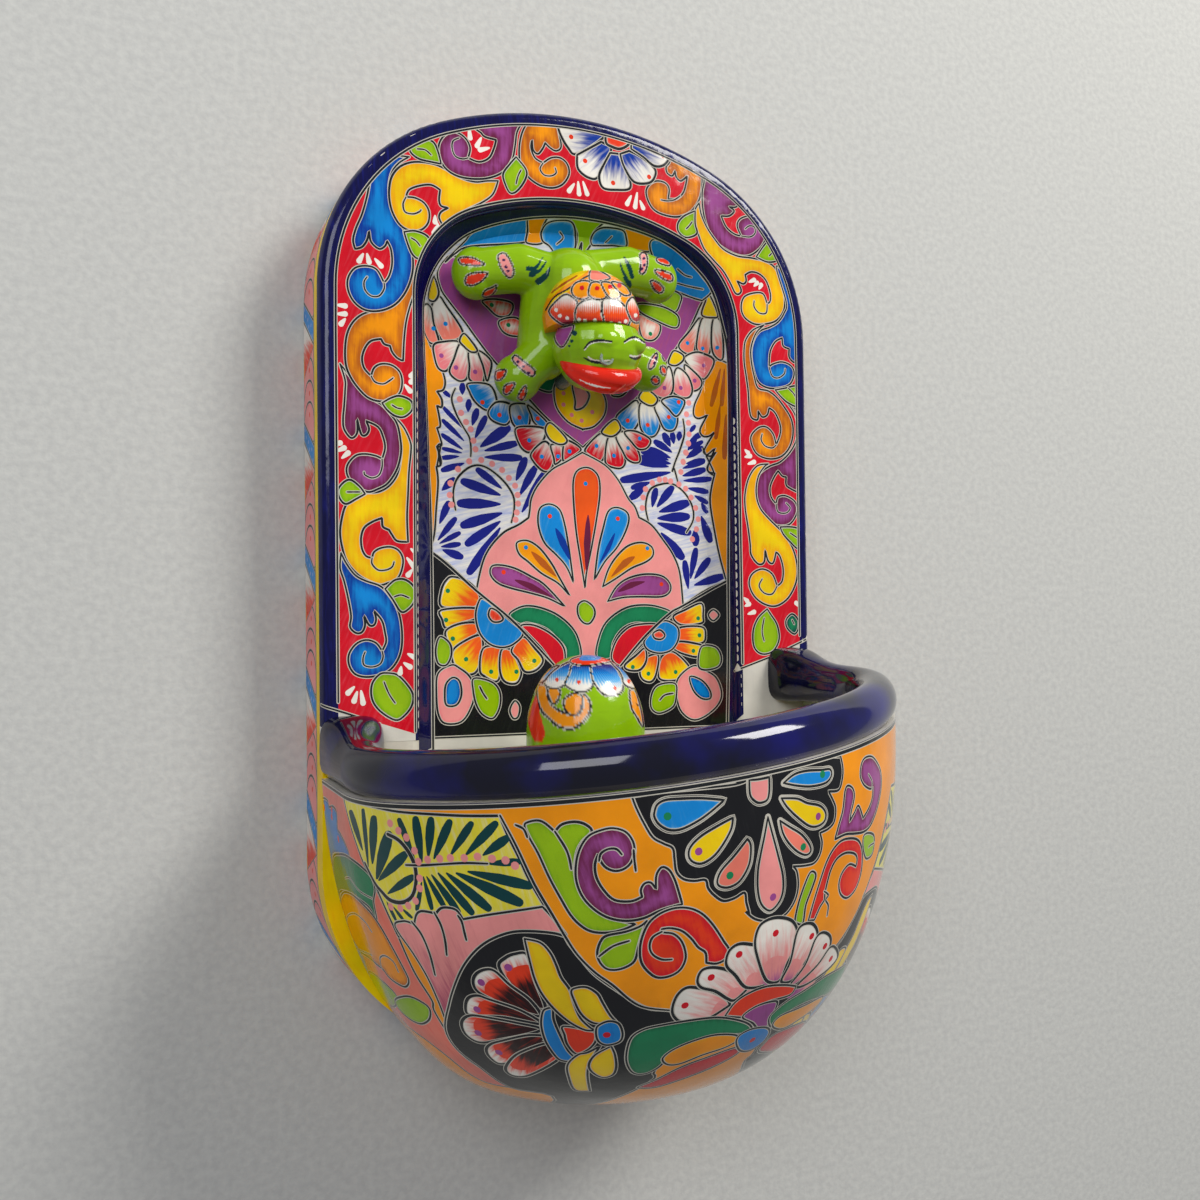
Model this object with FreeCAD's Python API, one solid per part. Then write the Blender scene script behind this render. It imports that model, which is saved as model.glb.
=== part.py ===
import FreeCAD, Part
import math
import os

# Garden wall fountain in glazed earthenware, millimetres.
# X runs to the right, the front faces -Y, the wall is the plane y = 0, +Z is up.
# The origin is midway between the two hanging holes, on the wall plane.

os.makedirs("parts", exist_ok=True)
V = FreeCAD.Vector
FLAT = 1e-7               # four corners this near to one plane share a face
BEYOND = 700.0            # longer than the whole part, for blocks that cut
OVERCUT = 1.0             # a cutting body stands this far past the face it cuts
X_AXIS = V(1, 0, 0)
Y_AXIS = V(0, 1, 0)
Z_AXIS = V(0, 0, 1)

# Back shell
PANEL_HALF = 170.0        # half width where the arch springs
HIP_TAPER = 2.0           # the sides lean in this much down to the belly
APEX_Z = 68.0             # top of the arch above the hanging holes
ARCH_RISE = 157.0
ARCH_STRAIGHT = 27.0      # the sides stay upright this far above the spring
ARCH_FLATTEN = 10.0       # the round shoulders would end this far under the crown
SIDE_RUN = 268.0          # straight side between arch and belly
BELLY_DROP = 178.0        # rounded bottom below the straight sides
BELLY_STRAIGHT = 45.0
BELLY_FLATTEN = 23.0
SHELL_DEPTH = 48.0        # front face to wall
SLAB = 8.0                # thickness of the front slab
BAND = 7.0                # thickness of the side band
EDGE_ROUND = 6.5          # rounded front edge of the arch
ROUND_STEPS = 3           # bands that a rounded edge is built from

# Niche
BORDER = 60.0             # width of the border round the niche opening
NICHE_ROUND = 5.0         # rounded edge of the opening
NICHE_DEPTH = 20.0        # front face to niche back
NICHE_SLOPE = 12.0        # how far the niche wall leans in
PAN_WALL = 6.0
PAN_LAP = 9.0             # how far the pan's lip laps the slab
NICHE_FOOT = 22.0         # niche runs this far below the rim level

# Basin
RIM_DROP = 330.0          # rim level below the hanging holes, at the centre of the front face
BASIN_STEP = 1.0          # the bowl's side lies this far inside the panel's edge
BASIN_REACH = 191.0       # how far the bowl stands out from the front face
BASIN_STRAIGHT = 55.0     # the bowl's sides run straight out this far
BASIN_FLATTEN = 41.0
BOWL_FULL = 0.65          # fullness of the bowl's side, seen from the front
BASIN_WALL = 8.0
BASIN_FLOOR = 17.0        # the floor is left thick so that it is level for the pump
BASIN_FOOT = 0.26         # share of the plan that is flat underneath
BASIN_LEVEL = 0.52        # share of the plan that is level inside
BASIN_BANDS = 8           # bands that the curve of the bowl is built from
CROWN_POINTS = 8          # facets round each half of the front, and round each shoulder
SHOULDER_POINTS = 5
RIM_CLIMB = 40.0          # the hand-made rim stands this much higher at its right end than at its left
RIM_DIP = 8.5             # and its front hangs this much lower than its ends

# Rim coil
RIM_WIDE = 25.0
RIM_TALL = 32.0
RIM_INSET = 11.5          # coil centre inside the bowl's outside
RIM_SEAT = 3.0            # how far the coil's underside is flattened onto the bowl
HORN_RISE = 9.0           # the coil's ends climb onto the front face
HORN_RUN = 26.0
HORN_SPREAD = 12.0        # and thicken inwards there
COIL_SIDES = 14           # facets round the coil

# Hanging bar and openings in the back
BAR_TALL = 36.0
BAR_THICK = 8.0
HOLE_SPACING = 120.0
HOLE_R = 4.5
CORD_NOTCH_R = 6.0
CORD_NOTCH_X = 60.0

# Frog
FROG_X = -9.0
BALL_STEPS = 4            # bands in a quarter of a rounded clay form
CLAY_SIDES = 18           # facets round it
TORSO_LOW_Z = -40.0       # the torso runs from here to the shoulders
TORSO_LOW_R = 22.0
TORSO_TOP_Z = -72.0
TORSO_TOP_R = 23.0
TORSO_OUT = 24.0          # centre of the torso in front of the niche back
TORSO_LEAN = 6.0          # the head end stands out this much more
HIP_ACROSS = 8.0          # hips, knees and hind feet, from the frog's middle
HIP_OUT = 22.0
HIP_JOINT_Z = -34.0
HIP_R = 16.5
KNEE_ACROSS = 40.0
KNEE_OUT = 21.0
KNEE_Z = -28.0
KNEE_R = 17.0
PAW_ACROSS = 63.0
PAW_OUT = 17.0
PAW_Z = -33.0
PAW_R = 15.5
SHOULDER_ACROSS = 14.0
SHOULDER_OUT = 24.0
SHOULDER_Z = -80.0
SHOULDER_R = 11.0
HAND_R = 14.0
HAND_OUT = 17.0
LEFT_HAND_ACROSS = 37.0   # the two hands don't match
LEFT_HAND_Z = -107.0
RIGHT_HAND_ACROSS = 53.0
RIGHT_HAND_Z = -93.0
HEAD_R = 27.0
HEAD_Z = -92.0
HEAD_OUT = 48.0
CAP_R = 29.0
CAP_Z = -74.0
CAP_OUT = 46.0
CAP_BRIM = 11.0           # the brim lies this far above the middle of the head
LIP_R = 6.0               # radius of the lip roll
LIP_SWEEP = 24.0          # radius of the mouth's curve seen from above
LIP_SWING = 80.0          # degrees that the mouth reaches round to each side
LIP_SIDES = 10
LIP_TAPER = 0.45          # thickness of the roll at the corners of the mouth
LIP_HANG = 12.0           # the roll hangs this much lower in front
LIP_Z = -96.0

# Supply tube, held all the way from pump to mouth
TUBE_R = 4.5
TUBE_BORE_R = 3.0
TUBE_GAP = 0.3
TUBE_HOLE_DROP = 42.0     # hole through the slab, below the rim level
TUBE_WALL_GAP = 10.0      # tube centre in front of the wall
TUBE_TOP_Z = -103.0       # level at which it passes the niche back
TUBE_BENDS = (34.0, 22.0, 11.0)
TUBE_START = 2.0          # above the pump
MOUTH_DEPTH = 4.0         # the tube ends this far inside the mouth
BEND_STEPS = 6
TUBE_SIDES = 16
GROMMET_R = 9.0
GROMMET_FLANGE_R = 12.0
GROMMET_FLANGE = 3.0
CORD_GROMMET_X = 24.0
CORD_GROMMET_R = 7.0

# Pump cover, a loose bell that stands in the basin
COVER_X = -22.5
COVER_Y = -92.0
COVER_FOOT_R = 40.0
COVER_NECK_R = 35.0
COVER_TOP_Z = -281.0
COVER_CROWN = 50.0        # height of the rounded crown
CROWN_FULL = 0.9          # a little fuller than an ellipse
CROWN_BANDS = 6
CROWN_TIP = 0.3           # share of a band left flat on top
COVER_SIDES = 36
COVER_WALL = 5.0
COVER_SLOT = 15.0         # width of the slot at the back for the tube
COVER_INLET_R = 9.0
COVER_STAND = 0.3         # rests on the basin floor
COVER_LIFT = 150.0        # lifted this far it clears the rim

# Pump
PUMP_WIDE = 40.0
PUMP_LONG = 42.0
PUMP_SHIFT = 4.0          # the pump sits this far back in its cover, to leave room for its intake
PUMP_TALL = 38.0
PUMP_ROUND = 3.0
FOOT_TALL = 6.0
FOOT_R = 5.0
FOOT_SIDES = 20
FOOT_SPREAD_X = 14.0
FOOT_SPREAD_Y = 14.0
FOOT_LIP = 0.6            # thickness of the cup's edge
FOOT_WAIST_R = 2.5
AXIS_UP = 22.0            # rotor axis above the pump's underside
SHAFT_R = 1.25
SHAFT_FIT = 0.05
ROTOR_R = 7.2
TUNNEL_R = 7.8
ROTOR_LONG = 24.0
IMPELLER_R = 11.0
IMPELLER_HUB_R = 4.0
IMPELLER_DEEP = 6.0
BLADE = 1.4
BLADES = 5
VOLUTE_R = 13.0
VOLUTE_DEEP = 8.0
BUSH_LONG = 3.0
FRONT_BUSH_R = 2.2
BUSH_END = 0.4            # thickness that closes a bush behind the shaft
SPOKE_HUB_R = 4.4
SPOKE = 1.8
SPOKES = 3
END_PLAY = 0.4
PLATE = 2.4               # volute cover plate
EYE_R = 7.0               # inlet eye in the plate
HOOD_DEEP = 7.0           # intake hood in front of the plate
HOOD_WALL = 2.0
GRILLE_SLOTS = 6
GRILLE_SLOT = 2.2
GRILLE_LONG = 16.0
GATE_TRAVEL = 8.0
GATE_HALF = 12.6
GATE_TALL = 12.0
GATE_GAP = 0.2
GATE_HEADROOM = 1.0
RAIL = 2.4
TAB_X = 9.4               # the finger tab starts this far right of the pump's middle
TAB_WIDE = 2.0
TAB_OUT = 0.8             # and stands this far out of the strainer
GATE_THICK = 1.6
NIPPLE_TALL = 12.0
NIPPLE_GAP = 0.15
NIPPLE_ROOT = 2.0
NOZZLE_BACK = 7.0         # outlet behind the pump's front
OUTLET_R = 2.0
OUTLET_START = 6.0        # the outlet opens into the volute this far above the axis
CORE_LEG = 6.0
CORE_LEG_GAP = 1.6        # housing between rotor tunnel and core legs
CORE_YOKE_GAP = 2.2       # and between tunnel and yoke
CORE_INSET = 4.0          # the core is this much shorter than the tunnel at each end
CORE_TOP = 6.0            # the legs end this far above the axis
CORE_FIT = 0.2
PLATE_FIT = 0.1
COIL_FIT = 0.1
COIL_CLEAR = 1.0          # the winding stays this far from the legs
COIL_DEEP = 2.2           # winding depth round the bar
BASE_PLATE = 3.0
GLAND_R = 4.0
GLAND_LONG = 4.5
GLAND_TIP_R = 3.0
GLAND_RIGHT = 12.0        # right of the pump's middle
GLAND_UP = 12.0           # above the pump's underside

# Levels worked out from the sizes above
HIP_HALF = PANEL_HALF - HIP_TAPER
ARCH_SHOULDER = ARCH_RISE - ARCH_STRAIGHT - ARCH_FLATTEN
BELLY_SHOULDER = BELLY_DROP - BELLY_STRAIGHT - BELLY_FLATTEN
BASIN_SHOULDER = BASIN_REACH - BASIN_STRAIGHT - BASIN_FLATTEN
BASIN_HALF = PANEL_HALF - BASIN_STEP
RIM_SLOPE_X = RIM_CLIMB / (2 * BASIN_HALF)
RIM_SLOPE_Y = RIM_DIP / BASIN_REACH
FACE_Y = -SHELL_DEPTH
SPRING_Z = APEX_Z - ARCH_RISE
HIP_Z = SPRING_Z - SIDE_RUN
BOTTOM_Z = HIP_Z - BELLY_DROP
RIM_Z = -RIM_DROP
NICHE_Y = FACE_Y + NICHE_DEPTH
FLOOR_Z = BOTTOM_Z + BASIN_FLOOR
TUBE_HOLE_Z = RIM_Z - TUBE_HOLE_DROP


def save(name, shape):
    """One STEP file for each node, from the solids alone."""
    solids = shape.Solids
    out = solids[0] if len(solids) == 1 else Part.makeCompound(solids)
    out.exportStep("parts/" + name + ".step")
    print(name, len(solids), "solid", round(shape.Volume / 1000, 1), "ml", shape.isValid())


def cylinder(radius, length, base, axis):
    return Part.makeCylinder(radius, length, base, axis)


def box(x0, x1, y0, y1, z0, z1):
    return Part.makeBox(x1 - x0, y1 - y0, z1 - z0, V(x0, y0, z0))


def everything_above(z):
    return box(-BEYOND, BEYOND, -BEYOND, BEYOND, z, BEYOND)


def rounded_box(x0, x1, y0, y1, z0, z1, radius):
    """A box with its four long edges, the ones along Y, rounded."""
    block = box(x0, x1, y0, y1, z0, z1)
    long_edges = [edge for edge in block.Edges if abs(edge.tangentAt(0).y) > 0.5]
    return block.makeFillet(radius, long_edges)


def skin(rings):
    """A closed solid through rings of points; each band is flat where it can be, else of triangles."""
    faces = [Part.Face(Part.makePolygon(ring + [ring[0]])) for ring in (rings[0], rings[-1])]
    for low, high in zip(rings, rings[1:]):
        for k in range(len(low)):
            a, b = low[k - 1], low[k]
            c, d = high[k], high[k - 1]
            lift = (b - a).cross(c - a)
            if abs(lift.dot(d - a)) < FLAT * lift.Length:
                corners = [[a, b, c, d]]
            else:
                corners = [[a, b, c], [a, c, d]]
            for points in corners:
                faces.append(Part.Face(Part.makePolygon(points + [points[0]])))
    solid = Part.makeSolid(Part.makeShell(faces))
    if solid.Volume < 0:
        solid.reverse()
    return solid


def oval(half, rise, straight, shoulder):
    """A three-centred arch over -half to +half, as its centres, radii and the angle where they meet."""
    side = half - shoulder
    over = rise - straight - shoulder
    drop = (side * side - over * over) / (2 * over)
    crown = drop + rise - straight
    return side, drop, crown, math.atan2(drop, side)


def half_oval(half, rise, straight, shoulder, level, up):
    """The arch as edges in the plane y = 0, rising up (1) or down (-1) from a level."""
    side, drop, crown, meet = oval(half, rise, straight, shoulder)
    foot = level + up * straight
    edges = []
    for hand in (-1, 1):
        middle = V(hand * (side + shoulder * math.cos(meet / 2)), 0, foot + up * shoulder * math.sin(meet / 2))
        last = V(hand * (side + shoulder * math.cos(meet)), 0, foot + up * shoulder * math.sin(meet))
        edges.append(line(hand * half, level, hand * half, foot))
        edges.append(Part.Arc(V(hand * half, 0, foot), middle, last).toShape())
    ends = [edge.Vertexes[-1].Point for edge in edges]
    edges.append(Part.Arc(ends[1], V(0, 0, foot + up * (crown - drop)), ends[3]).toShape())
    return edges


def line(x0, z0, x1, z1):
    return Part.LineSegment(V(x0, 0, z0), V(x1, 0, z1)).toShape()


def arch_top(inset):
    """The arch over shell and niche, moved in by inset."""
    return half_oval(PANEL_HALF - inset, ARCH_RISE - inset, ARCH_STRAIGHT, ARCH_SHOULDER - inset, SPRING_Z, 1)


def shell_outline(inset, y):
    """Outline of the whole back shell, moved in by inset."""
    top = arch_top(inset)
    low = half_oval(HIP_HALF - inset, BELLY_DROP - inset, BELLY_STRAIGHT, BELLY_SHOULDER - inset, HIP_Z, -1)
    right = line(PANEL_HALF - inset, SPRING_Z, HIP_HALF - inset, HIP_Z)
    left = line(inset - HIP_HALF, HIP_Z, inset - PANEL_HALF, SPRING_Z)
    wire = Part.Wire(Part.__sortEdges__(top + low + [right, left]))
    wire.translate(V(0, y, 0))
    return wire


def niche_outline(inset, y):
    """Arched outline of the niche, inset from the panel's edge, flat at the foot."""
    half = PANEL_HALF - inset
    foot = RIM_Z - NICHE_FOOT + inset - BORDER
    top = arch_top(inset)
    right = line(half, SPRING_Z, half, foot)
    base = line(half, foot, -half, foot)
    left = line(-half, foot, -half, SPRING_Z)
    wire = Part.Wire(Part.__sortEdges__(top + [right, base, left]))
    wire.translate(V(0, y, 0))
    return wire


def slab_of(wire, thickness):
    return Part.Face(wire).extrude(V(0, thickness, 0))


def rim_level(x, y):
    """Height of the tilted seat between bowl and rim coil."""
    return RIM_Z + RIM_SLOPE_X * x + RIM_SLOPE_Y * (y - FACE_Y)


def below_rim():
    """A block that fills everything under the tilted seat plane."""
    corners = []
    for x, y in ((-BEYOND, -BEYOND), (BEYOND, -BEYOND), (BEYOND, BEYOND), (-BEYOND, BEYOND)):
        corners.append(V(x, y, rim_level(x, y)))
    face = Part.Face(Part.makePolygon(corners + [corners[0]]))
    return face.extrude(V(0, 0, -2 * BEYOND))


# The back shell: front slab, niche pan, side band and hanging bar
def arch_outline(inset, y, foot_z):
    """Outline of the arch and its straight sides, down to a level foot."""
    slope = (PANEL_HALF - HIP_HALF) / SIDE_RUN
    foot_half = PANEL_HALF - inset - slope * (SPRING_Z - foot_z)
    top = arch_top(inset)
    right = line(PANEL_HALF - inset, SPRING_Z, foot_half, foot_z)
    base = line(foot_half, foot_z, -foot_half, foot_z)
    left = line(-foot_half, foot_z, inset - PANEL_HALF, SPRING_Z)
    wire = Part.Wire(Part.__sortEdges__(top + [right, base, left]))
    wire.translate(V(0, y, 0))
    return wire


def arch_front():
    """The front slab; its edge is rounded over the arch and square where the bowl is luted on."""
    rings = []
    steps = ROUND_STEPS
    for i in range(steps + 1):
        angle = math.pi / 2 * i / steps
        inset = EDGE_ROUND * (1 - math.sin(angle))
        rings.append(arch_outline(inset, FACE_Y + EDGE_ROUND * (1 - math.cos(angle)), RIM_Z))
    rounded = Part.makeLoft(rings, True, True)
    behind = slab_of(arch_outline(0.0, FACE_Y + EDGE_ROUND, RIM_Z), SLAB - EDGE_ROUND)
    lower = slab_of(shell_outline(0.0, FACE_Y), SLAB).cut(everything_above(RIM_Z))
    slab = rounded.fuse([behind, lower]).removeSplitter()
    return slab.cut(niche_mouth()).cut(wall_holes())


def niche_mouth():
    """The opening in the slab, flared in front so that its edge is rounded."""
    rings = []
    steps = ROUND_STEPS
    for i in range(steps + 1):
        angle = math.pi / 2 * i / steps
        inset = BORDER - NICHE_ROUND * (1 - math.sin(angle))
        rings.append(niche_outline(inset, FACE_Y + NICHE_ROUND * (1 - math.cos(angle))))
    flare = Part.makeLoft(rings, True, True)
    return flare.fuse(slab_of(niche_outline(BORDER, FACE_Y + NICHE_ROUND), SLAB))


def wall_holes():
    """Holes through slab and pan for the tube and for the mains cord."""
    tube = cylinder(GROMMET_R, 3 * SLAB, V(COVER_X, FACE_Y - SLAB, TUBE_HOLE_Z), Y_AXIS)
    cord = cylinder(CORD_GROMMET_R, 3 * SLAB, V(CORD_GROMMET_X, FACE_Y - SLAB, TUBE_HOLE_Z), Y_AXIS)
    return tube.fuse(cord)


def niche_pan():
    rear_y = NICHE_Y + PAN_WALL
    slab_back = FACE_Y + SLAB
    body = Part.makeLoft([niche_outline(BORDER - PAN_LAP, slab_back),
                          niche_outline(BORDER + NICHE_SLOPE - PAN_LAP, rear_y)], True, True)
    hollow = Part.makeLoft([niche_outline(BORDER, slab_back),
                            niche_outline(BORDER + NICHE_SLOPE, NICHE_Y)], True, True)
    tube = cylinder(TUBE_R + TUBE_GAP, 3 * PAN_WALL, V(FROG_X, NICHE_Y - PAN_WALL, TUBE_TOP_Z), Y_AXIS)
    return body.cut(hollow).cut(tube)


def side_band():
    slab_back = FACE_Y + SLAB
    outer = slab_of(shell_outline(0.0, slab_back), -slab_back)
    band = outer.cut(slab_of(shell_outline(BAND, slab_back), -slab_back))
    notch = cylinder(CORD_NOTCH_R, 4 * BAND, V(CORD_NOTCH_X, 0, BOTTOM_Z - BAND), Z_AXIS)
    return band.cut(notch)


def hanging_bar():
    bar = box(-PANEL_HALF, PANEL_HALF, -BAR_THICK, 0, -BAR_TALL / 2, BAR_TALL / 2)
    bar = bar.common(slab_of(shell_outline(BAND, -BAR_THICK), BAR_THICK))
    for x in (-HOLE_SPACING / 2, HOLE_SPACING / 2):
        bar = bar.cut(cylinder(HOLE_R, BAR_THICK, V(x, -BAR_THICK, 0), Y_AXIS))
    return bar


# The basin: bowl and rim coil
def plan_points(half, reach, straight, shoulder):
    """Points along half of the bowl's plan, from the middle of the front to the back, as (across, out)."""
    side, drop, crown, meet = oval(half, reach, straight, shoulder)
    points = []
    for i in range(CROWN_POINTS):
        angle = math.pi / 2 - (math.pi / 2 - meet) * i / CROWN_POINTS
        points.append((crown * math.cos(angle), straight - drop + crown * math.sin(angle)))
    for i in range(SHOULDER_POINTS + 1):
        angle = meet - meet * i / SHOULDER_POINTS
        points.append((side + shoulder * math.cos(angle), straight + shoulder * math.sin(angle)))
    points.append((half, 0.0))
    return points


def plan_curve(share, inset, z):
    """Closed plan section of the bowl, drawn in to a share of its full size and moved in by inset."""
    points = plan_points(BASIN_HALF, BASIN_REACH, BASIN_STRAIGHT, BASIN_SHOULDER)
    shrink_x = (BASIN_HALF * share - inset) / BASIN_HALF
    shrink_y = (BASIN_REACH * share - inset) / BASIN_REACH
    right = [V(across * shrink_x, FACE_Y - out * shrink_y, z) for across, out in points]
    left = [V(-point.x, point.y, z) for point in reversed(right[1:])]
    return left + right


def bowl_body(inset, foot, floor_z):
    """Solid of the bowl's form, moved in by inset, from above the rim down to floor_z."""
    top_z = RIM_Z + RIM_SLOPE_X * BASIN_HALF + RIM_TALL
    side = Part.BezierCurve()
    side.setPoles([V(1, 0, 0), V(1, 0, BOWL_FULL), V(BOWL_FULL, 0, 1), V(foot, 0, 1)])
    sections = [plan_curve(1.0, inset, top_z)]
    for i in range(BASIN_BANDS + 1):
        point = side.value(i / BASIN_BANDS)
        sections.append(plan_curve(point.x, inset, RIM_Z - (RIM_Z - floor_z) * point.z))
    return skin(sections)


def basin_bowl():
    bowl = bowl_body(0.0, BASIN_FOOT, BOTTOM_Z).cut(bowl_body(BASIN_WALL, BASIN_LEVEL, FLOOR_Z))
    return bowl.common(below_rim())


def rim_section(points, i, side):
    """Section of the rim coil at one point of its run, on the left (-1) or right (1) half."""
    across, out = points[i]
    before = points[max(i - 1, 0)]
    after = points[min(i + 1, len(points) - 1)]
    along = V(after[0] - before[0], before[1] - after[1], 0).normalize()
    inward = V(-along.y * side, along.x, 0)
    horn = math.exp(-(out / HORN_RUN) ** 2)
    tall = (RIM_TALL + HORN_RISE * horn) / 2
    spread = HORN_SPREAD * horn / 2
    x = across * side
    y = FACE_Y - out
    centre = V(x, y, rim_level(x, y) + tall - RIM_SEAT) + inward * spread
    ring = []
    for k in range(COIL_SIDES):
        angle = 2 * math.pi * k / COIL_SIDES
        wide = (RIM_WIDE / 2 + spread) * math.cos(angle)
        ring.append(centre + inward * wide + V(0, 0, tall * math.sin(angle)))
    return ring


def basin_rim():
    points = plan_points(BASIN_HALF - RIM_INSET, BASIN_REACH - RIM_INSET, BASIN_STRAIGHT,
                         BASIN_SHOULDER - RIM_INSET)
    left = [rim_section(points, i, -1) for i in range(1, len(points))]
    right = [rim_section(points, i, 1) for i in range(len(points))]
    coil = skin(left[::-1] + right)
    return coil.cut(below_rim())


# The frog on the niche back
def behind_niche():
    return box(-BEYOND, BEYOND, NICHE_Y, BEYOND, -BEYOND, BEYOND)


def tube_bore():
    return cylinder(TUBE_R + TUBE_GAP, SHELL_DEPTH * 3, V(FROG_X, -SHELL_DEPTH * 3, TUBE_TOP_Z), Y_AXIS)


def turned(profile, sides=CLAY_SIDES):
    """A solid with flat sides from a list of (radius, height), closed at both ends."""
    rings = []
    for radius, height in profile:
        ring = []
        for k in range(sides):
            angle = 2 * math.pi * (k + 0.5) / sides
            ring.append(V(radius * math.cos(angle), radius * math.sin(angle), height))
        rings.append(ring)
    return skin(rings)


def limb(start, end, start_r, end_r):
    """A rounded limb with a ball at each end and a taper between."""
    run = end - start
    lean = math.asin((start_r - end_r) / run.Length)
    profile = []
    for i in range(1, BALL_STEPS + 1):
        angle = -math.pi / 2 + (math.pi / 2 + lean) * (i - 0.5) / (BALL_STEPS - 0.5)
        profile.append((start_r * math.cos(angle), start_r * math.sin(angle)))
    for i in range(BALL_STEPS):
        angle = lean + (math.pi / 2 - lean) * i / (BALL_STEPS - 0.5)
        profile.append((end_r * math.cos(angle), run.Length + end_r * math.sin(angle)))
    body = turned(profile)
    body.Placement = FreeCAD.Placement(start, FreeCAD.Rotation(Z_AXIS, run))
    return body


def ball(radius, centre):
    profile = []
    for i in range(2 * BALL_STEPS):
        angle = -math.pi / 2 + math.pi * (i + 0.5) / (2 * BALL_STEPS)
        profile.append((radius * math.cos(angle), radius * math.sin(angle)))
    body = turned(profile)
    body.translate(centre)
    return body


def frog_point(x, out, z):
    """A point given by its place right of the frog's middle, in front of the niche back, and height."""
    return V(FROG_X + x, NICHE_Y - out, z)


HANDS = {-1: frog_point(-LEFT_HAND_ACROSS, HAND_OUT, LEFT_HAND_Z),
         1: frog_point(RIGHT_HAND_ACROSS, HAND_OUT, RIGHT_HAND_Z)}


def frog_parts():
    """Body with its limbs, head, cap and lips; each is cut to seat on the one before it."""
    body = limb(frog_point(0, TORSO_OUT, TORSO_LOW_Z), frog_point(0, TORSO_OUT + TORSO_LEAN, TORSO_TOP_Z),
                TORSO_LOW_R, TORSO_TOP_R)
    for side in (-1, 1):
        hip = frog_point(side * HIP_ACROSS, HIP_OUT, HIP_JOINT_Z)
        knee = frog_point(side * KNEE_ACROSS, KNEE_OUT, KNEE_Z)
        paw = frog_point(side * PAW_ACROSS, PAW_OUT, PAW_Z)
        shoulder = frog_point(side * SHOULDER_ACROSS, SHOULDER_OUT, SHOULDER_Z)
        arm = limb(shoulder, HANDS[side], SHOULDER_R, HAND_R)
        body = body.fuse([arm, limb(hip, knee, HIP_R, KNEE_R), limb(knee, paw, KNEE_R, PAW_R)])
    head = ball(HEAD_R, frog_point(0, HEAD_OUT, HEAD_Z))
    cap = ball(CAP_R, frog_point(0, CAP_OUT, CAP_Z))
    lips = frog_lips().cut(head)
    brim = everything_above(HEAD_Z + CAP_BRIM)
    parts = {"frog_body": body.cut(head).cut(cap), "frog_head": head, "frog_cap": cap.common(brim).cut(head),
             "frog_lips": lips}
    for name in parts:
        part = parts[name].cut(behind_niche()).cut(tube_bore())
        parts[name] = max(part.Solids, key=lambda solid: solid.Volume)
    return parts


def frog_lips():
    """A roll of clay round the front of the mouth, hanging lowest in the middle."""
    middle = frog_point(0, HEAD_OUT, LIP_Z)
    sections = []
    for i in range(2 * BALL_STEPS + 1):
        turn = math.radians(LIP_SWING) * (i / BALL_STEPS - 1)
        across = V(math.sin(turn), -math.cos(turn), 0)
        radius = LIP_R * (LIP_TAPER + (1 - LIP_TAPER) * math.cos(turn))
        centre = middle + across * LIP_SWEEP - V(0, 0, LIP_HANG * math.cos(turn))
        ring = []
        for k in range(LIP_SIDES):
            angle = 2 * math.pi * k / LIP_SIDES
            ring.append(centre + across * (radius * math.cos(angle)) + V(0, 0, radius * math.sin(angle)))
        sections.append(ring)
    return skin(sections)


# The supply tube and the grommets
def tube_route():
    return [V(COVER_X, PUMP_NOZZLE_Y, PUMP_TOP_Z + TUBE_START),
            V(COVER_X, PUMP_NOZZLE_Y, TUBE_HOLE_Z),
            V(COVER_X, -TUBE_WALL_GAP, TUBE_HOLE_Z),
            V(FROG_X, -TUBE_WALL_GAP, TUBE_TOP_Z),
            V(FROG_X, NICHE_Y - HEAD_OUT - HEAD_R + MOUTH_DEPTH, TUBE_TOP_Z)]


def tube_rings(points, bends, radius):
    """Rings along straight runs joined by tangent bends, and the length of the path."""
    run = (points[1] - points[0]).normalize()
    out = V(0, 1, 0)
    stations = [(points[0], run, out)]
    length = 0.0
    start = points[0]
    for i in range(1, len(points) - 1):
        corner = points[i]
        to_last = (points[i - 1] - corner).normalize()
        to_next = (points[i + 1] - corner).normalize()
        half = to_last.getAngle(to_next) / 2
        leg = bends[i - 1] / math.tan(half)
        first = corner + to_last * leg
        pole = corner + (to_last + to_next).normalize() * (bends[i - 1] / math.sin(half))
        axis = to_next.cross(to_last).normalize()
        turn = math.pi - 2 * half
        for k in range(BEND_STEPS + 1):
            roll = FreeCAD.Rotation(axis, math.degrees(turn) * k / BEND_STEPS)
            stations.append((pole + roll.multVec(first - pole), roll.multVec(run), roll.multVec(out)))
        length += (first - start).Length + bends[i - 1] * turn
        start = corner + to_next * leg
        run = roll.multVec(run)
        out = roll.multVec(out)
    stations.append((points[-1], run, out))
    length += (points[-1] - start).Length
    rings = []
    for centre, ahead, across in stations:
        ring = []
        for k in range(TUBE_SIDES):
            turned_by = FreeCAD.Rotation(ahead, 360.0 * k / TUBE_SIDES)
            ring.append(centre + turned_by.multVec(across) * radius)
        rings.append(ring)
    return rings, length


def supply_tube():
    rings, length = tube_rings(tube_route(), TUBE_BENDS, TUBE_R)
    bore_rings, length = tube_rings(tube_route(), TUBE_BENDS, TUBE_BORE_R)
    tube = skin(rings).cut(skin(bore_rings))
    section = TUBE_SIDES / 2 * math.sin(2 * math.pi / TUBE_SIDES) * (TUBE_R ** 2 - TUBE_BORE_R ** 2)
    print("tube length", round(length), "ratio", round(tube.Volume / (section * length), 4))
    return tube


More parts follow.
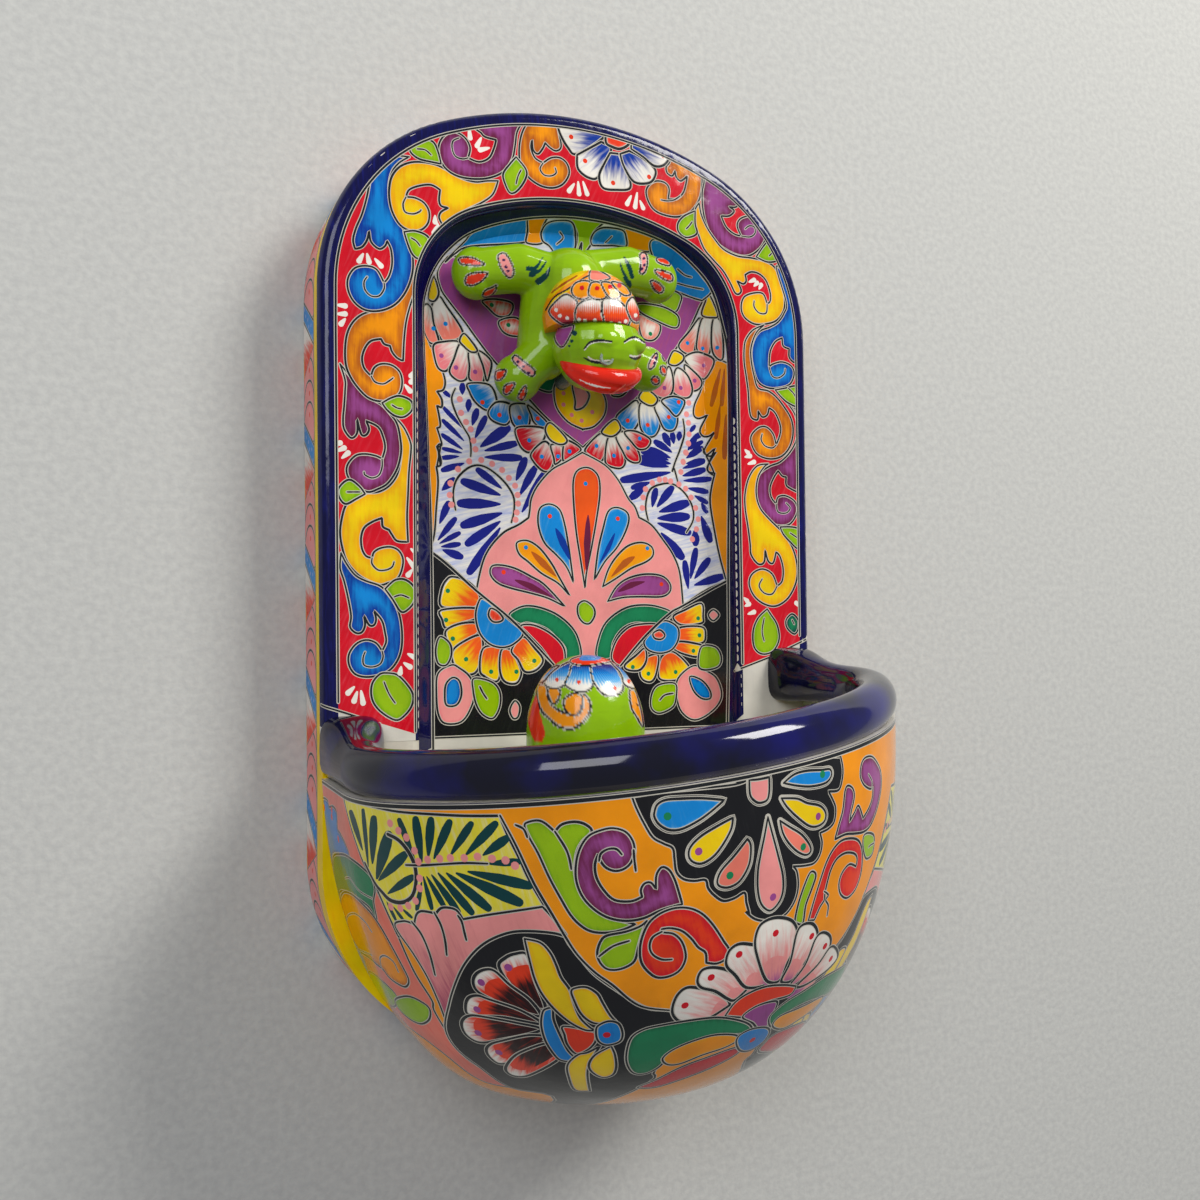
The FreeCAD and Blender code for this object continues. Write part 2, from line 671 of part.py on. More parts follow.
def grommet(x, radius, bore):
    """A rubber bush through the slab with a flange on the basin side."""
    body = cylinder(radius, SLAB + GROMMET_FLANGE, V(x, FACE_Y - GROMMET_FLANGE, TUBE_HOLE_Z), Y_AXIS)
    flange = cylinder(radius + GROMMET_FLANGE_R - GROMMET_R, GROMMET_FLANGE,
                      V(x, FACE_Y - GROMMET_FLANGE, TUBE_HOLE_Z), Y_AXIS)
    out = body.fuse(flange).removeSplitter()
    if bore:
        out = out.cut(cylinder(bore, 3 * SLAB, V(x, FACE_Y - SLAB, TUBE_HOLE_Z), Y_AXIS))
    return out


# The pump cover
def bell(shrink):
    """The bell's form: a straight taper below and a rounded crown built from bands."""
    neck_r = COVER_NECK_R - shrink
    neck = COVER_TOP_Z - COVER_CROWN
    profile = [(COVER_FOOT_R - shrink, FLOOR_Z + COVER_STAND)]
    for i in range(CROWN_BANDS + 1):
        angle = math.pi / 2 * i / (CROWN_BANDS + CROWN_TIP)
        height = (COVER_CROWN - shrink) * math.sin(angle) ** CROWN_FULL
        profile.append((neck_r * math.cos(angle) ** CROWN_FULL, neck + height))
    return turned(profile, COVER_SIDES)


def pump_cover():
    hood = bell(0.0).cut(bell(COVER_WALL))
    foot = FLOOR_Z + COVER_STAND
    slot_top = TUBE_HOLE_Z - foot
    slot = box(-COVER_SLOT / 2, COVER_SLOT / 2, 0, 2 * COVER_FOOT_R, foot - OVERCUT, foot + slot_top)
    slot = slot.fuse(cylinder(COVER_SLOT / 2, 2 * COVER_FOOT_R, V(0, 0, foot + slot_top), Y_AXIS))
    hood = hood.cut(slot)
    for angle in (-150, -90, -30):
        inlet = cylinder(COVER_INLET_R, 2 * COVER_FOOT_R, V(0, 0, foot), X_AXIS)
        inlet.rotate(V(0, 0, foot), Z_AXIS, angle)
        hood = hood.cut(inlet)
    hood.translate(V(COVER_X, COVER_Y, 0))
    return hood


# The pump, with its rotor axis along Y and its intake at the front
PUMP_FRONT = COVER_Y - PUMP_LONG / 2 + PUMP_SHIFT
PUMP_BACK = PUMP_FRONT + PUMP_LONG
PUMP_MIDDLE_Y = (PUMP_FRONT + PUMP_BACK) / 2
PUMP_BASE_Z = FLOOR_Z + FOOT_TALL
PUMP_TOP_Z = PUMP_BASE_Z + PUMP_TALL
AXIS_Z = PUMP_BASE_Z + AXIS_UP
PUMP_NOZZLE_Y = PUMP_FRONT + NOZZLE_BACK
TUNNEL_LONG = ROTOR_LONG + BUSH_LONG + 2 * END_PLAY


def axial(radius, length, y):
    """A round body on the rotor axis."""
    return cylinder(radius, length, V(COVER_X, y, AXIS_Z), Y_AXIS)


VOLUTE_BACK = PUMP_FRONT + VOLUTE_DEEP
TUNNEL_BACK = VOLUTE_BACK + TUNNEL_LONG
CORE_FRONT = VOLUTE_BACK + CORE_INSET
CORE_BACK = TUNNEL_BACK - CORE_INSET
CORE_LEG_IN = TUNNEL_R + CORE_LEG_GAP
YOKE_TOP_Z = AXIS_Z - TUNNEL_R - CORE_YOKE_GAP
COIL_LOW_Z = PUMP_BASE_Z + BASE_PLATE + CORE_FIT


def pump_housing():
    half = PUMP_WIDE / 2
    body = rounded_box(COVER_X - half, COVER_X + half, PUMP_FRONT, PUMP_BACK,
                       PUMP_BASE_Z, PUMP_TOP_Z, PUMP_ROUND)
    body = body.cut(axial(VOLUTE_R, VOLUTE_DEEP, PUMP_FRONT))
    body = body.cut(axial(TUNNEL_R, TUNNEL_LONG, VOLUTE_BACK))
    body = body.cut(core_space(0.0))
    nipple = cylinder(TUBE_BORE_R - NIPPLE_GAP, NIPPLE_TALL + NIPPLE_ROOT,
                      V(COVER_X, PUMP_NOZZLE_Y, PUMP_TOP_Z - NIPPLE_ROOT), Z_AXIS)
    body = body.fuse(nipple)
    outlet = cylinder(OUTLET_R, PUMP_TALL, V(COVER_X, PUMP_NOZZLE_Y, AXIS_Z + OUTLET_START), Z_AXIS)
    return body.cut(outlet)


def core_space(gap):
    """Pocket from below for the stator: a yoke under the tunnel and a leg up each side."""
    y0 = CORE_FRONT + gap
    y1 = CORE_BACK - gap
    leg_out = CORE_LEG_IN + CORE_LEG
    low = PUMP_BASE_Z - OVERCUT
    out = box(COVER_X - leg_out + gap, COVER_X + leg_out - gap, y0, y1, low, YOKE_TOP_Z - gap)
    for side in (-1, 1):
        inner = COVER_X + side * (CORE_LEG_IN + gap)
        outer = COVER_X + side * (leg_out - gap)
        out = out.fuse(box(min(inner, outer), max(inner, outer), y0, y1, low, AXIS_Z + CORE_TOP - gap))
    return out.removeSplitter()


def coil_block():
    """The room between the legs, under the tunnel."""
    half = CORE_LEG_IN - COIL_CLEAR
    return box(COVER_X - half, COVER_X + half, CORE_FRONT + CORE_FIT, CORE_BACK - CORE_FIT,
               COIL_LOW_Z, YOKE_TOP_Z - CORE_FIT)


def yoke_bar(gap):
    """The bar of the core that runs through the winding from leg to leg."""
    half = CORE_LEG_IN + COIL_CLEAR
    return box(COVER_X - half, COVER_X + half, CORE_FRONT + CORE_FIT + COIL_DEEP - gap,
               CORE_BACK - CORE_FIT - COIL_DEEP + gap, COIL_LOW_Z + COIL_DEEP - gap,
               YOKE_TOP_Z - CORE_FIT - COIL_DEEP + gap)


def stator_core():
    """A laminated U: a leg up each side of the rotor tunnel and the bar that joins them."""
    half = CORE_LEG_IN + CORE_FIT
    legs = core_space(CORE_FIT).common(everything_above(PUMP_BASE_Z + BASE_PLATE))
    legs = legs.cut(box(COVER_X - half, COVER_X + half, -BEYOND, BEYOND, -BEYOND, BEYOND))
    return legs.fuse(yoke_bar(0.0)).removeSplitter()


def stator_coil():
    """The winding round the bar, between the legs."""
    return coil_block().cut(yoke_bar(COIL_FIT))


def base_plate():
    """Closes the stator's pocket from below."""
    pocket = core_space(PLATE_FIT).common(everything_above(PUMP_BASE_Z))
    return pocket.cut(everything_above(PUMP_BASE_Z + BASE_PLATE))


def suction_feet():
    """Four rubber cups, each with a waist, that hold the pump to the basin floor."""
    profile = [(FOOT_R, FLOOR_Z), (FOOT_R, FLOOR_Z + FOOT_LIP), (FOOT_WAIST_R, FLOOR_Z + FOOT_TALL / 2),
               (FOOT_WAIST_R, FLOOR_Z + FOOT_TALL)]
    cups = []
    for sx in (-1, 1):
        for sy in (-1, 1):
            cup = turned(profile, FOOT_SIDES)
            cup.translate(V(COVER_X + sx * FOOT_SPREAD_X, PUMP_MIDDLE_Y + sy * FOOT_SPREAD_Y, 0))
            cups.append(cup)
    return Part.makeCompound(cups)


def rotor_magnet():
    return axial(ROTOR_R, ROTOR_LONG, VOLUTE_BACK + END_PLAY).cut(axial(SHAFT_R + SHAFT_FIT, BEYOND, -BEYOND))


def impeller():
    """A hub and flat paddles on the front of the magnet."""
    back = VOLUTE_BACK - END_PLAY
    front = back - IMPELLER_DEEP
    wheel = axial(IMPELLER_HUB_R, IMPELLER_DEEP + 2 * END_PLAY, front)
    for i in range(BLADES):
        blade = box(COVER_X, COVER_X + IMPELLER_R, front, back, AXIS_Z - BLADE / 2, AXIS_Z + BLADE / 2)
        blade.rotate(V(COVER_X, front, AXIS_Z), Y_AXIS, 360.0 * i / BLADES)
        wheel = wheel.fuse(blade)
    wheel = wheel.removeSplitter()
    return wheel.cut(axial(SHAFT_R + SHAFT_FIT, BEYOND, -BEYOND))


SHAFT_FRONT = PUMP_FRONT - PLATE + BUSH_END
SHAFT_BACK = TUNNEL_BACK - BUSH_END


def rotor_shaft():
    return axial(SHAFT_R, SHAFT_BACK - SHAFT_FRONT, SHAFT_FRONT)


def rear_bush():
    """Rubber cup in the blind end of the tunnel that holds the shaft."""
    bush = axial(TUNNEL_R, BUSH_LONG, TUNNEL_BACK - BUSH_LONG)
    return bush.cut(axial(SHAFT_R, BUSH_LONG - BUSH_END, TUNNEL_BACK - BUSH_LONG))


def volute_plate():
    """Closes the volute; three spokes across the inlet eye carry the front bush."""
    half = PUMP_WIDE / 2 - PUMP_ROUND
    plate = box(COVER_X - half, COVER_X + half, PUMP_FRONT - PLATE, PUMP_FRONT,
                PUMP_BASE_Z + PUMP_ROUND, PUMP_TOP_Z - PUMP_ROUND)
    eye = axial(EYE_R, PLATE, PUMP_FRONT - PLATE)
    spokes = axial(SPOKE_HUB_R, PLATE, PUMP_FRONT - PLATE)
    for i in range(SPOKES):
        spoke = box(COVER_X - SPOKE / 2, COVER_X + SPOKE / 2, PUMP_FRONT - PLATE, PUMP_FRONT,
                    AXIS_Z, AXIS_Z + EYE_R + OVERCUT)
        spoke.rotate(V(COVER_X, PUMP_FRONT, AXIS_Z), Y_AXIS, 360.0 * i / SPOKES)
        spokes = spokes.fuse(spoke)
    plate = plate.cut(eye).fuse(spokes).removeSplitter()
    return plate.cut(axial(FRONT_BUSH_R, PLATE, PUMP_FRONT - PLATE))


def front_bush():
    bush = axial(FRONT_BUSH_R, PLATE, PUMP_FRONT - PLATE)
    return bush.cut(axial(SHAFT_R, PLATE - BUSH_END, SHAFT_FRONT))


HOOD_HALF = PUMP_WIDE / 2 - PUMP_ROUND
HOOD_FRONT = PUMP_FRONT - PLATE - HOOD_DEEP
HOOD_TOP_Z = PUMP_TOP_Z - PUMP_ROUND
HOOD_BASE_Z = PUMP_BASE_Z + PUMP_ROUND
GATE_Z0 = HOOD_TOP_Z - HOOD_WALL - GATE_TALL - GATE_HEADROOM
GATE_Y0 = HOOD_FRONT + HOOD_WALL + GATE_GAP
TAB_Z0 = GATE_Z0 + GATE_TALL / 2


def intake_hood():
    """Clip-on intake strainer: slots across its front, and a shallow channel for the gate."""
    body = box(COVER_X - HOOD_HALF, COVER_X + HOOD_HALF, HOOD_FRONT, PUMP_FRONT - PLATE,
               HOOD_BASE_Z, HOOD_TOP_Z)
    hollow = box(COVER_X - HOOD_HALF + HOOD_WALL, COVER_X + HOOD_HALF - HOOD_WALL,
                 HOOD_FRONT + HOOD_WALL, PUMP_FRONT - PLATE, HOOD_BASE_Z + HOOD_WALL, HOOD_TOP_Z - HOOD_WALL)
    body = body.cut(hollow)
    pitch = (HOOD_TOP_Z - HOOD_BASE_Z - 2 * HOOD_WALL) / GRILLE_SLOTS
    for i in range(GRILLE_SLOTS):
        z = HOOD_BASE_Z + HOOD_WALL + pitch * (i + 0.5)
        body = body.cut(box(COVER_X - GRILLE_LONG / 2, COVER_X + GRILLE_LONG / 2,
                            HOOD_FRONT - OVERCUT, HOOD_FRONT + HOOD_WALL + OVERCUT,
                            z - GRILLE_SLOT / 2, z + GRILLE_SLOT / 2))
    tab_slot = box(COVER_X + TAB_X - GATE_GAP, COVER_X + TAB_X + TAB_WIDE + GATE_GAP,
                   HOOD_FRONT - OVERCUT, HOOD_FRONT + HOOD_WALL + OVERCUT,
                   TAB_Z0 - GATE_TRAVEL - GATE_GAP, TAB_Z0 + TAB_WIDE + GATE_GAP)
    rails = []
    for side in (-1, 1):
        x = COVER_X + side * (GATE_HALF + GATE_GAP + RAIL / 2)
        rails.append(box(x - RAIL / 2, x + RAIL / 2, HOOD_FRONT + HOOD_WALL, GATE_Y0 + GATE_THICK,
                         HOOD_BASE_Z + HOOD_WALL, HOOD_TOP_Z - HOOD_WALL))
    return body.cut(tab_slot).fuse(rails).removeSplitter()


def flow_gate():
    """A plate that slides down behind the grille to throttle the pump, with a finger tab in its own slot."""
    plate = box(COVER_X - GATE_HALF, COVER_X + GATE_HALF, GATE_Y0, GATE_Y0 + GATE_THICK,
                GATE_Z0, GATE_Z0 + GATE_TALL)
    tab = box(COVER_X + TAB_X, COVER_X + TAB_X + TAB_WIDE, HOOD_FRONT - TAB_OUT, GATE_Y0,
              TAB_Z0, TAB_Z0 + TAB_WIDE)
    return plate.fuse(tab).removeSplitter()


def cord_gland():
    """Moulded inlet for the mains cord at the back of the pump."""
    foot = V(COVER_X + GLAND_RIGHT, PUMP_BACK, PUMP_BASE_Z + GLAND_UP)
    return Part.makeCone(GLAND_R, GLAND_TIP_R, GLAND_LONG, foot, Y_AXIS)


def main():
    save("arch_front", arch_front())
    save("niche_pan", niche_pan())
    save("side_band", side_band())
    save("hanging_bar", hanging_bar())
    save("basin_bowl", basin_bowl())
    save("basin_rim", basin_rim())
    for part_name, part_shape in frog_parts().items():
        save(part_name, part_shape)
    save("supply_tube", supply_tube())
    save("tube_grommet", grommet(COVER_X, GROMMET_R, TUBE_R))
    save("cord_grommet", grommet(CORD_GROMMET_X, CORD_GROMMET_R, 0.0))
    save("pump_cover", pump_cover())
    save("pump_housing", pump_housing())
    save("stator_core", stator_core())
    save("stator_coil", stator_coil())
    save("pump_base_plate", base_plate())
    save("suction_feet", suction_feet())
    save("rotor_magnet", rotor_magnet())
    save("impeller", impeller())
    save("rotor_shaft", rotor_shaft())
    save("rear_bush", rear_bush())
    save("front_bush", front_bush())
    save("volute_plate", volute_plate())
    save("intake_hood", intake_hood())
    save("flow_gate", flow_gate())
    save("cord_gland", cord_gland())


if __name__ == "__main__":
    main()
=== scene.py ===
import math

import bpy
import numpy as np
from mathutils import Matrix, Vector
from mathutils.geometry import delaunay_2d_cdt


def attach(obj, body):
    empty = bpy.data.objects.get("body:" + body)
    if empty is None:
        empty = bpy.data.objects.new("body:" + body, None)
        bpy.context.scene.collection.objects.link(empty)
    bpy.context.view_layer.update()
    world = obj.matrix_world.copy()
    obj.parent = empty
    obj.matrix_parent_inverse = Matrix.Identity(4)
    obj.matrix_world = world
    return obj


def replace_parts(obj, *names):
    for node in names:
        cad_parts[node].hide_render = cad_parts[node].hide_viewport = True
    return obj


MM = 0.001
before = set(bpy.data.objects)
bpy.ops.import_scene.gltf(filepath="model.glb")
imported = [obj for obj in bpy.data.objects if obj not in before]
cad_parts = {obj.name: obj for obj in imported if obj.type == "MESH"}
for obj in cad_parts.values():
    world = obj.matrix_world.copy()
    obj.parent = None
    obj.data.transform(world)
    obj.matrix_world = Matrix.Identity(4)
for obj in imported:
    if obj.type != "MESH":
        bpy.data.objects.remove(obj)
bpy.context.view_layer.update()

# Sizes of the clay form, millimetres, as the part has them
PANEL_HALF = 170.0
HIP_TAPER = 2.0
SHOULDER_R = 120.0
SHOULDER_Z = -62.0
CROWN_Z = -182.0
CROWN_R = 250.0
SPRING_Z = -89.0
SIDE_RUN = 268.0
FACE_Y = -48.0
EDGE_ROUND = 6.5
BORDER = 60.0
MOUTH_ROUND = 5.0
MOUTH_STRAIGHT = 3.0
NICHE_Y = -28.0
NICHE_SLOPE = 12.0
RIM_Z = -330.0
BOWL_DROP = 205.0
LIFT = 0.2
SKIN = 0.5
FOOT_STEPS = 28
ARC_STEPS = 24

# The camera stands left of the fountain, a little below its middle, and looks to the right.
CAMERA_AT = np.array([-303.0, -727.6, -279.7])
CAMERA_YAW = 0.429
CAMERA_PITCH = 0.045
CAMERA_ROLL = -0.011
PHOTO_WIDE = 1200
FOCAL_PX = 1170.0
SENSOR = 36.0
CLIP_START = 0.02


def camera_axes():
    """Right, up and forward of the camera in the fountain's own frame."""
    yaw, pitch, roll = CAMERA_YAW, CAMERA_PITCH, CAMERA_ROLL
    forward = np.array([math.sin(yaw) * math.cos(pitch),
                        math.cos(yaw) * math.cos(pitch), math.sin(pitch)])
    level = np.array([math.cos(yaw), -math.sin(yaw), 0.0])
    rise = np.cross(level, forward)
    right = math.cos(roll) * level + math.sin(roll) * rise
    up = -math.sin(roll) * level + math.cos(roll) * rise
    return right, up, forward


RIGHT, UP, FORWARD = camera_axes()


def place_camera():
    """The camera that sees the fountain as the photograph does."""
    data = bpy.data.cameras.new("camera")
    data.sensor_width = SENSOR
    data.lens = SENSOR * FOCAL_PX / PHOTO_WIDE
    camera = bpy.data.objects.new("camera", data)
    bpy.context.scene.collection.objects.link(camera)
    turn = Matrix([[RIGHT[i], UP[i], -FORWARD[i]] for i in range(3)])
    camera.matrix_world = Matrix.Translation(Vector(CAMERA_AT * MM)) @ turn.to_4x4()
    data.clip_start = CLIP_START
    bpy.context.scene.camera = camera


def rays(pixels):
    """Directions from the camera through places in the 1200 by 1200 photograph."""
    p = np.atleast_2d(np.asarray(pixels, float)) - PHOTO_WIDE / 2
    return FORWARD + np.outer(p[:, 0] / FOCAL_PX, RIGHT) - np.outer(p[:, 1] / FOCAL_PX, UP)


def on_face(pixels, y=FACE_Y):
    """Where places in the photograph lie on a plane parallel to the wall, as (x, z)."""
    way = rays(pixels)
    hit = CAMERA_AT + way * ((y - CAMERA_AT[1]) / way[:, 1])[:, None]
    return hit[:, [0, 2]]


# Colours of the glazes
def glaze(r, g, b):
    """A colour given as it looks, turned into linear light."""
    return tuple(((c + 0.055) / 1.055) ** 2.4 if c > 0.04045 else c / 12.92 for c in (r, g, b))


RED = glaze(0.84, 0.06, 0.14)
RED_THIN = glaze(0.90, 0.33, 0.38)
COBALT = glaze(0.05, 0.05, 0.26)
COBALT_LIGHT = glaze(0.10, 0.12, 0.48)
INK = glaze(0.13, 0.14, 0.15)
PALE = glaze(0.80, 0.78, 0.72)
WHITE = glaze(0.95, 0.93, 0.88)
CREAM = glaze(0.86, 0.84, 0.79)
YELLOW = glaze(0.97, 0.82, 0.03)
AMBER = glaze(0.95, 0.66, 0.05)
ORANGE = glaze(0.98, 0.60, 0.03)
BROWN = glaze(0.72, 0.36, 0.10)
BLUE = glaze(0.06, 0.53, 0.83)
BLUE_DEEP = glaze(0.03, 0.22, 0.60)
SKY = glaze(0.45, 0.72, 0.88)
PURPLE = glaze(0.62, 0.29, 0.56)
MAROON = glaze(0.42, 0.12, 0.25)
LIME = glaze(0.60, 0.76, 0.06)
LIME_DEEP = glaze(0.45, 0.66, 0.03)
GREEN = glaze(0.10, 0.52, 0.33)
TEAL = glaze(0.02, 0.25, 0.26)
PINK = glaze(0.96, 0.60, 0.58)
SALMON = glaze(0.95, 0.50, 0.42)
SCARLET = glaze(0.93, 0.24, 0.10)
LAVENDER = glaze(0.62, 0.68, 0.88)

TINT = {
    "yellow": YELLOW, "amber": AMBER, "orange": ORANGE, "brown": BROWN, "blue": BLUE,
    "blue_deep": BLUE_DEEP, "sky": SKY, "purple": PURPLE, "maroon": MAROON, "lime": LIME,
    "lime_deep": LIME_DEEP, "green": GREEN, "teal": TEAL, "pink": PINK, "salmon": SALMON,
    "scarlet": SCARLET, "red": RED, "white": WHITE, "lavender": LAVENDER, "ink": INK,
    "green_deep": glaze(0.05, 0.40, 0.25), "rose": glaze(0.93, 0.50, 0.52),
    "plum": glaze(0.72, 0.33, 0.42), "yellow_pale": glaze(0.93, 0.87, 0.22),
    "black": glaze(0.10, 0.10, 0.11), "black_soft": glaze(0.20, 0.20, 0.20),
    "ember": glaze(0.16, 0.04, 0.05), "cobalt": glaze(0.10, 0.13, 0.52),
    "fire": glaze(0.96, 0.36, 0.10), "purple_dark": glaze(0.22, 0.08, 0.30),
    # lip_highlight is a painted highlight on the lips, a paler red where gloss would catch the light
    "lips": glaze(0.90, 0.16, 0.08), "lip_highlight": glaze(0.98, 0.45, 0.36),
    "frog": glaze(0.56, 0.74, 0.05),
}

# Half widths of the dark lines and of the pale edge along them, millimetres
LINE = 0.6
HAIR = 0.45


def xy(*numbers):
    """Places, from numbers that go across and down in turn."""
    return list(zip(numbers[::2], numbers[1::2]))


def curve(points, closed=False, steps=5):
    """A smooth line through points; a point given twice makes a corner."""
    p = np.asarray(points, float)
    if closed:
        p = np.vstack([p[-1:], p, p[:2]])
    else:
        p = np.vstack([p[:1], p, p[-1:]])
    t = (np.arange(steps) / steps)[:, None]
    out = []
    for a, b, c, d in zip(p, p[1:], p[2:], p[3:]):
        if np.allclose(b, c):
            continue
        m, n = (c - a) / 2, (d - b) / 2
        leave, arrive = 2 * t**3 - 3 * t**2 + 1, 3 * t**2 - 2 * t**3
        out.append(leave * b + (t**3 - 2 * t**2 + t) * m + arrive * c + (t**3 - t**2) * n)
    if not closed:
        out.append(p[-1:])
    return np.vstack(out)


def flat(points):
    """The metric of a plan that is as large as what it stands for."""
    return np.ones((len(points), 2))


def same(points):
    """Places left where they are."""
    return points


SEED_STEP = 1.37
LINE_SWELL = (0.8, 1.15, 0.9, 1.1, 0.8)


class Sheet:
    """Glazes laid over each other on a plan in millimetres, later ones on top."""

    def __init__(self, metric=flat):
        self.shapes = []
        self.metric = metric
        self.count = 0

    def fill(self, outline, colour, deep=None, tone=None, streak=0.0, way=(0.0, 1.0), level=0.0, loose=None):
        """Lays a glaze; tone or level says how much of the second colour shows, streak how it streaks."""
        self.count += 1
        self.shapes.append({"outline": np.asarray(outline, float), "colour": colour, "deep": deep or colour,
                            "tone": tone, "streak": streak, "way": way, "level": level,
                            "seed": self.count * SEED_STEP, "loose": loose})

    def ribbon(self, line, widths, cap=True):
        """Outline of a brush stroke along a line; widths are half widths."""
        scale = self.metric(line)
        tangent = np.gradient(line, axis=0) * scale
        length = np.hypot(*tangent.T)
        length[length == 0] = 1
        tangent /= length[:, None]
        normal = np.column_stack([-tangent[:, 1], tangent[:, 0]])
        w = np.interp(np.linspace(0, 1, len(line)), np.linspace(0, 1, len(widths)), widths)
        left = line + normal * w[:, None] / scale
        right = line - normal * w[:, None] / scale
        ends = []
        for i, sign in ((-1, 1), (0, -1)):
            if cap and w[i] > 0.25:
                angles = np.linspace(0, math.pi, 6)[1:-1]
                across, ahead = normal[i] * sign, tangent[i] * sign
                arc = np.outer(np.cos(angles), across) + np.outer(np.sin(angles), ahead)
                ends.append(line[i] + arc * w[i] / scale[i])
            else:
                ends.append(np.zeros((0, 2)))
        return np.vstack([left, ends[0], right[::-1], ends[1]])

    def draw(self, line, half=LINE, hair=HAIR):
        """A dark line of uneven width with a pale edge along each side."""
        self.fill(self.ribbon(line, [half + hair] * 2), PALE)
        self.fill(self.ribbon(line, [half * wide for wide in LINE_SWELL]), INK)

    def edge(self, outline, half=LINE, hair=HAIR):
        """A dark line round an outline."""
        ring = np.vstack([outline, outline[:2]])
        self.draw(ring, half, hair)

    def figure(self, outline, colour, deep=None, rim=0.0, streak=0.0, way=(0.0, 1.0), level=0.0):
        """A filled outline with its dark line; rim is how far the second colour reaches in from the edge."""
        tone = (lambda q: np.clip(1 - gap(q, outline) / rim, 0, 1)) if rim else None
        loose = spread(outline, max(rim / 2, 1.5)) if rim else None
        self.fill(outline, colour, deep, tone, streak, way, level, loose)
        self.edge(outline)

    def drop(self, line, size, colour=WHITE):
        """A drop that swells along its line."""
        self.fill(self.ribbon(curve(line), [size * 0.35, size * 0.75, size]), colour)


GAP_BATCH = 2000
INSIDE_BATCH = 4000


def gap(q, outline):
    """Distance of points from a closed outline."""
    a = outline
    d = np.roll(outline, -1, axis=0) - a
    l2 = np.maximum((d**2).sum(1), 1e-9)
    best = np.full(len(q), 1e9)
    for i in range(0, len(q), GAP_BATCH):
        r = q[i:i + GAP_BATCH, None, :] - a[None]
        t = np.clip((r * d).sum(2) / l2, 0, 1)
        best[i:i + GAP_BATCH] = np.hypot(*np.moveaxis(r - t[..., None] * d, 2, 0)).min(1)
    return best


def inside(q, outline):
    """Non-zero winding test."""
    a, b = outline, np.roll(outline, -1, axis=0)
    wind = np.zeros(len(q), int)
    for i in range(0, len(q), INSIDE_BATCH):
        x, y = q[i:i + INSIDE_BATCH, 0:1], q[i:i + INSIDE_BATCH, 1:2]
        side = (b[:, 0] - a[:, 0]) * (y - a[:, 1]) - (x - a[:, 0]) * (b[:, 1] - a[:, 1])
        up = (a[:, 1] <= y) & (b[:, 1] > y) & (side > 0)
        down = (a[:, 1] > y) & (b[:, 1] <= y) & (side < 0)
        wind[i:i + INSIDE_BATCH] = up.sum(1) - down.sum(1)
    return wind != 0


def circle(n):
    """Places round a circle of radius 1."""
    turn = np.linspace(0, 2 * math.pi, n, endpoint=False)
    return np.column_stack([np.cos(turn), np.sin(turn)])


def box(left, low, right, high):
    """The four corners of an upright rectangle."""
    return [(left, low), (right, low), (right, high), (left, high)]


def clip_below(outline, foot, closed=True):
    """Pulls every place of an outline that lies under a line up onto it; an open one loses them."""
    out = outline.copy()
    level = np.interp(out[:, 0], foot[:, 0], foot[:, 1])
    if closed:
        out[:, 1] = np.maximum(out[:, 1], level)
        return out
    return out[out[:, 1] >= level]


def spread(outline, pitch):
    """Loose points inside an outline."""
    lo, hi = outline.min(0), outline.max(0)
    gx, gy = np.meshgrid(np.arange(lo[0], hi[0], pitch), np.arange(lo[1], hi[1], pitch))
    q = np.column_stack([gx.ravel(), gy.ravel()])
    q = q[inside(q, outline)]
    return q[gap(q, outline) > pitch * 0.4] if len(q) else q


NEAR = 2e-3
NEAR_BACK = 1e-6
THIN = 1e-7
SAME_PLACE = 1e-3


def finer(loop, step):
    """The same closed loop with no edge longer than its step."""
    ends = np.roll(loop, -1, axis=0)
    count = np.maximum(np.ceil(np.hypot(*(ends - loop).T) / step((loop + ends) / 2)), 1).astype(int)
    part = np.concatenate([np.arange(n) / n for n in count])
    return np.repeat(loop, count, 0) + np.repeat(ends - loop, count, 0) * part[:, None]


def triangulate(loops, loose, step):
    """Triangles over closed loops and loose points, with every loop kept as edges."""
    verts, edges, n = [], [], 0
    for loop in loops:
        keep = np.hypot(*(loop - np.roll(loop, 1, axis=0)).T) > SAME_PLACE
        loop = finer(loop[keep], step)
        k = len(loop)
        verts.append(loop)
        edges += [(n + i, n + (i + 1) % k) for i in range(k)]
        n += k
    verts += [q for q in loose if len(q)]
    points = np.vstack(verts)
    out = delaunay_2d_cdt([Vector(p) for p in points], edges, [], 0, NEAR, False)
    return np.array([tuple(v) for v in out[0]]), np.array(out[2], int)


def turned_area(points, tris):
    """Twice the signed area of each triangle."""
    a, b, c = (points[tris[:, i]] for i in range(3))
    return (b[:, 0] - a[:, 0]) * (c[:, 1] - a[:, 1]) - (b[:, 1] - a[:, 1]) * (c[:, 0] - a[:, 0])


def within_border(points, border):
    """Which points lie inside the first outline and outside the others."""
    within = inside(points, border[0])
    for hole in border[1:]:
        within &= ~inside(points, hole)
    return within


LAYERS = (("paint", "FLOAT_COLOR"), ("deep", "FLOAT_COLOR"),
          ("wash", "FLOAT_VECTOR"), ("grain", "FLOAT_VECTOR"))


def write_layers(mesh, domain, layers):
    """Stores the two colours, the wash and the grain on a painted mesh."""
    for (label, kind), data in zip(LAYERS, layers):
        layer = mesh.attributes.new(label, kind, domain)
        field = "color" if kind == "FLOAT_COLOR" else "vector"
        layer.data.foreach_set(field, data.astype(np.float32).ravel())


def add_piece(name, mesh, body):
    """Links a mesh as a piece that rides on its body."""
    obj = bpy.data.objects.new(name, mesh)
    bpy.context.scene.collection.objects.link(obj)
    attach(obj, body)
    return obj


SHARP_FROM = math.radians(35)


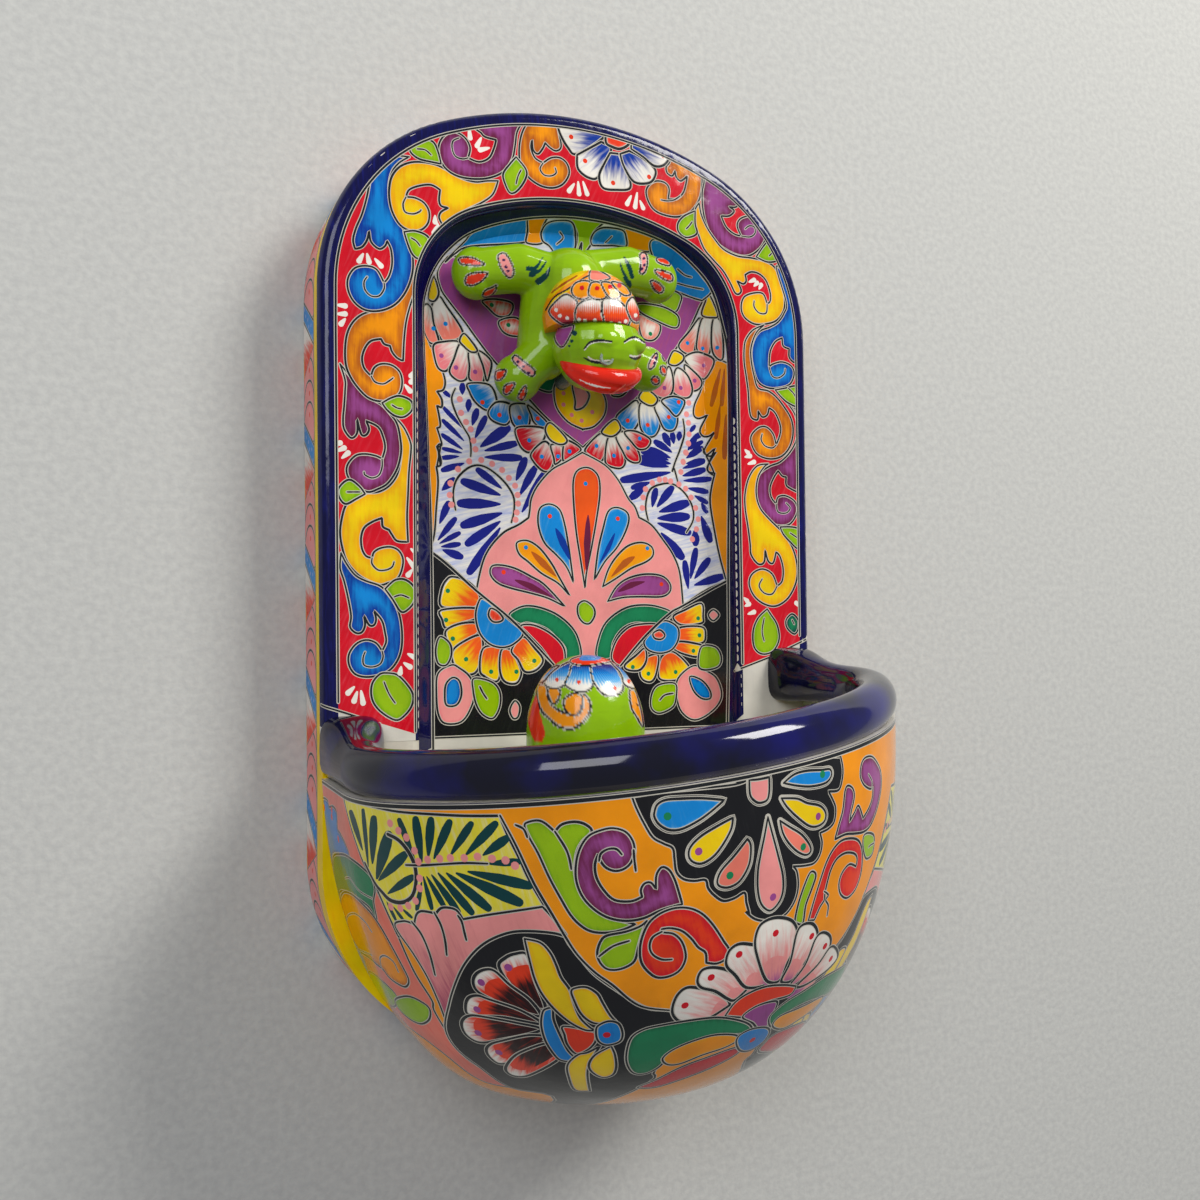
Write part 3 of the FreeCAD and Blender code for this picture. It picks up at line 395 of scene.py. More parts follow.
def topmost(shapes, centre):
    """For each triangle's centre, the last shape laid over it, or -1."""
    top = np.full(len(centre), -1)
    for i, s in enumerate(shapes):
        lo, hi = s["outline"].min(0), s["outline"].max(0)
        near = np.flatnonzero(((centre >= lo) & (centre <= hi)).all(1))
        if len(near):
            top[near[inside(centre[near], s["outline"])]] = i
    return top


def corner_layers(shapes, top, corners):
    """Colours, wash and grain at every corner of the front's triangles."""
    n = len(top)
    colour, deep = np.ones((n, 3, 4), np.float32), np.ones((n, 3, 4), np.float32)
    wash, grain = np.zeros((n, 3, 3), np.float32), np.zeros((n, 3, 3), np.float32)
    for i in np.unique(top):
        s = shapes[max(i, 0)]
        mine = np.flatnonzero(top == i)
        q = corners[mine].reshape(-1, 2)
        colour[mine, :, :3] = s["colour"]
        deep[mine, :, :3] = s["deep"]
        tone = s["tone"](q) if s["tone"] else np.full(len(q), s["level"])
        way = np.array(s["way"], float)
        way /= np.hypot(*way)
        along, across = q @ way, q @ np.array([-way[1], way[0]])
        streak, seed = np.full(len(q), s["streak"]), np.full(len(q), s["seed"])
        wash[mine] = np.column_stack([tone, streak, np.zeros(len(q))]).reshape(-1, 3, 3)
        grain[mine] = np.column_stack([along, across, seed]).reshape(-1, 3, 3)
    return colour, deep, wash, grain


def paint(name, sheet, border, place, back, material, loose, back_loose, step=lambda q: 5.0):
    """Builds a painted skin: its front from the sheet, its back from the border alone."""
    shapes = sheet.shapes
    loops = list(border) + [s["outline"] for s in shapes]
    spare = list(loose) + [s["loose"] for s in shapes if s["loose"] is not None]
    verts, tris = triangulate(loops, spare, step)
    area = turned_area(verts, tris)
    within = within_border(verts[tris].mean(1), border) & (np.abs(area) > THIN)
    tris, area = tris[within], area[within]
    centre = verts[tris].mean(1)
    tris[area < 0] = tris[area < 0][:, ::-1]
    layers = corner_layers(shapes, topmost(shapes, centre), verts[tris])
    used, index = np.unique(tris, return_inverse=True)
    tris = index.reshape(-1, 3)
    plan = verts[used]
    ab = np.vstack([tris[:, [0, 1]], tris[:, [1, 2]], tris[:, [2, 0]]])
    key = np.sort(ab, axis=1) @ np.array([len(plan), 1])
    _, first, times = np.unique(key, return_index=True, return_counts=True)
    rim = ab[first[times == 1]]
    rim_verts, rim_index = np.unique(rim, return_inverse=True)
    rim_index = rim_index.reshape(-1, 2)
    stack = np.vstack([plan[rim_verts]] + [q for q in back_loose if len(q)])
    rim_edges = [tuple(map(int, edge)) for edge in rim_index]
    out = delaunay_2d_cdt([Vector(p) for p in stack], rim_edges, [], 0, NEAR_BACK, True)
    low_verts = np.array([tuple(v) for v in out[0]])
    low = np.array(out[2], int)
    low = low[within_border(low_verts[low].mean(1), border)]
    area = turned_area(low_verts, low)
    low[area > 0] = low[area > 0][:, ::-1]
    base = len(plan)
    slot_of = {old[0]: i for i, old in enumerate(out[3]) if old}
    rear = base + np.array([slot_of[i] for i in range(len(rim_verts))])
    side = np.column_stack([rim[:, 1], rim[:, 0], rear[rim_index[:, 0]], rear[rim_index[:, 1]]])
    every = np.vstack([place(plan), back(low_verts)])
    faces = [tuple(f) for part in (tris, side, low + base) for f in part.tolist()]
    mesh = bpy.data.meshes.new(name)
    mesh.from_pydata((every * MM).tolist(), [], faces)
    bare = len(mesh.loops) - 3 * len(tris)
    spare_values = ((*CREAM, 1), (*CREAM, 1), (0, 0, 0), (0, 0, 0))
    write_layers(mesh, "CORNER", [
        np.vstack([data.reshape(3 * len(tris), -1), np.tile(np.array(value, np.float32), (bare, 1))])
        for data, value in zip(layers, spare_values)])
    mesh.materials.append(material)
    mesh.shade_smooth()
    mesh.set_sharp_from_angle(angle=SHARP_FROM)
    return add_piece(name, mesh, "fountain")


# Where the three-centred arch lies: how far a place on the face is inside its edge
def arch_inset(plan):
    """Distance inside the shell's edge, and the outward direction, for places (x, z)."""
    x, z = plan[:, 0], plan[:, 1]
    hand = np.where(x < 0, -1.0, 1.0)
    drop = PANEL_HALF - SHOULDER_R
    dx, dz = np.abs(x) - drop, z - SHOULDER_Z
    meet = math.atan2(SHOULDER_Z - CROWN_Z, drop)
    turn = np.arctan2(dz, dx)
    outward = np.clip((np.abs(x) - PANEL_HALF + BORDER) / BORDER, 0, 1)
    lean = HIP_TAPER * np.clip((SPRING_Z - z) / SIDE_RUN, 0, 1) * outward
    inset = PANEL_HALF - lean - np.abs(x)
    out = np.column_stack([hand, np.zeros(len(x))])
    round_part = (z > SHOULDER_Z) & (turn < meet) & (dx > 0)
    far = np.hypot(dx, dz)
    inset[round_part] = SHOULDER_R - far[round_part]
    out[round_part] = np.column_stack([hand * dx, dz])[round_part] / far[round_part, None]
    crown = (z > SHOULDER_Z) & ~round_part
    away = np.hypot(x, z - CROWN_Z)
    inset[crown] = CROWN_R - away[crown]
    out[crown] = np.column_stack([x, z - CROWN_Z])[crown] / away[crown, None]
    return inset, out


def arch_line(inset, foot_z):
    """Closed outline of the arch at an inset, down to a level foot; plain arcs and straight sides."""
    drop = PANEL_HALF - SHOULDER_R
    meet = math.atan2(SHOULDER_Z - CROWN_Z, drop)
    half = PANEL_HALF - inset
    taper = HIP_TAPER * (SPRING_Z - foot_z) / SIDE_RUN * max(0.0, 1 - inset / BORDER)
    right = []
    for z in np.linspace(foot_z, SPRING_Z, 40):
        right.append((half - taper * (SPRING_Z - z) / (SPRING_Z - foot_z), z))
    for z in np.linspace(SPRING_Z, SHOULDER_Z, 6)[1:-1]:
        right.append((half, z))
    shoulder, crown = SHOULDER_R - inset, CROWN_R - inset
    for turn in np.linspace(0, meet, ARC_STEPS):
        right.append((drop + shoulder * math.cos(turn), SHOULDER_Z + shoulder * math.sin(turn)))
    for turn in np.linspace(meet, math.pi / 2, ARC_STEPS)[1:]:
        right.append((crown * math.cos(turn), CROWN_Z + crown * math.sin(turn)))
    left = [(-x, z) for x, z in reversed(right[:-1])]
    foot = [(x, foot_z) for x in np.linspace(-right[0][0], right[0][0], FOOT_STEPS + 2)[1:-1]]
    return np.array(right + left + foot)


EDGE_UNROLLED = EDGE_ROUND * (math.pi / 2 - 1)
MOUTH_UNROLLED = MOUTH_ROUND * (math.pi / 2 - 1)
FRONT_HOLE = BORDER + MOUTH_UNROLLED + MOUTH_STRAIGHT


def front_profile(q, lift):
    """Inset and depth of the painted front across its border, with both edges rolled over."""
    inset, y = q.copy(), np.full(len(q), FACE_Y - lift)
    s = q + EDGE_UNROLLED
    edge = s < EDGE_ROUND * math.pi / 2
    turn = s / EDGE_ROUND
    inset[edge] = (EDGE_ROUND - (EDGE_ROUND + lift) * np.cos(turn))[edge]
    y[edge] = (FACE_Y + EDGE_ROUND - (EDGE_ROUND + lift) * np.sin(turn))[edge]
    start = BORDER - MOUTH_ROUND
    mouth = q > start
    turn = np.minimum((q - start) / MOUTH_ROUND, math.pi / 2)
    inset[mouth] = (start + (MOUTH_ROUND + lift) * np.sin(turn))[mouth]
    deep = np.maximum(q - start - MOUTH_ROUND * math.pi / 2, 0)
    y[mouth] = (FACE_Y + MOUTH_ROUND - (MOUTH_ROUND + lift) * np.cos(turn) + deep)[mouth]
    return inset, y


def front_place(plan, lift=LIFT):
    """Where places of the front's plan, (x, z) with its edges laid flat, lie on the clay."""
    q, out = arch_inset(plan)
    inset, y = front_profile(q, lift)
    moved = plan + out * (q - inset)[:, None]
    return np.column_stack([moved[:, 0], y, moved[:, 1]])


def ring_band(outer, inner, foot_z):
    """Outline of the band between two insets, open at the foot."""
    a, b = arch_line(outer, foot_z), arch_line(inner, foot_z)
    return np.vstack([a[:-FOOT_STEPS], b[:-FOOT_STEPS][::-1]])


# Glazes
STREAK_STRETCH = (0.07, 0.55, 1.0)
STREAK_SWING = 3.2
CLOUD_SCALE = 45.0
CLOUD_RANGE = {"From Min": 0.3, "From Max": 0.7, "To Min": 0.86, "To Max": 1.08}
WAVE_SCALE = 90.0
WAVE_DEPTH = 0.0006


def socket(node, name, value):
    """Sets one input of a shader node."""
    node.inputs[name].default_value = value


def glaze_material(label, rough, gloss):
    """Two painted colours mixed by a wash of streaks, under a clear gloss."""
    mat = bpy.data.materials.new(label)
    mat.use_nodes = True
    tree = mat.node_tree
    new, link = tree.nodes.new, tree.links.new
    shine = tree.nodes["Principled BSDF"]

    def attribute(layer):
        node = new("ShaderNodeAttribute")
        node.attribute_name = layer
        return node

    def maths(kind, a, b, c=None):
        node = new("ShaderNodeMath")
        node.operation = kind
        for i, v in enumerate((a, b) if c is None else (a, b, c)):
            if isinstance(v, (int, float)):
                node.inputs[i].default_value = v
            else:
                link(v, node.inputs[i])
        return node.outputs[0]

    parts = new("ShaderNodeSeparateXYZ")
    link(attribute("wash").outputs["Vector"], parts.inputs[0])
    stretch = new("ShaderNodeVectorMath")
    stretch.operation = "MULTIPLY"
    stretch.inputs[1].default_value = STREAK_STRETCH
    link(attribute("grain").outputs["Vector"], stretch.inputs[0])
    streaks = new("ShaderNodeTexNoise")
    socket(streaks, "Scale", 1.0)
    socket(streaks, "Detail", 3.0)
    link(stretch.outputs[0], streaks.inputs["Vector"])
    swing = maths("MULTIPLY", maths("SUBTRACT", streaks.outputs[0], 0.5), STREAK_SWING)
    total = maths("MULTIPLY_ADD", swing, parts.outputs[1], parts.outputs[0])
    soft = new("ShaderNodeMapRange")
    soft.interpolation_type = "SMOOTHSTEP"
    link(total, soft.inputs["Value"])
    mix = new("ShaderNodeMix")
    mix.data_type = "RGBA"
    link(soft.outputs[0], mix.inputs[0])
    link(attribute("paint").outputs["Color"], mix.inputs[6])
    link(attribute("deep").outputs["Color"], mix.inputs[7])

    place = new("ShaderNodeTexCoord")
    cloud = new("ShaderNodeTexNoise")
    socket(cloud, "Scale", CLOUD_SCALE)
    socket(cloud, "Detail", 4.0)
    link(place.outputs["Object"], cloud.inputs["Vector"])
    shade = new("ShaderNodeMapRange")
    for name, value in CLOUD_RANGE.items():
        socket(shade, name, value)
    link(cloud.outputs[0], shade.inputs["Value"])
    tint = new("ShaderNodeVectorMath")
    tint.operation = "SCALE"
    link(mix.outputs[2], tint.inputs[0])
    link(shade.outputs[0], tint.inputs["Scale"])
    link(tint.outputs[0], shine.inputs["Base Color"])
    socket(shine, "Roughness", rough)
    socket(shine, "IOR", 1.5)
    socket(shine, "Specular IOR Level", gloss)

    waves = new("ShaderNodeTexNoise")
    socket(waves, "Scale", WAVE_SCALE)
    socket(waves, "Detail", 2.0)
    link(place.outputs["Object"], waves.inputs["Vector"])
    bump = new("ShaderNodeBump")
    socket(bump, "Strength", 0.35)
    socket(bump, "Distance", WAVE_DEPTH)
    link(waves.outputs[0], bump.inputs["Height"])
    link(bump.outputs[0], shine.inputs["Normal"])
    return mat


GLAZE = glaze_material("glaze", 0.11, 0.36)
SIDE_GLAZE = glaze_material("side_glaze", 0.3, 0.1)

# The border of the arch: its figures as places in the pixels of the 1200 by 1200 photograph.
# Each scroll or leaf has its colour, its outline and the line inside it; a place given twice is a corner.
SCROLLS = [
    ("yellow", xy(396, 419, 404, 428, 410, 441, 411, 450, 409, 471, 408, 494, 407, 517, 408, 542,
      408, 542, 397, 541, 392, 535, 389, 530, 389, 530, 383, 527, 382, 522, 382, 518, 382, 518, 372, 522,
      364, 528, 361, 538, 362, 549, 366, 556, 372, 558, 372, 558, 374, 552, 381, 548, 391, 547, 399, 551,
      403, 560, 401, 572, 396, 580, 388, 583, 380, 585, 368, 581, 357, 574, 347, 562, 342, 547, 340, 532,
      342, 517, 346, 505, 354, 498, 364, 493, 378, 492, 389, 486, 397, 475, 400, 462, 401, 450, 400, 437,
      398, 428), xy(372, 558, 372, 564, 378, 570, 386, 570, 392, 567, 394, 562)),
    ("blue", xy(341, 553, 341, 553, 340, 568, 344, 581, 348, 598, 351, 616, 350, 627, 356, 633, 362, 632,
      365, 625, 364, 616, 364, 616, 369, 625, 374, 625, 376, 619, 374, 611, 374, 611, 382, 621, 385, 633,
      386, 642, 382, 651, 382, 651, 376, 643, 366, 640, 356, 644, 349, 654, 349, 665, 355, 674, 366, 677,
      380, 675, 391, 669, 399, 657, 402, 642, 401, 623, 397, 608, 389, 595, 380, 586, 366, 581, 355, 575,
      346, 563), xy(382, 651, 383, 657, 380, 664, 372, 667, 364, 665, 363, 658, 365, 652)),
    ("purple", xy(340, 364, 340, 364, 345, 380, 345, 391, 344, 407, 343, 418, 344, 429, 351, 438,
      357, 433, 357, 419, 357, 419, 361, 434, 366, 435, 369, 429, 366, 421, 366, 421, 378, 427, 383, 437,
      385, 448, 382, 459, 382, 459, 376, 456, 365, 454, 355, 456, 347, 466, 348, 477, 357, 487, 368, 492,
      378, 489, 388, 483, 397, 469, 401, 452, 400, 437, 397, 424, 391, 415, 382, 405, 370, 398, 361, 391,
      353, 380), xy(382, 459, 382, 467, 379, 475, 372, 478, 365, 475, 364, 472)),
    ("orange", xy(416, 271, 416, 271, 415, 290, 410, 306, 406, 322, 404, 340, 403, 361, 403, 361,
      397, 358, 392, 352, 390, 346, 390, 346, 384, 344, 381, 339, 381, 339, 371, 341, 365, 348, 362, 358,
      364, 368, 371, 376, 371, 376, 374, 368, 381, 364, 391, 365, 399, 371, 402, 380, 401, 390, 397, 396,
      389, 401, 377, 401, 367, 397, 358, 388, 351, 378, 346, 366, 345, 350, 347, 334, 353, 322, 363, 314,
      379, 309, 391, 302, 401, 292, 409, 280), xy(371, 376, 375, 382, 383, 384, 389, 381, 393, 378)),
    ("blue", xy(409, 157, 409, 157, 391, 156, 377, 164, 371, 176, 367, 196, 362, 214, 356, 228, 353, 240,
      355, 249, 355, 249, 362, 247, 367, 240, 369, 231, 369, 231, 371, 242, 379, 249, 385, 246, 387, 241,
      387, 241, 391, 250, 392, 264, 389, 276, 384, 283, 384, 283, 377, 270, 367, 266, 355, 268, 348, 278,
      348, 290, 354, 302, 365, 310, 379, 311, 393, 306, 403, 296, 410, 282, 413, 266, 411, 248, 403, 228,
      395, 214, 390, 200, 389, 186, 392, 172, 399, 163), xy(384, 283, 384, 289, 379, 296, 371, 296,
      365, 290, 364, 282, 367, 277)),
    ("yellow", xy(498, 181, 498, 181, 487, 181, 475, 182, 461, 178, 447, 170, 433, 164, 415, 162,
      401, 166, 392, 176, 389, 190, 390, 204, 394, 216, 401, 226, 411, 231, 421, 230, 428, 223, 429, 212,
      424, 203, 415, 198, 406, 197, 406, 197, 409, 190, 419, 186, 431, 185, 440, 190, 440, 190, 439, 200,
      441, 206, 448, 208, 448, 208, 441, 212, 439, 218, 443, 226, 443, 226, 451, 219, 467, 210, 483, 202,
      493, 194), xy(406, 197, 403, 204, 405, 212, 413, 214, 419, 212, 421, 210)),
    ("purple", xy(528, 116, 528, 116, 507, 118, 489, 120, 470, 121, 470, 121, 473, 127, 481, 133,
      481, 133, 485, 137, 496, 140, 496, 140, 494, 148, 489, 158, 479, 162, 468, 158, 468, 158, 470, 148,
      465, 138, 455, 132, 445, 135, 439, 144, 439, 156, 445, 168, 457, 176, 473, 179, 489, 178, 503, 172,
      512, 160, 515, 146, 517, 132, 523, 122), xy(468, 158, 462, 159, 455, 156, 452, 148, 453, 141,
      459, 138)),
    ("orange", xy(556, 120, 556, 120, 539, 118, 527, 124, 521, 136, 519, 152, 521, 166, 529, 178,
      541, 186, 553, 188, 563, 184, 569, 174, 567, 164, 560, 158, 551, 158, 543, 163, 543, 163, 535, 158,
      531, 148, 532, 140, 532, 140, 533, 150, 538, 154, 543, 148, 545, 143, 545, 143, 550, 148, 556, 151,
      561, 147, 559, 134), xy(543, 163, 540, 169, 544, 175, 551, 176, 556, 173, 555, 168)),
    ("orange", xy(672, 151, 672, 151, 686, 154, 694, 160, 700, 167, 702, 179, 701, 193, 697, 204,
      689, 213, 677, 217, 664, 215, 654, 210, 648, 201, 646, 191, 650, 184, 657, 181, 665, 183, 669, 189,
      668, 199, 668, 199, 676, 199, 683, 193, 686, 183, 687, 176, 687, 176, 684, 179, 680, 181, 676, 177,
      675, 171, 675, 171, 672, 176, 667, 173, 666, 167, 669, 163, 671, 157),
     xy(680, 196, 674, 200, 667, 201, 661, 200)),
    ("purple", xy(701, 164, 701, 164, 711, 174, 723, 186, 731, 196, 739, 201, 739, 201, 736, 207,
      729, 207, 729, 207, 734, 211, 729, 216, 721, 216, 721, 216, 726, 227, 734, 234, 741, 236, 741, 236,
      737, 226, 740, 219, 749, 216, 757, 218, 764, 226, 766, 236, 761, 247, 751, 255, 740, 256, 726, 250,
      714, 240, 707, 227, 703, 211, 702, 193, 704, 181, 702, 171),
     xy(741, 236, 750, 237, 755, 233, 754, 227, 749, 226, 745, 229)),
    ("yellow", xy(699, 203, 699, 203, 695, 210, 695, 223, 698, 234, 704, 249, 714, 261, 723, 271,
      730, 283, 735, 293, 739, 294, 741, 290, 737, 281, 737, 281, 743, 284, 746, 281, 745, 275, 745, 275,
      751, 272, 759, 274, 766, 281, 770, 293, 770, 301, 767, 304, 767, 304, 763, 294, 754, 293, 744, 297,
      741, 307, 744, 317, 754, 324, 766, 324, 777, 320, 784, 309, 784, 294, 781, 280, 774, 267, 764, 261,
      751, 258, 737, 256, 723, 249, 713, 237, 706, 226, 701, 214),
     xy(767, 304, 766, 313, 759, 313, 754, 307, 754, 301)),
    ("blue", xy(776, 267, 786, 276, 796, 294, 800, 313, 800, 311, 800, 325, 799, 341, 798, 363, 798, 363,
      793, 362, 789, 357, 789, 349, 789, 349, 783, 346, 782, 338, 782, 338, 775, 342, 770, 352, 769, 367,
      769, 367, 773, 364, 782, 362, 791, 366, 794, 374, 790, 384, 780, 388, 768, 388, 758, 382, 753, 368,
      751, 352, 754, 339, 760, 331, 770, 327, 778, 322, 784, 313, 786, 302),
     xy(769, 367, 772, 376, 778, 378, 784, 374, 785, 369)),
    ("orange", xy(764, 325, 764, 325, 753, 330, 746, 339, 744, 348, 744, 362, 746, 376, 748, 391,
      749, 407, 751, 417, 756, 420, 758, 418, 758, 411, 758, 411, 762, 417, 767, 415, 769, 408, 769, 408,
      775, 413, 780, 425, 780, 434, 776, 445, 776, 445, 773, 434, 766, 427, 758, 428, 751, 436, 752, 446,
      758, 455, 770, 459, 782, 456, 790, 446, 793, 432, 791, 419, 784, 407, 776, 397, 768, 391, 758, 388,
      754, 376, 751, 360, 751, 347, 756, 333), xy(776, 445, 772, 448, 765, 446, 761, 440, 762, 434)),
    ("purple", xy(784, 399, 784, 399, 794, 407, 799, 423, 800, 438, 798, 458, 798, 475, 797, 492,
      797, 492, 791, 489, 786, 485, 786, 477, 786, 477, 782, 476, 778, 471, 778, 471, 774, 477, 770, 487,
      771, 497, 776, 504, 776, 504, 778, 497, 786, 496, 795, 502, 797, 512, 791, 523, 782, 526, 770, 523,
      760, 512, 756, 499, 756, 483, 760, 473, 770, 466, 780, 462, 790, 452, 796, 440, 797, 426, 794, 413),
     xy(776, 504, 778, 512, 786, 513, 790, 508, 786, 503)),
    ("yellow", xy(768, 464, 768, 464, 757, 466, 749, 477, 745, 493, 745, 508, 748, 528, 750, 544,
      751, 555, 758, 564, 764, 562, 765, 550, 765, 550, 768, 561, 773, 563, 776, 552, 776, 552, 780, 557,
      783, 569, 782, 581, 777, 586, 777, 586, 772, 574, 762, 569, 752, 574, 749, 584, 754, 596, 764, 604,
      776, 606, 788, 598, 796, 582, 797, 565, 792, 547, 782, 532, 770, 520, 760, 508, 756, 493, 758, 477,
      764, 467), xy(777, 586, 772, 594, 764, 593, 759, 586, 762, 579)),
]
LEAVES = [
    ("lime", xy(409, 147, 409, 147, 411, 141, 421, 138, 433, 142, 438, 152, 441, 164, 441, 164, 431, 162,
      419, 159, 411, 153), xy(417, 149, 425, 150, 431, 155)),
    ("lime", xy(516, 157, 516, 157, 526, 170, 525, 180, 517, 191, 510, 193, 505, 184, 503, 174, 509, 165),
     xy(516, 184, 518, 176, 521, 170)),
    ("lime", xy(404, 232, 404, 232, 415, 231, 427, 236, 432, 246, 429, 256, 419, 259, 412, 254, 407, 242),
     xy(411, 238, 416, 241, 420, 246)),
    ("lime", xy(695, 211, 695, 211, 695, 224, 697, 233, 691, 237, 684, 237, 678, 231, 678, 223, 684, 216),
     xy(686, 229, 689, 226, 692, 222)),
    ("lime", xy(756, 257, 756, 257, 766, 243, 774, 240, 781, 246, 783, 256, 777, 261, 767, 262),
     xy(769, 256, 772, 253, 775, 250)),
    ("lime", xy(775, 390, 775, 390, 786, 388, 796, 386, 806, 391, 807, 403, 798, 407, 788, 403, 781, 397),
     xy(788, 388, 793, 393, 796, 398)),
    ("lime", xy(780, 527, 780, 527, 792, 527, 801, 530, 807, 538, 805, 547, 798, 549, 790, 542, 783, 534),
     xy(790, 533, 796, 537, 800, 540)),
    ("lime", xy(767, 609, 767, 609, 758, 618, 753, 631, 754, 647, 762, 654, 773, 651, 779, 639, 777, 625,
      771, 615), xy(764, 618, 762, 631, 764, 641)),
    ("green", xy(786, 620, 792, 614, 798, 620, 798, 629, 794, 634, 787, 628),
     xy(792, 620, 793, 622, 794, 624)),
    ("lime", xy(382, 403, 382, 403, 391, 398, 400, 396, 411, 401, 412, 410, 404, 417, 395, 416, 387, 410),
     xy(392, 405, 397, 408, 402, 409)),
    ("lime", xy(365, 494, 365, 494, 360, 487, 351, 480, 344, 482, 338, 490, 340, 499, 346, 504, 356, 499),
     xy(347, 492, 353, 492, 360, 492)),
    ("lime", xy(385, 589, 385, 589, 395, 580, 406, 580, 415, 589, 414, 602, 406, 611, 400, 611, 393, 600),
     xy(394, 597, 401, 595, 409, 598)),
    ("lime", xy(389, 673, 389, 673, 399, 676, 412, 692, 412, 705, 404, 716, 395, 720, 380, 711, 372, 699,
      372, 684, 380, 674), xy(384, 682, 389, 694, 395, 703)),
]
PETALS = [
    xy(556, 120, 556, 120, 575, 121, 603, 127, 603, 127, 603, 138, 577, 154, 568, 148, 560, 134),
    xy(577, 155, 577, 155, 601, 142, 601, 142, 611, 150, 599, 176, 589, 178, 578, 169),
    xy(610, 153, 610, 153, 619, 154, 619, 154, 624, 167, 630, 181, 629, 189, 617, 190, 603, 188, 599, 176,
     604, 164),
    xy(620, 154, 620, 154, 629, 151, 629, 151, 641, 157, 654, 168, 655, 176, 649, 183, 634, 182, 624, 167),
    xy(631, 149, 631, 149, 631, 136, 631, 136, 650, 139, 670, 148, 670, 156, 664, 165, 654, 166, 643, 157),
]
PETAL_DOTS = xy(571, 137, 585, 161, 613, 183, 649, 177, 663, 156)
FLOWER_EYE = xy(606, 133, 610, 130, 619, 129, 627, 132, 630, 139, 628, 145, 620, 149, 612, 147, 606, 143)
DROPS = [
    [(363, 254), (359, 261)], [(367, 254), (369, 262)], [(375, 259), (381, 266)],
    [(337, 305), (345, 306)], [(337, 314), (345, 314)], [(345, 319), (341, 324)],
    [(574, 184), (569, 191)], [(578, 182), (579, 194)], [(583, 182), (587, 194)],
    [(435, 216), (435, 222)], [(437, 226), (434, 233)], [(437, 223), (441, 234)],
    [(469, 128), (470, 138)], [(481, 138), (477, 146)], [(489, 148), (480, 150)],
    [(417, 369), (411, 376)], [(416, 378), (411, 382)], [(631, 196), (627, 204)],
    [(637, 193), (635, 207)], [(640, 201), (643, 208)], [(744, 201), (749, 201)],
    [(747, 206), (751, 205)], [(748, 210), (752, 212)], [(784, 263), (790, 263)],
    [(784, 268), (790, 268)], [(789, 271), (791, 276)], [(749, 282), (754, 280)],
    [(754, 286), (757, 283)], [(759, 289), (761, 285)], [(799, 375), (806, 368)],
    [(798, 379), (806, 374)], [(798, 381), (806, 379)], [(745, 450), (748, 453)],
    [(745, 457), (750, 456)], [(748, 464), (754, 462)], [(744, 598), (747, 601)],
    [(745, 606), (749, 604)], [(748, 614), (754, 612)], [(806, 588), (802, 593)],
    [(805, 596), (800, 600)], [(800, 607), (796, 603)], [(801, 489), (801, 493)],
    [(804, 495), (801, 497)], [(803, 502), (800, 502)], [(332, 445), (340, 443)],
    [(337, 451), (344, 448)], [(342, 458), (348, 453)], [(411, 549), (419, 556)],
    [(407, 558), (414, 567)], [(412, 570), (408, 575)], [(408, 654), (414, 657)],
    [(404, 663), (410, 667)], [(401, 667), (400, 673)], [(354, 687), (348, 693)],
    [(357, 692), (354, 701)], [(361, 691), (363, 703)], [(405, 385), (410, 391)],
]
SCROLL_COLOURS = {
    "yellow": (YELLOW, AMBER), "blue": (BLUE, BLUE_DEEP), "purple": (PURPLE, MAROON),
    "orange": (ORANGE, BROWN), "lime": (LIME, LIME_DEEP), "green": (GREEN, TEAL),
}
FRONT_FOOT = -330.5
OUTER_BAND = 9.5
INNER_BAND = 56.5
COBALT_DROP = 12
ROLL_LAP = 1.0
FIELD_FOOT = [(-PANEL_HALF, -308), (-155, -313), (-135, -320), (-112, -327), (107, -293), (135, -284),
              (PANEL_HALF, -270)]
INNER_FOOT = [(-PANEL_HALF, -336), (100, -334), (118, -318), (PANEL_HALF, -318)]
FRONT_ROLLS = (-3.0, -1.5, 0.0, 1.5, 3.0, 4.8, 6.5, 55.5, 56.5, 57.6, 58.8, 60.0, 61.4, 62.85, 64.5)
SCROLL_REACH = 7.5
LEAF_REACH = 4.0
DOT_R = 1.6
DROP_SIZE = 1.7


def front_step(q):
    """Short edges where the front rolls over its edges, long ones on the flat."""
    inset = arch_inset(q)[0]
    rolled = (inset < EDGE_ROUND + ROLL_LAP) | (inset > BORDER - MOUTH_ROUND - ROLL_LAP)
    return np.where(rolled, 1.5, 6.0)


def flower(sheet):
    """The half flower at the crown: petals that deepen towards their roots, with dots, round an eye."""
    root = on_face(FLOWER_EYE).mean(0)
    for petal in PETALS:
        shape = curve(on_face(petal), True)
        way = shape.mean(0) - root
        way /= np.hypot(*way)
        reach = (shape - root) @ way
        near, far = reach.min(), reach.max()
        tone = lambda q, way=way, near=near, far=far: np.clip(
            1.25 - 1.5 * ((q - root) @ way - near) / (far - near), 0, 1)
        sheet.fill(shape, WHITE, BLUE_DEEP, tone, 0.45, way, 0.0, spread(shape, 3))
        sheet.edge(shape, 0.8)
    for dot in on_face(PETAL_DOTS):
        sheet.fill(dot + DOT_R * circle(12), SCARLET)
    eye = curve(on_face(FLOWER_EYE), True)
    sheet.figure(eye, SCARLET, SALMON, 3.0, 0.2)
    sheet.edge(eye, 0.9)


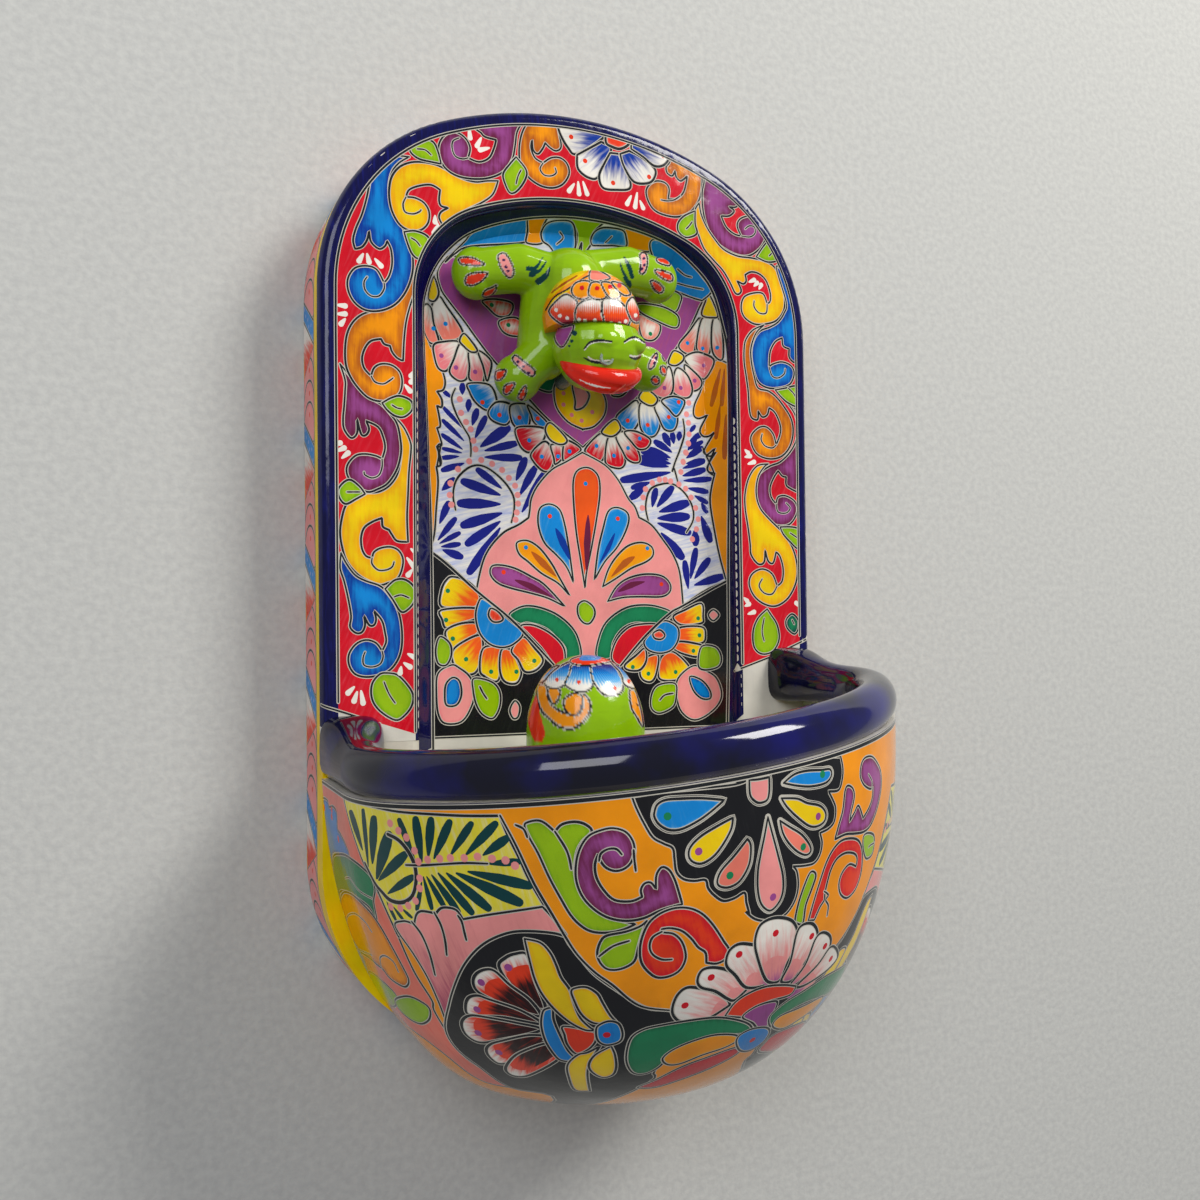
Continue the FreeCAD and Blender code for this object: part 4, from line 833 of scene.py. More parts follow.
def front_border():
    """The red band of scrolls between two cobalt edges, down to its slanting foot."""
    sheet = Sheet()
    end = FRONT_FOOT - 1
    sheet.fill(arch_line(-EDGE_UNROLLED - 1, end), CREAM, glaze(0.80, 0.79, 0.76), streak=0.5)
    foot = np.array(FIELD_FOOT, float)
    red = clip_below(ring_band(OUTER_BAND, INNER_BAND, end), foot)
    sheet.fill(red, RED, RED_THIN, streak=0.42, way=(0.4, 1), level=0.1)
    for colour, outline, spiral in SCROLLS + LEAVES:
        base, deep = SCROLL_COLOURS[colour]
        reach = LEAF_REACH if colour in ("lime", "green") else SCROLL_REACH
        sheet.figure(curve(on_face(outline), True), base, deep, reach, 0.35)
        sheet.draw(curve(on_face(spiral)), 0.45, 0.4)
    flower(sheet)
    for line in DROPS:
        sheet.drop(on_face(line), DROP_SIZE)
    band = clip_below(ring_band(-EDGE_UNROLLED - 1, OUTER_BAND, end), foot + [0, -COBALT_DROP])
    sheet.fill(band, COBALT, COBALT_LIGHT, streak=0.55, level=0.15)
    inner = clip_below(ring_band(INNER_BAND, FRONT_HOLE + 1, end), np.array(INNER_FOOT, float))
    sheet.fill(inner, COBALT, COBALT_LIGHT, streak=0.5)
    for inset in (OUTER_BAND, INNER_BAND):
        sheet.draw(clip_below(arch_line(inset, end)[:-FOOT_STEPS], foot, False))
    sheet.draw(foot[:3])
    sheet.draw(foot[4:])
    border = [ring_band(-EDGE_UNROLLED, FRONT_HOLE, FRONT_FOOT)]
    rolls = [arch_line(q, FRONT_FOOT)[:-FOOT_STEPS] for q in FRONT_ROLLS]
    paint("front_border_glaze", sheet, border, front_place, lambda p: front_place(p, LIFT - SKIN),
          GLAZE, rolls, [q[::2] for q in rolls[::2]], front_step)


# The bowl's figures, in pixels of the photograph: first colour, second colour, how far it reaches in from
# the edge, outline. A leaf has its root, its tip and its half width; a line its half width.
BOWL_LEFT = [
    ("salmon", "scarlet", 0, xy(320.8, 781.7, 320.8, 781.7, 342.5, 795, 342.5, 795, 346.7, 811.7,
      355, 840, 365, 866.7, 375, 886.7, 388.3, 915, 398.3, 936.7, 415, 973.3, 431.7, 1000, 433.8, 1010,
      445.5, 1030, 462.5, 1055, 487.5, 1072.5, 510, 1087.5, 510, 1087.5, 480, 1080, 442.5, 1052.5,
      412.5, 1030, 380, 997.5, 365, 980, 350, 950, 342.5, 930)),
    ("yellow_pale", "white", 0, xy(343.3, 795.8, 343.3, 795.8, 358.3, 802.5, 376.7, 807.5, 398.3, 811.7,
      431.7, 814.2, 465, 815.8, 499.7, 815.8, 499.7, 815.8, 506.7, 833.3, 518.3, 856.7, 530, 881.7,
      545.8, 908.3, 545.8, 908.3, 523.3, 913.3, 475, 923.3, 458.3, 926.7, 431.7, 926.7, 398.3, 936.7,
      398.3, 936.7, 388.3, 915, 375, 885, 365, 866.7, 355, 840, 346.7, 811.7)),
    ("blue", "blue_deep", 2, xy(321.7, 797.5, 327.5, 800.8, 329.2, 806.7, 333.3, 806.7, 336.7, 813.3,
      337.5, 828.3, 340, 833.3, 345, 843.3, 349.2, 856.7, 340, 855, 333.3, 855, 329.2, 863.3,
      326.7, 856.7, 325, 840, 322.5, 820, 321.7, 806.7)),
    ("green", "green_deep", 2, xy(327.5, 866.7, 333.3, 856.7, 340, 854.2, 346.7, 855.8, 355, 861.7,
      365, 870, 371.7, 878.3, 375, 890, 373.7, 901.7, 377, 920.8, 370, 908.3, 360, 900, 350, 893.3,
      340, 891.7, 335, 896.7, 331.7, 897.5, 329.2, 883.3)),
    ("orange", "brown", 3, xy(335.8, 908.3, 336.7, 897.5, 344.2, 892, 355, 896.7, 366.7, 908.3,
      378.3, 923.3, 390, 943.3, 401.7, 965, 408.7, 980, 405.8, 986.7, 398.3, 984.2, 388.3, 976.7,
      381.7, 968.3, 370, 958.3, 360, 951.7, 348.3, 941.7, 340, 928.3)),
    ("blue", "sky", 0, xy(349.2, 942.5, 353.3, 940.8, 358.3, 948.3, 365, 961.7, 365, 970.8, 360, 968.3,
      352.5, 955)),
    ("lime", "lime_deep", 2, xy(360, 973.3, 370, 971.7, 385, 983.3, 398.3, 1000, 393.3, 1006.7, 378.3, 995)),
    ("lime", "lime_deep", 2, xy(395, 1000, 407.5, 996.2, 422.5, 1002.5, 430, 1010, 428.8, 1020,
      420, 1023.8, 407.5, 1017.5, 398.8, 1008.8)),
]
BOWL_SHELL = [
    ("pink", "plum", 0, xy(395, 926.2, 402.5, 921.2, 410, 922.5, 414.2, 925, 414.2, 925, 416.2, 915,
      421.2, 911.2, 431.2, 912.5, 435.8, 913.8, 435.8, 913.8, 440, 908.8, 446.2, 907.5, 456.2, 910,
      463, 919.2, 463, 919.2, 492.5, 914.2, 542.5, 906.8, 542.5, 906.8, 552.5, 917.5, 566.2, 935,
      566.2, 935, 552.5, 933, 530, 931.2, 510, 932.5, 490, 940, 475, 951.2, 462.5, 967.5, 453.8, 987.5,
      448.8, 1005, 445.5, 1020, 445.5, 1020, 438.8, 1002.5, 427.5, 977.5, 412.5, 952.5)),
]
BOWL_FIELD = [
    ("black", "black_soft", 0, xy(445.5, 1030, 448.8, 1005, 453.8, 987.5, 462.5, 967.5, 475, 951.2,
      490, 940, 510, 932.5, 530, 931.2, 552.5, 933, 565, 936.2, 565, 936.2, 570, 945, 580, 957.5,
      592.5, 972.5, 605, 982.5, 620, 992.5, 635, 1002.5, 650, 1008.8, 672.5, 1011.2, 680, 1020, 680, 1035,
      655, 1070, 630, 1092.5, 592.5, 1105, 555, 1100, 510, 1087.5, 480, 1067.5, 457.5, 1050)),
]
BOWL_PANEL = [
    ("lime", "lime_deep", 2, xy(524.5, 825.5, 529.1, 821.8, 538.2, 820.5, 545.5, 823.6, 554.9, 831.8,
      554.9, 831.8, 561.8, 824.5, 574.5, 821.8, 585.5, 824.5, 591.8, 831.8, 581.8, 842.7, 576.4, 855.5,
      575.5, 875.5, 581.8, 893.6, 592.7, 908.2, 607.3, 917.3, 621.8, 920.9, 635.5, 924.2, 635.5, 924.2,
      621.8, 930, 607.3, 932.7, 592.7, 931.8, 581.8, 926.4, 570.9, 915.5, 560, 897.3, 549.1, 877.3,
      538.2, 853.6, 529.1, 837.3)),
    ("lime", "lime_deep", 2, xy(646.9, 920.9, 646.9, 920.9, 640, 926.4, 625.5, 931.8, 607.3, 935.5,
      600.9, 940.9, 597.3, 951.8, 599.1, 960.9, 605.5, 968.2, 614.5, 970, 625.5, 967.3, 634.5, 960.9,
      638.2, 948.2, 641.8, 935.5)),
    ("purple", "maroon", 4, xy(613.6, 828.2, 625.5, 831.8, 632.7, 840.9, 634.5, 851.8, 630.9, 862.7,
      623.6, 869.1, 614.5, 870.9, 605.5, 867.3, 600, 860, 598.2, 854.5, 598.2, 854.5, 594.9, 864.5,
      596.4, 877.3, 603.6, 890, 614.5, 900, 630.9, 901.3, 642.2, 896.9, 642.2, 896.9, 640.9, 890,
      644.5, 883.6, 650.9, 882.7, 656, 889.1, 656, 889.1, 656.4, 875.5, 661.8, 867.3, 669.1, 870,
      674.5, 879.1, 678.2, 890, 682.2, 904.2, 682.2, 904.2, 661.8, 910, 643.6, 918.2, 625.5, 920.9,
      607.3, 917.3, 592.7, 908.2, 581.8, 895.5, 576, 879.1, 576.4, 860.9, 580.9, 846.4, 589.1, 835.5,
      601.8, 830)),
    ("scarlet", "red", 4, xy(662.7, 932.2, 672.7, 933.6, 680, 939.1, 684.5, 948.2, 685.5, 959.1, 680, 970,
      669.1, 976.4, 656.4, 977.3, 646.4, 970, 640.9, 960.9, 640, 948.2, 642.7, 935.5, 649.1, 922.7,
      660, 913.6, 674.5, 908.2, 689.1, 908.2, 701.8, 913.6, 712.7, 924.5, 723.6, 940.9, 729.1, 950,
      725.5, 959.1, 716.4, 963.6, 706.4, 962.7, 706.4, 962.7, 705.5, 952.7, 698.2, 947.3, 690.9, 938.2,
      681.8, 930.9, 670.9, 928.2, 661.8, 929.1, 661.8, 929.1)),
    ("purple", "maroon", 3, xy(871.4, 756.4, 876.4, 761.4, 880.7, 771.4, 881.4, 785.7, 878.6, 802.9,
      874.3, 817.1, 869.3, 827.1, 862.9, 832.1, 854.3, 833.6, 845.7, 834.3, 835, 839.3, 835, 839.3,
      838.6, 825.7, 842.9, 810, 845, 791.4, 847.9, 785.7, 852.9, 788.6, 854.3, 797.1, 851.4, 811.4,
      849.7, 821.4, 849.7, 821.4, 854.3, 812.9, 858.6, 805.7, 863.1, 817.9, 863.1, 817.9, 868.6, 808.6,
      872.1, 798.6, 872.9, 787.9, 872.9, 787.9, 869.3, 788.6, 863.6, 784.3, 860.3, 775.7, 861.4, 764.3,
      865, 757.9)),
    ("scarlet", "red", 3, xy(808.3, 920.7, 808.3, 920.7, 812.9, 904.3, 818.6, 885.7, 825.7, 864.3,
      832.9, 850, 841.4, 840.7, 851.4, 838.3, 858.6, 840.7, 862.1, 850, 862.1, 864.3, 860, 877.1,
      855, 890, 847.1, 897.9, 840.7, 894.3, 838.9, 884.3, 842.1, 872.9, 849.3, 864.3, 856, 866.4,
      856, 866.4, 857.1, 858.6, 854.3, 853.6, 845.7, 852.9, 837.1, 858.6, 831.4, 868.6, 827.9, 880,
      825, 892.9, 824.3, 900, 820, 907.1, 814.3, 920, 814.3, 920)),
    ("lime", "lime_deep", 1.5, xy(864.3, 835, 868.6, 832.9, 873.6, 835, 874.3, 842.9, 872.1, 854.3,
      866.4, 858.6, 863.6, 851.4, 862.9, 841.4)),
    ("lime", "lime_deep", 1.5, xy(810, 872.9, 814.3, 872.1, 815.7, 877.1, 811.4, 890, 805.7, 905.7,
      802.9, 922.9, 797.1, 923.6, 795, 920, 798.6, 902.9, 804.3, 885.7)),
]
BOWL_BLACK = [
    ("black", "black_soft", 0, xy(631.8, 796.4, 631.8, 796.4, 636.4, 808.2, 643.6, 822.7, 652.7, 837.3,
      663.6, 843.6, 672.7, 848.2, 674.5, 859.1, 676.4, 871.8, 683.6, 879.1, 694.5, 880.9, 705.5, 880,
      708.2, 888.2, 714.5, 895.5, 723.6, 900.9, 734.5, 898.2, 744.5, 892.7, 746.4, 902.7, 749.1, 913.6,
      745.7, 911.4, 752.9, 917.9, 761.4, 920.7, 772.9, 920.7, 782.9, 916.4, 790, 909.3, 795.7, 898.6,
      798.3, 885.7, 796.9, 871.4, 792.9, 866.4, 792.9, 866.4, 804.3, 865.7, 814.3, 862.9, 820, 854.3,
      822.1, 842.9, 820, 832.9, 820, 832.9, 828.6, 828.6, 834.3, 821.4, 835.7, 808.6, 832.9, 800,
      828.6, 791.4, 828.6, 791.4, 838.6, 790, 842.1, 780, 842.9, 768.6, 840.7, 756.4, 840.7, 756.4,
      820, 757.1, 797.1, 764.3, 768.6, 772.9, 740, 781.4, 737.1, 780, 749.1, 779.1, 734.5, 784.5,
      698.2, 788.5, 661.8, 791.8)),
]
BOWL_DROPS = [
    ("blue", "sky", 2, xy(654.5, 811.8, 657.3, 804.5, 665.5, 800, 680, 798.7, 701.8, 798.2, 724.5, 800,
      724.5, 800, 710.9, 811.8, 698.2, 820.9, 681.8, 829.1, 669.1, 830, 659.1, 824.5, 654.5, 817.3)),
    ("yellow", "amber", 1.5, xy(688.7, 855.5, 690.9, 846.4, 701.8, 835.5, 720, 824.5, 733.1, 817.6,
      733.1, 817.6, 730.9, 830, 721.8, 846.4, 712.7, 857.3, 701.8, 863.6, 692.7, 861.8)),
    ("salmon", "salmon", 0, xy(717.3, 880.9, 721.8, 870, 734.5, 855.5, 747.6, 838.7, 747.6, 838.7,
      750.9, 846.4, 749.1, 864.5, 740, 880.9, 729.1, 887.3, 720, 886.4)),
    ("pink", "rose", 2, xy(767.9, 817.1, 767.9, 817.1, 772.9, 835.7, 778.6, 857.1, 782.9, 875.7,
      782.9, 891.4, 778.6, 902.9, 770, 910.7, 761.4, 904.3, 757.9, 890, 757.9, 871.4, 760.7, 854.3,
      764.3, 837.1)),
    ("salmon", "salmon", 0, xy(780, 820.7, 780, 820.7, 790, 827.1, 801.4, 834.3, 809.3, 844.3,
      810.7, 851.4, 805.7, 855, 797.1, 851.4, 788.6, 842.9, 782.9, 832.9)),
    ("yellow", "amber", 1.5, xy(781.4, 798.3, 781.4, 798.3, 797.1, 798.6, 807.1, 802.9, 820, 805.7,
      825.7, 812.9, 824.3, 821.4, 817.1, 826.4, 808.6, 825.7, 797.1, 817.1, 787.1, 807.1)),
    ("blue", "sky", 1.5, xy(783.6, 783.1, 783.6, 783.1, 794.3, 774.3, 807.1, 770.7, 821.4, 770,
      830, 769.3, 831.4, 775.7, 825.7, 782.9, 811.4, 786.4, 797.1, 785.7)),
    ("pink", "rose", 1.5, xy(749.3, 780, 749.3, 780, 750, 794.3, 754.3, 800.7, 760, 802.9, 767.1, 800,
      769.3, 791.4, 769.3, 777.1, 769.3, 777.1, 758.6, 779.3)),
]
BOWL_RIBBONS = [
    ("blue", "blue_deep", 0, xy(542.5, 1012.5, 546.2, 1008.8, 552.5, 1008.8, 553.8, 1020, 560, 1035,
      567.5, 1050, 573.8, 1057.5, 570, 1061.2, 560, 1060, 552.5, 1052.5, 545, 1040, 541.2, 1025)),
    ("scarlet", "red", 0, xy(563.8, 1026.2, 592.5, 1031.2, 596.2, 1035, 595, 1042.5, 587.5, 1050,
      576.2, 1053.8, 567.5, 1045, 564.5, 1035)),
    ("yellow", "amber", 2, xy(524.5, 938.8, 524.5, 938.8, 540, 942.5, 550, 952.5, 556.2, 965,
      561.2, 977.5, 570, 990, 573.8, 1002.5, 580, 1017.5, 590, 1027.5, 595, 1030, 585, 1030, 570, 1022.5,
      555, 1010, 542.5, 995, 535, 980, 530, 962.5)),
    ("yellow", "amber", 2, xy(571.2, 991.2, 577.5, 987.5, 587.5, 987.5, 597.5, 993.8, 602.5, 1002.5,
      610, 1015, 617.5, 1023, 617.5, 1023, 597.5, 1023.8, 587.5, 1020, 580, 1012.5, 575, 1002.5)),
    ("yellow", "amber", 2, xy(567.5, 1065, 577.5, 1055, 587.5, 1052.5, 600, 1046.2, 600, 1046.2,
      590, 1062.5, 587.5, 1075, 590, 1091.2, 590, 1091.2, 575, 1090, 568.8, 1077.5)),
    ("yellow", "amber", 2, xy(611.2, 1046.2, 611.2, 1046.2, 615, 1055, 616.2, 1067.5, 612.5, 1075,
      602.5, 1077.5, 592.5, 1072.5, 588.8, 1065, 595, 1055)),
    ("blue", "blue_deep", 0, xy(596.2, 1028.8, 601.2, 1023.8, 610, 1021.2, 618.8, 1023.8, 622.5, 1032.5,
      621.2, 1040, 615, 1043.8, 605, 1045, 597.5, 1040)),
]
BOWL_FOOT_FIGURES = [
    ("scarlet", "red", 0, xy(725, 1016.2, 725, 1016.2, 735, 1002.5, 750, 992.5, 767.5, 986.2, 785, 985,
      796.2, 986.2, 796.2, 986.2, 790, 995, 770, 1001.2, 752.5, 1008.8, 741.2, 1017.5, 741.2, 1017.5)),
    ("purple", "maroon", 0, xy(742.5, 1017, 755, 1007, 770, 1001.8, 777.5, 1002.5, 772.5, 1015,
      766.2, 1027.5, 757.5, 1028, 752.5, 1023)),
    ("green", "green_deep", 2.5, xy(626.2, 1060, 630, 1040, 642.5, 1030, 662.5, 1025, 692.5, 1020,
      717.5, 1017.5, 737.5, 1020, 750, 1025, 753, 1033, 753, 1033, 737.5, 1034.5, 715, 1036.2,
      692.5, 1042.5, 672.5, 1051.2, 660, 1066.2, 645, 1073.8, 632.5, 1072.5)),
    ("green", "green_deep", 2.5, xy(770, 1016.2, 785, 1002.5, 805, 990, 827.5, 975, 846.2, 963.8,
      846.2, 963.8, 842.5, 977.5, 830, 992.5, 810, 1001.2, 790, 1011.2, 777.5, 1023.8, 770, 1026.2)),
    ("orange", "amber", 2.5, xy(662.5, 1058.8, 672.5, 1050, 692.5, 1041.2, 715, 1035, 735, 1035,
      738, 1040, 725, 1047.5, 702.5, 1055, 680, 1063.8, 667.5, 1064.5)),
    ("orange", "amber", 2.5, xy(772.5, 1026.2, 780, 1016.2, 800, 1007.5, 822.5, 996.2, 817.5, 1005,
      800, 1018.8, 782.5, 1028.8)),
    ("red", "maroon", 2, xy(637.5, 1087.5, 655, 1080, 680, 1067.5, 705, 1058, 735, 1047.5, 738.8, 1052.5,
      717.5, 1065, 680, 1080, 655, 1087.5)),
    ("red", "maroon", 2, xy(765, 1042.5, 780, 1031.2, 805, 1021.2, 802.5, 1030, 780, 1047.5, 760, 1052.5)),
    ("blue", "blue_deep", 0, xy(736.2, 1042.5, 740, 1035, 752.5, 1028.8, 766.2, 1027.5, 769.5, 1032.5,
      762.5, 1042.5, 750, 1050.5, 740, 1050.5)),
]
DARK_PETALS = [
    xy(527.5, 955, 515, 953.8, 505, 958, 498.8, 966.2, 510, 985, 527.5, 1005, 542.5, 1010, 545, 1005,
     535, 980),
    xy(495, 971.2, 485, 969.5, 476.2, 973.8, 473, 981.2, 476.2, 990, 487.5, 997.5, 510, 1007.5,
     540, 1016.2, 530, 1000, 510, 985),
    xy(487.5, 998.8, 477.5, 995.5, 468.8, 997.5, 465.5, 1005, 467.5, 1013.8, 480, 1016.2, 505, 1017.5,
     541.2, 1023.8, 520, 1010),
    xy(485, 1017, 470, 1015.5, 462.5, 1020, 462, 1027.5, 467.5, 1036.2, 480, 1042.5, 500, 1040,
     541.2, 1030, 515, 1022.5),
    xy(500, 1041.2, 490, 1044.5, 486.2, 1050, 490, 1057.5, 500, 1063.8, 515, 1060, 546.2, 1040, 530, 1035),
    xy(520, 1052.5, 507.5, 1063.8, 506.2, 1071.2, 515, 1076.2, 530, 1075, 560, 1057.5, 552.5, 1042.5),
]
WHITE_PETALS = [
    xy(672.5, 1007.5, 677.5, 995, 687.5, 987.5, 702.5, 988.8, 715, 992.5, 727.5, 1000, 730, 1005,
     730, 1005, 705, 1020, 682.5, 1022, 673.8, 1016.2),
    xy(697.5, 980, 702.5, 970, 715, 967.5, 730, 971.2, 740, 980, 747.5, 988.8, 747.5, 988.8, 735, 1000,
     727.5, 998.8, 715, 991.2, 701.2, 987.5),
    xy(726.2, 960, 730, 950, 740, 943.8, 755, 945, 755, 945, 760, 962.5, 765, 977.5, 765, 985,
     746.2, 987.5, 735, 975, 727.5, 967.5),
    xy(755, 942.5, 758.8, 927.5, 767.5, 920, 780, 917.5, 792.5, 921.2, 797.5, 932.5, 795, 947.5,
     787.5, 962.5, 780, 980, 770, 982.5, 763.8, 976.2, 757.5, 957.5),
    xy(796.2, 935, 802.5, 925, 812.5, 923.8, 817.5, 932.5, 815, 945, 805, 962.5, 792.5, 980, 781.2, 981.2,
     790, 962.5),
    xy(815, 940, 822.5, 932.5, 830, 936.2, 830, 946.2, 822.5, 960, 810, 972.5, 795, 985, 790, 985,
     805, 965),
    xy(830, 947.5, 836.2, 948.8, 837.5, 957.5, 830, 967.5, 817.5, 977.5, 802.5, 986.2, 797.5, 985,
     817.5, 965),
]
TEAL_LEAVES = [
    ((362.5, 850), (350.8, 811.7), 2.7), ((368.3, 866.7), (363, 810), 2.2),
    ((372.5, 863.3), (373.7, 818.3), 4.2), ((377, 878.3), (388.3, 835), 6),
    ((379.2, 880), (404.2, 855), 5.5), ((388.3, 893.3), (411.7, 877.5), 4.5),
    ((415, 861.7), (399.2, 820), 3.2), ((421.7, 861.7), (415.5, 819.2), 4.5),
    ((428.3, 856.7), (430.8, 820), 4.6), ((434.2, 858.3), (449.2, 822.5), 4.8),
    ((450.8, 855), (470.8, 824.2), 4.4), ((465.8, 855), (495, 824.2), 5),
    ((483.3, 855), (506.7, 838.3), 5), ((488.3, 863.7), (519.2, 861.7), 4),
    ((468.3, 871.7), (529.2, 885.8), 5.5), ((456.7, 873.3), (519.2, 902.5), 6),
    ((446.7, 873.3), (488.3, 908.3), 5), ((438.3, 873.3), (471.7, 912.5), 4.2),
    ((431.7, 875), (458.3, 911.7), 3.6), ((426.7, 876.7), (444.2, 906.7), 3),
    ((423.3, 876.7), (431.7, 908.3), 2.6), ((421.7, 881.7), (417, 909.2), 2.6),
    ((386.7, 901.7), (395.8, 920), 1.6), ((393.3, 906.7), (403.3, 920), 1.6),
    ((401.7, 908.3), (411.7, 917.5), 1.6),
]
TEAL_BEADS = xy(390.0, 823.3, 398.3, 830.8, 406.3, 837.5, 414.5, 850.8, 418.3, 861.7, 427.5, 859.7,
     439.7, 858.7, 450.3, 858.0, 464.2, 858.0, 477.5, 856.7, 492.0, 858.7, 505.5, 860.3, 515.0, 865.8,
     419.7, 878.3, 419.7, 888.3, 415.5, 900.8, 408.3, 905.8, 400.3, 908.3, 390.8, 906.7)
LEFT_LINES = [
    (1.3, xy(387.5, 834.2, 398.3, 840, 408.3, 851.7, 415, 866.7, 415.8, 883.3, 411.7, 896.7, 401.7, 902.5,
      390, 900, 381.7, 891.7, 375, 883.3, 365, 863.3)),
    (0.7, xy(405.8, 865, 421.7, 865.3, 441.7, 864.2, 465, 863, 487.5, 863.7)),
    (0.8, xy(411.7, 921.7, 421.7, 935, 430, 955, 435, 975)),
    (0.8, xy(434.2, 912.5, 440.8, 925, 445, 940, 446.7, 955)),
    (0.8, xy(458, 915.8, 461.7, 921.7, 464.2, 931.7, 466.3, 940)),
    (0.4, xy(371.7, 955, 356.7, 948.3, 348.3, 936.7, 346.7, 920, 353.3, 913.3, 363.3, 920, 371.7, 931.7)),
    (0.4, xy(381.7, 968.3, 380, 958.3, 385, 955.8, 393.3, 961.7, 398.3, 971.7)),
    (0.4, xy(345, 878.3, 350, 878.3, 358.3, 890, 371.7, 898.3)),
]
PANEL_LINES = [
    (0.7, xy(554.9, 831.5, 565.5, 848.2, 569.5, 859.1, 571.3, 869.1)),
    (0.7, xy(599.1, 956.4, 612.7, 946.4, 629.1, 940.9)),
    (0.7, xy(599.1, 860.9, 600.9, 853.6, 608.2, 849.1, 616.4, 849.1, 621.8, 854.5)),
    (0.7, xy(661.8, 931.8, 652.7, 937.3, 649.6, 946.4, 652.7, 954.5, 661.8, 959.5, 671.8, 959.5)),
    (0.7, xy(633.6, 850, 634.5, 860.9, 635.8, 870.9)),
    (0.5, xy(868.6, 774.3, 872.1, 781.4, 872.1, 787.9)),
    (0.6, xy(824.3, 891.4, 828.3, 895, 825.7, 900, 828.3, 905.7, 827.1, 915.7)),
    (0.5, xy(868.6, 847.1, 870.7, 845, 874.3, 842.9)),
    (0.7, xy(515.5, 824.9, 523.6, 829.1, 527.3, 837.3)),
]
BOWL_DOTS = [
    ("green", xy(667.6, 816.4, 730, 875.5, 803.3, 846.9, 822.6, 774.3)),
    ("purple", xy(698.7, 851.5, 773.1, 897.1, 818.3, 816.4)),
    ("red", xy(685, 1005.5, 711.2, 977.5, 739.2, 954.5, 775.8, 933.2, 811.8, 936.2, 825, 946.2,
      830.8, 958.8, 606.8, 1035, 752.5, 1040)),
    ("purple", xy(508.2, 967.5, 481.2, 982.5, 477, 1009.5, 478, 1033, 498.8, 1052.5)),
    ("scarlet", xy(324.2, 807.5, 331.7, 810, 331.7, 816.7, 338.3, 839.2)),
]
PANEL_EDGE = xy(500.0, 815.5, 516.4, 846.4, 534.5, 884.5, 552.5, 915.0, 565.0, 936.2, 577.5, 955.0,
     595.0, 972.5, 612.5, 985.0, 630.0, 1000.0, 645.0, 1007.5, 671.2, 1010.5)
PANEL_RIGHT = xy(886.4, 739.3, 887.9, 757.1, 888.9, 780.0, 884.6, 812.9, 880.7, 831.4, 877.1, 842.9,
     872.9, 858.6, 866.4, 877.1, 854.3, 900.0, 842.9, 921.4, 831.4, 938.6)

# The bowl: a place on it is (way round its plan from the middle of its front, way down its side from
# the rim level)
BASIN_HALF = 169.0
BASIN_REACH = 191.0
BASIN_STRAIGHT = 55.0
BASIN_SHOULDER = 95.0
BOWL_FULL = 0.65
BASIN_FOOT = 0.26
BASIN_LEVEL = 0.52
BASIN_WALL = 8.0
BASIN_FLOOR = 17.0
BOWL_GIRTH = 180.0
RIM_SLOPE_X = 40.0 / (2 * BASIN_HALF)
RIM_SLOPE_Y = 8.5 / BASIN_REACH
RUN_STEPS = 12
NO_SHARE = 0.01
CAMERA_NEAR = 430.0
CAMERA_FAR = 1180.0
LOOK_STEPS = 301
SHARE_BELOW = 0.7
PANEL_LEVELS = [30, 60, 90, 120, 150]
DARK_ROOT = [(545, 1023)]
WHITE_ROOT = [(768, 1018)]
BOWL_ROUND_STEPS = 150
BOWL_DOWN_STEPS = 60
BOWL_GRID = 7.0
RIM_LINE_WIDE = 0.9


def oval_line(half, reach, straight, shoulder, steps=40):
    """Half of a three-centred oval from the middle of its crown, as (across, out)."""
    side, over = half - shoulder, reach - straight - shoulder
    drop = (side**2 - over**2) / (2 * over)
    crown = drop + reach - straight
    meet = math.atan2(drop, side)
    a, b = np.linspace(math.pi / 2, meet, steps), np.linspace(meet, 0, steps)[1:]
    front = np.column_stack([crown * np.cos(a), straight - drop + crown * np.sin(a)])
    corner = np.column_stack([side + shoulder * np.cos(b), straight + shoulder * np.sin(b)])
    run = np.column_stack([np.full(RUN_STEPS, half), np.linspace(straight, 0, RUN_STEPS + 1)[1:]])
    return np.vstack([front, corner, run])


def plan_line(inset=0.0, steps=40):
    """Half of the bowl's plan from the middle of its front, as (across, out)."""
    return oval_line(BASIN_HALF - inset, BASIN_REACH - inset, BASIN_STRAIGHT, BASIN_SHOULDER - inset, steps)


def running(points):
    """Length run along a line, at each of its points."""
    return np.concatenate([[0], np.cumsum(np.hypot(*np.diff(points, axis=0).T))])


def side_line(foot, floor_z, steps=90):
    """Share of the full plan, level and way run, down the bowl's side and on to the middle underneath."""
    t = np.linspace(0, 1, steps)[:, None]
    poles = np.array([(1, 0), (1, BOWL_FULL), (BOWL_FULL, 1), (foot, 1)])
    weights = ((1 - t)**3, 3 * (1 - t)**2 * t, 3 * (1 - t) * t**2, t**3)
    c = sum(weight * pole for weight, pole in zip(weights, poles))
    share = np.append(c[:, 0], NO_SHARE)
    level = np.append(RIM_Z + (floor_z - RIM_Z) * c[:, 1], floor_z)
    return share, level, running(np.column_stack([share * BOWL_GIRTH, level]))


PLAN = plan_line()
PLAN_RUN = running(PLAN)
PLAN_TURN = np.arctan2(PLAN[:, 0], PLAN[:, 1])
PLAN_FAR = np.hypot(*PLAN.T)
OUT_SHARE, OUT_LEVEL, OUT_RUN = side_line(BASIN_FOOT, RIM_Z - BOWL_DROP)
IN_SHARE, IN_LEVEL, IN_RUN = side_line(BASIN_LEVEL, RIM_Z - BOWL_DROP + BASIN_FLOOR)


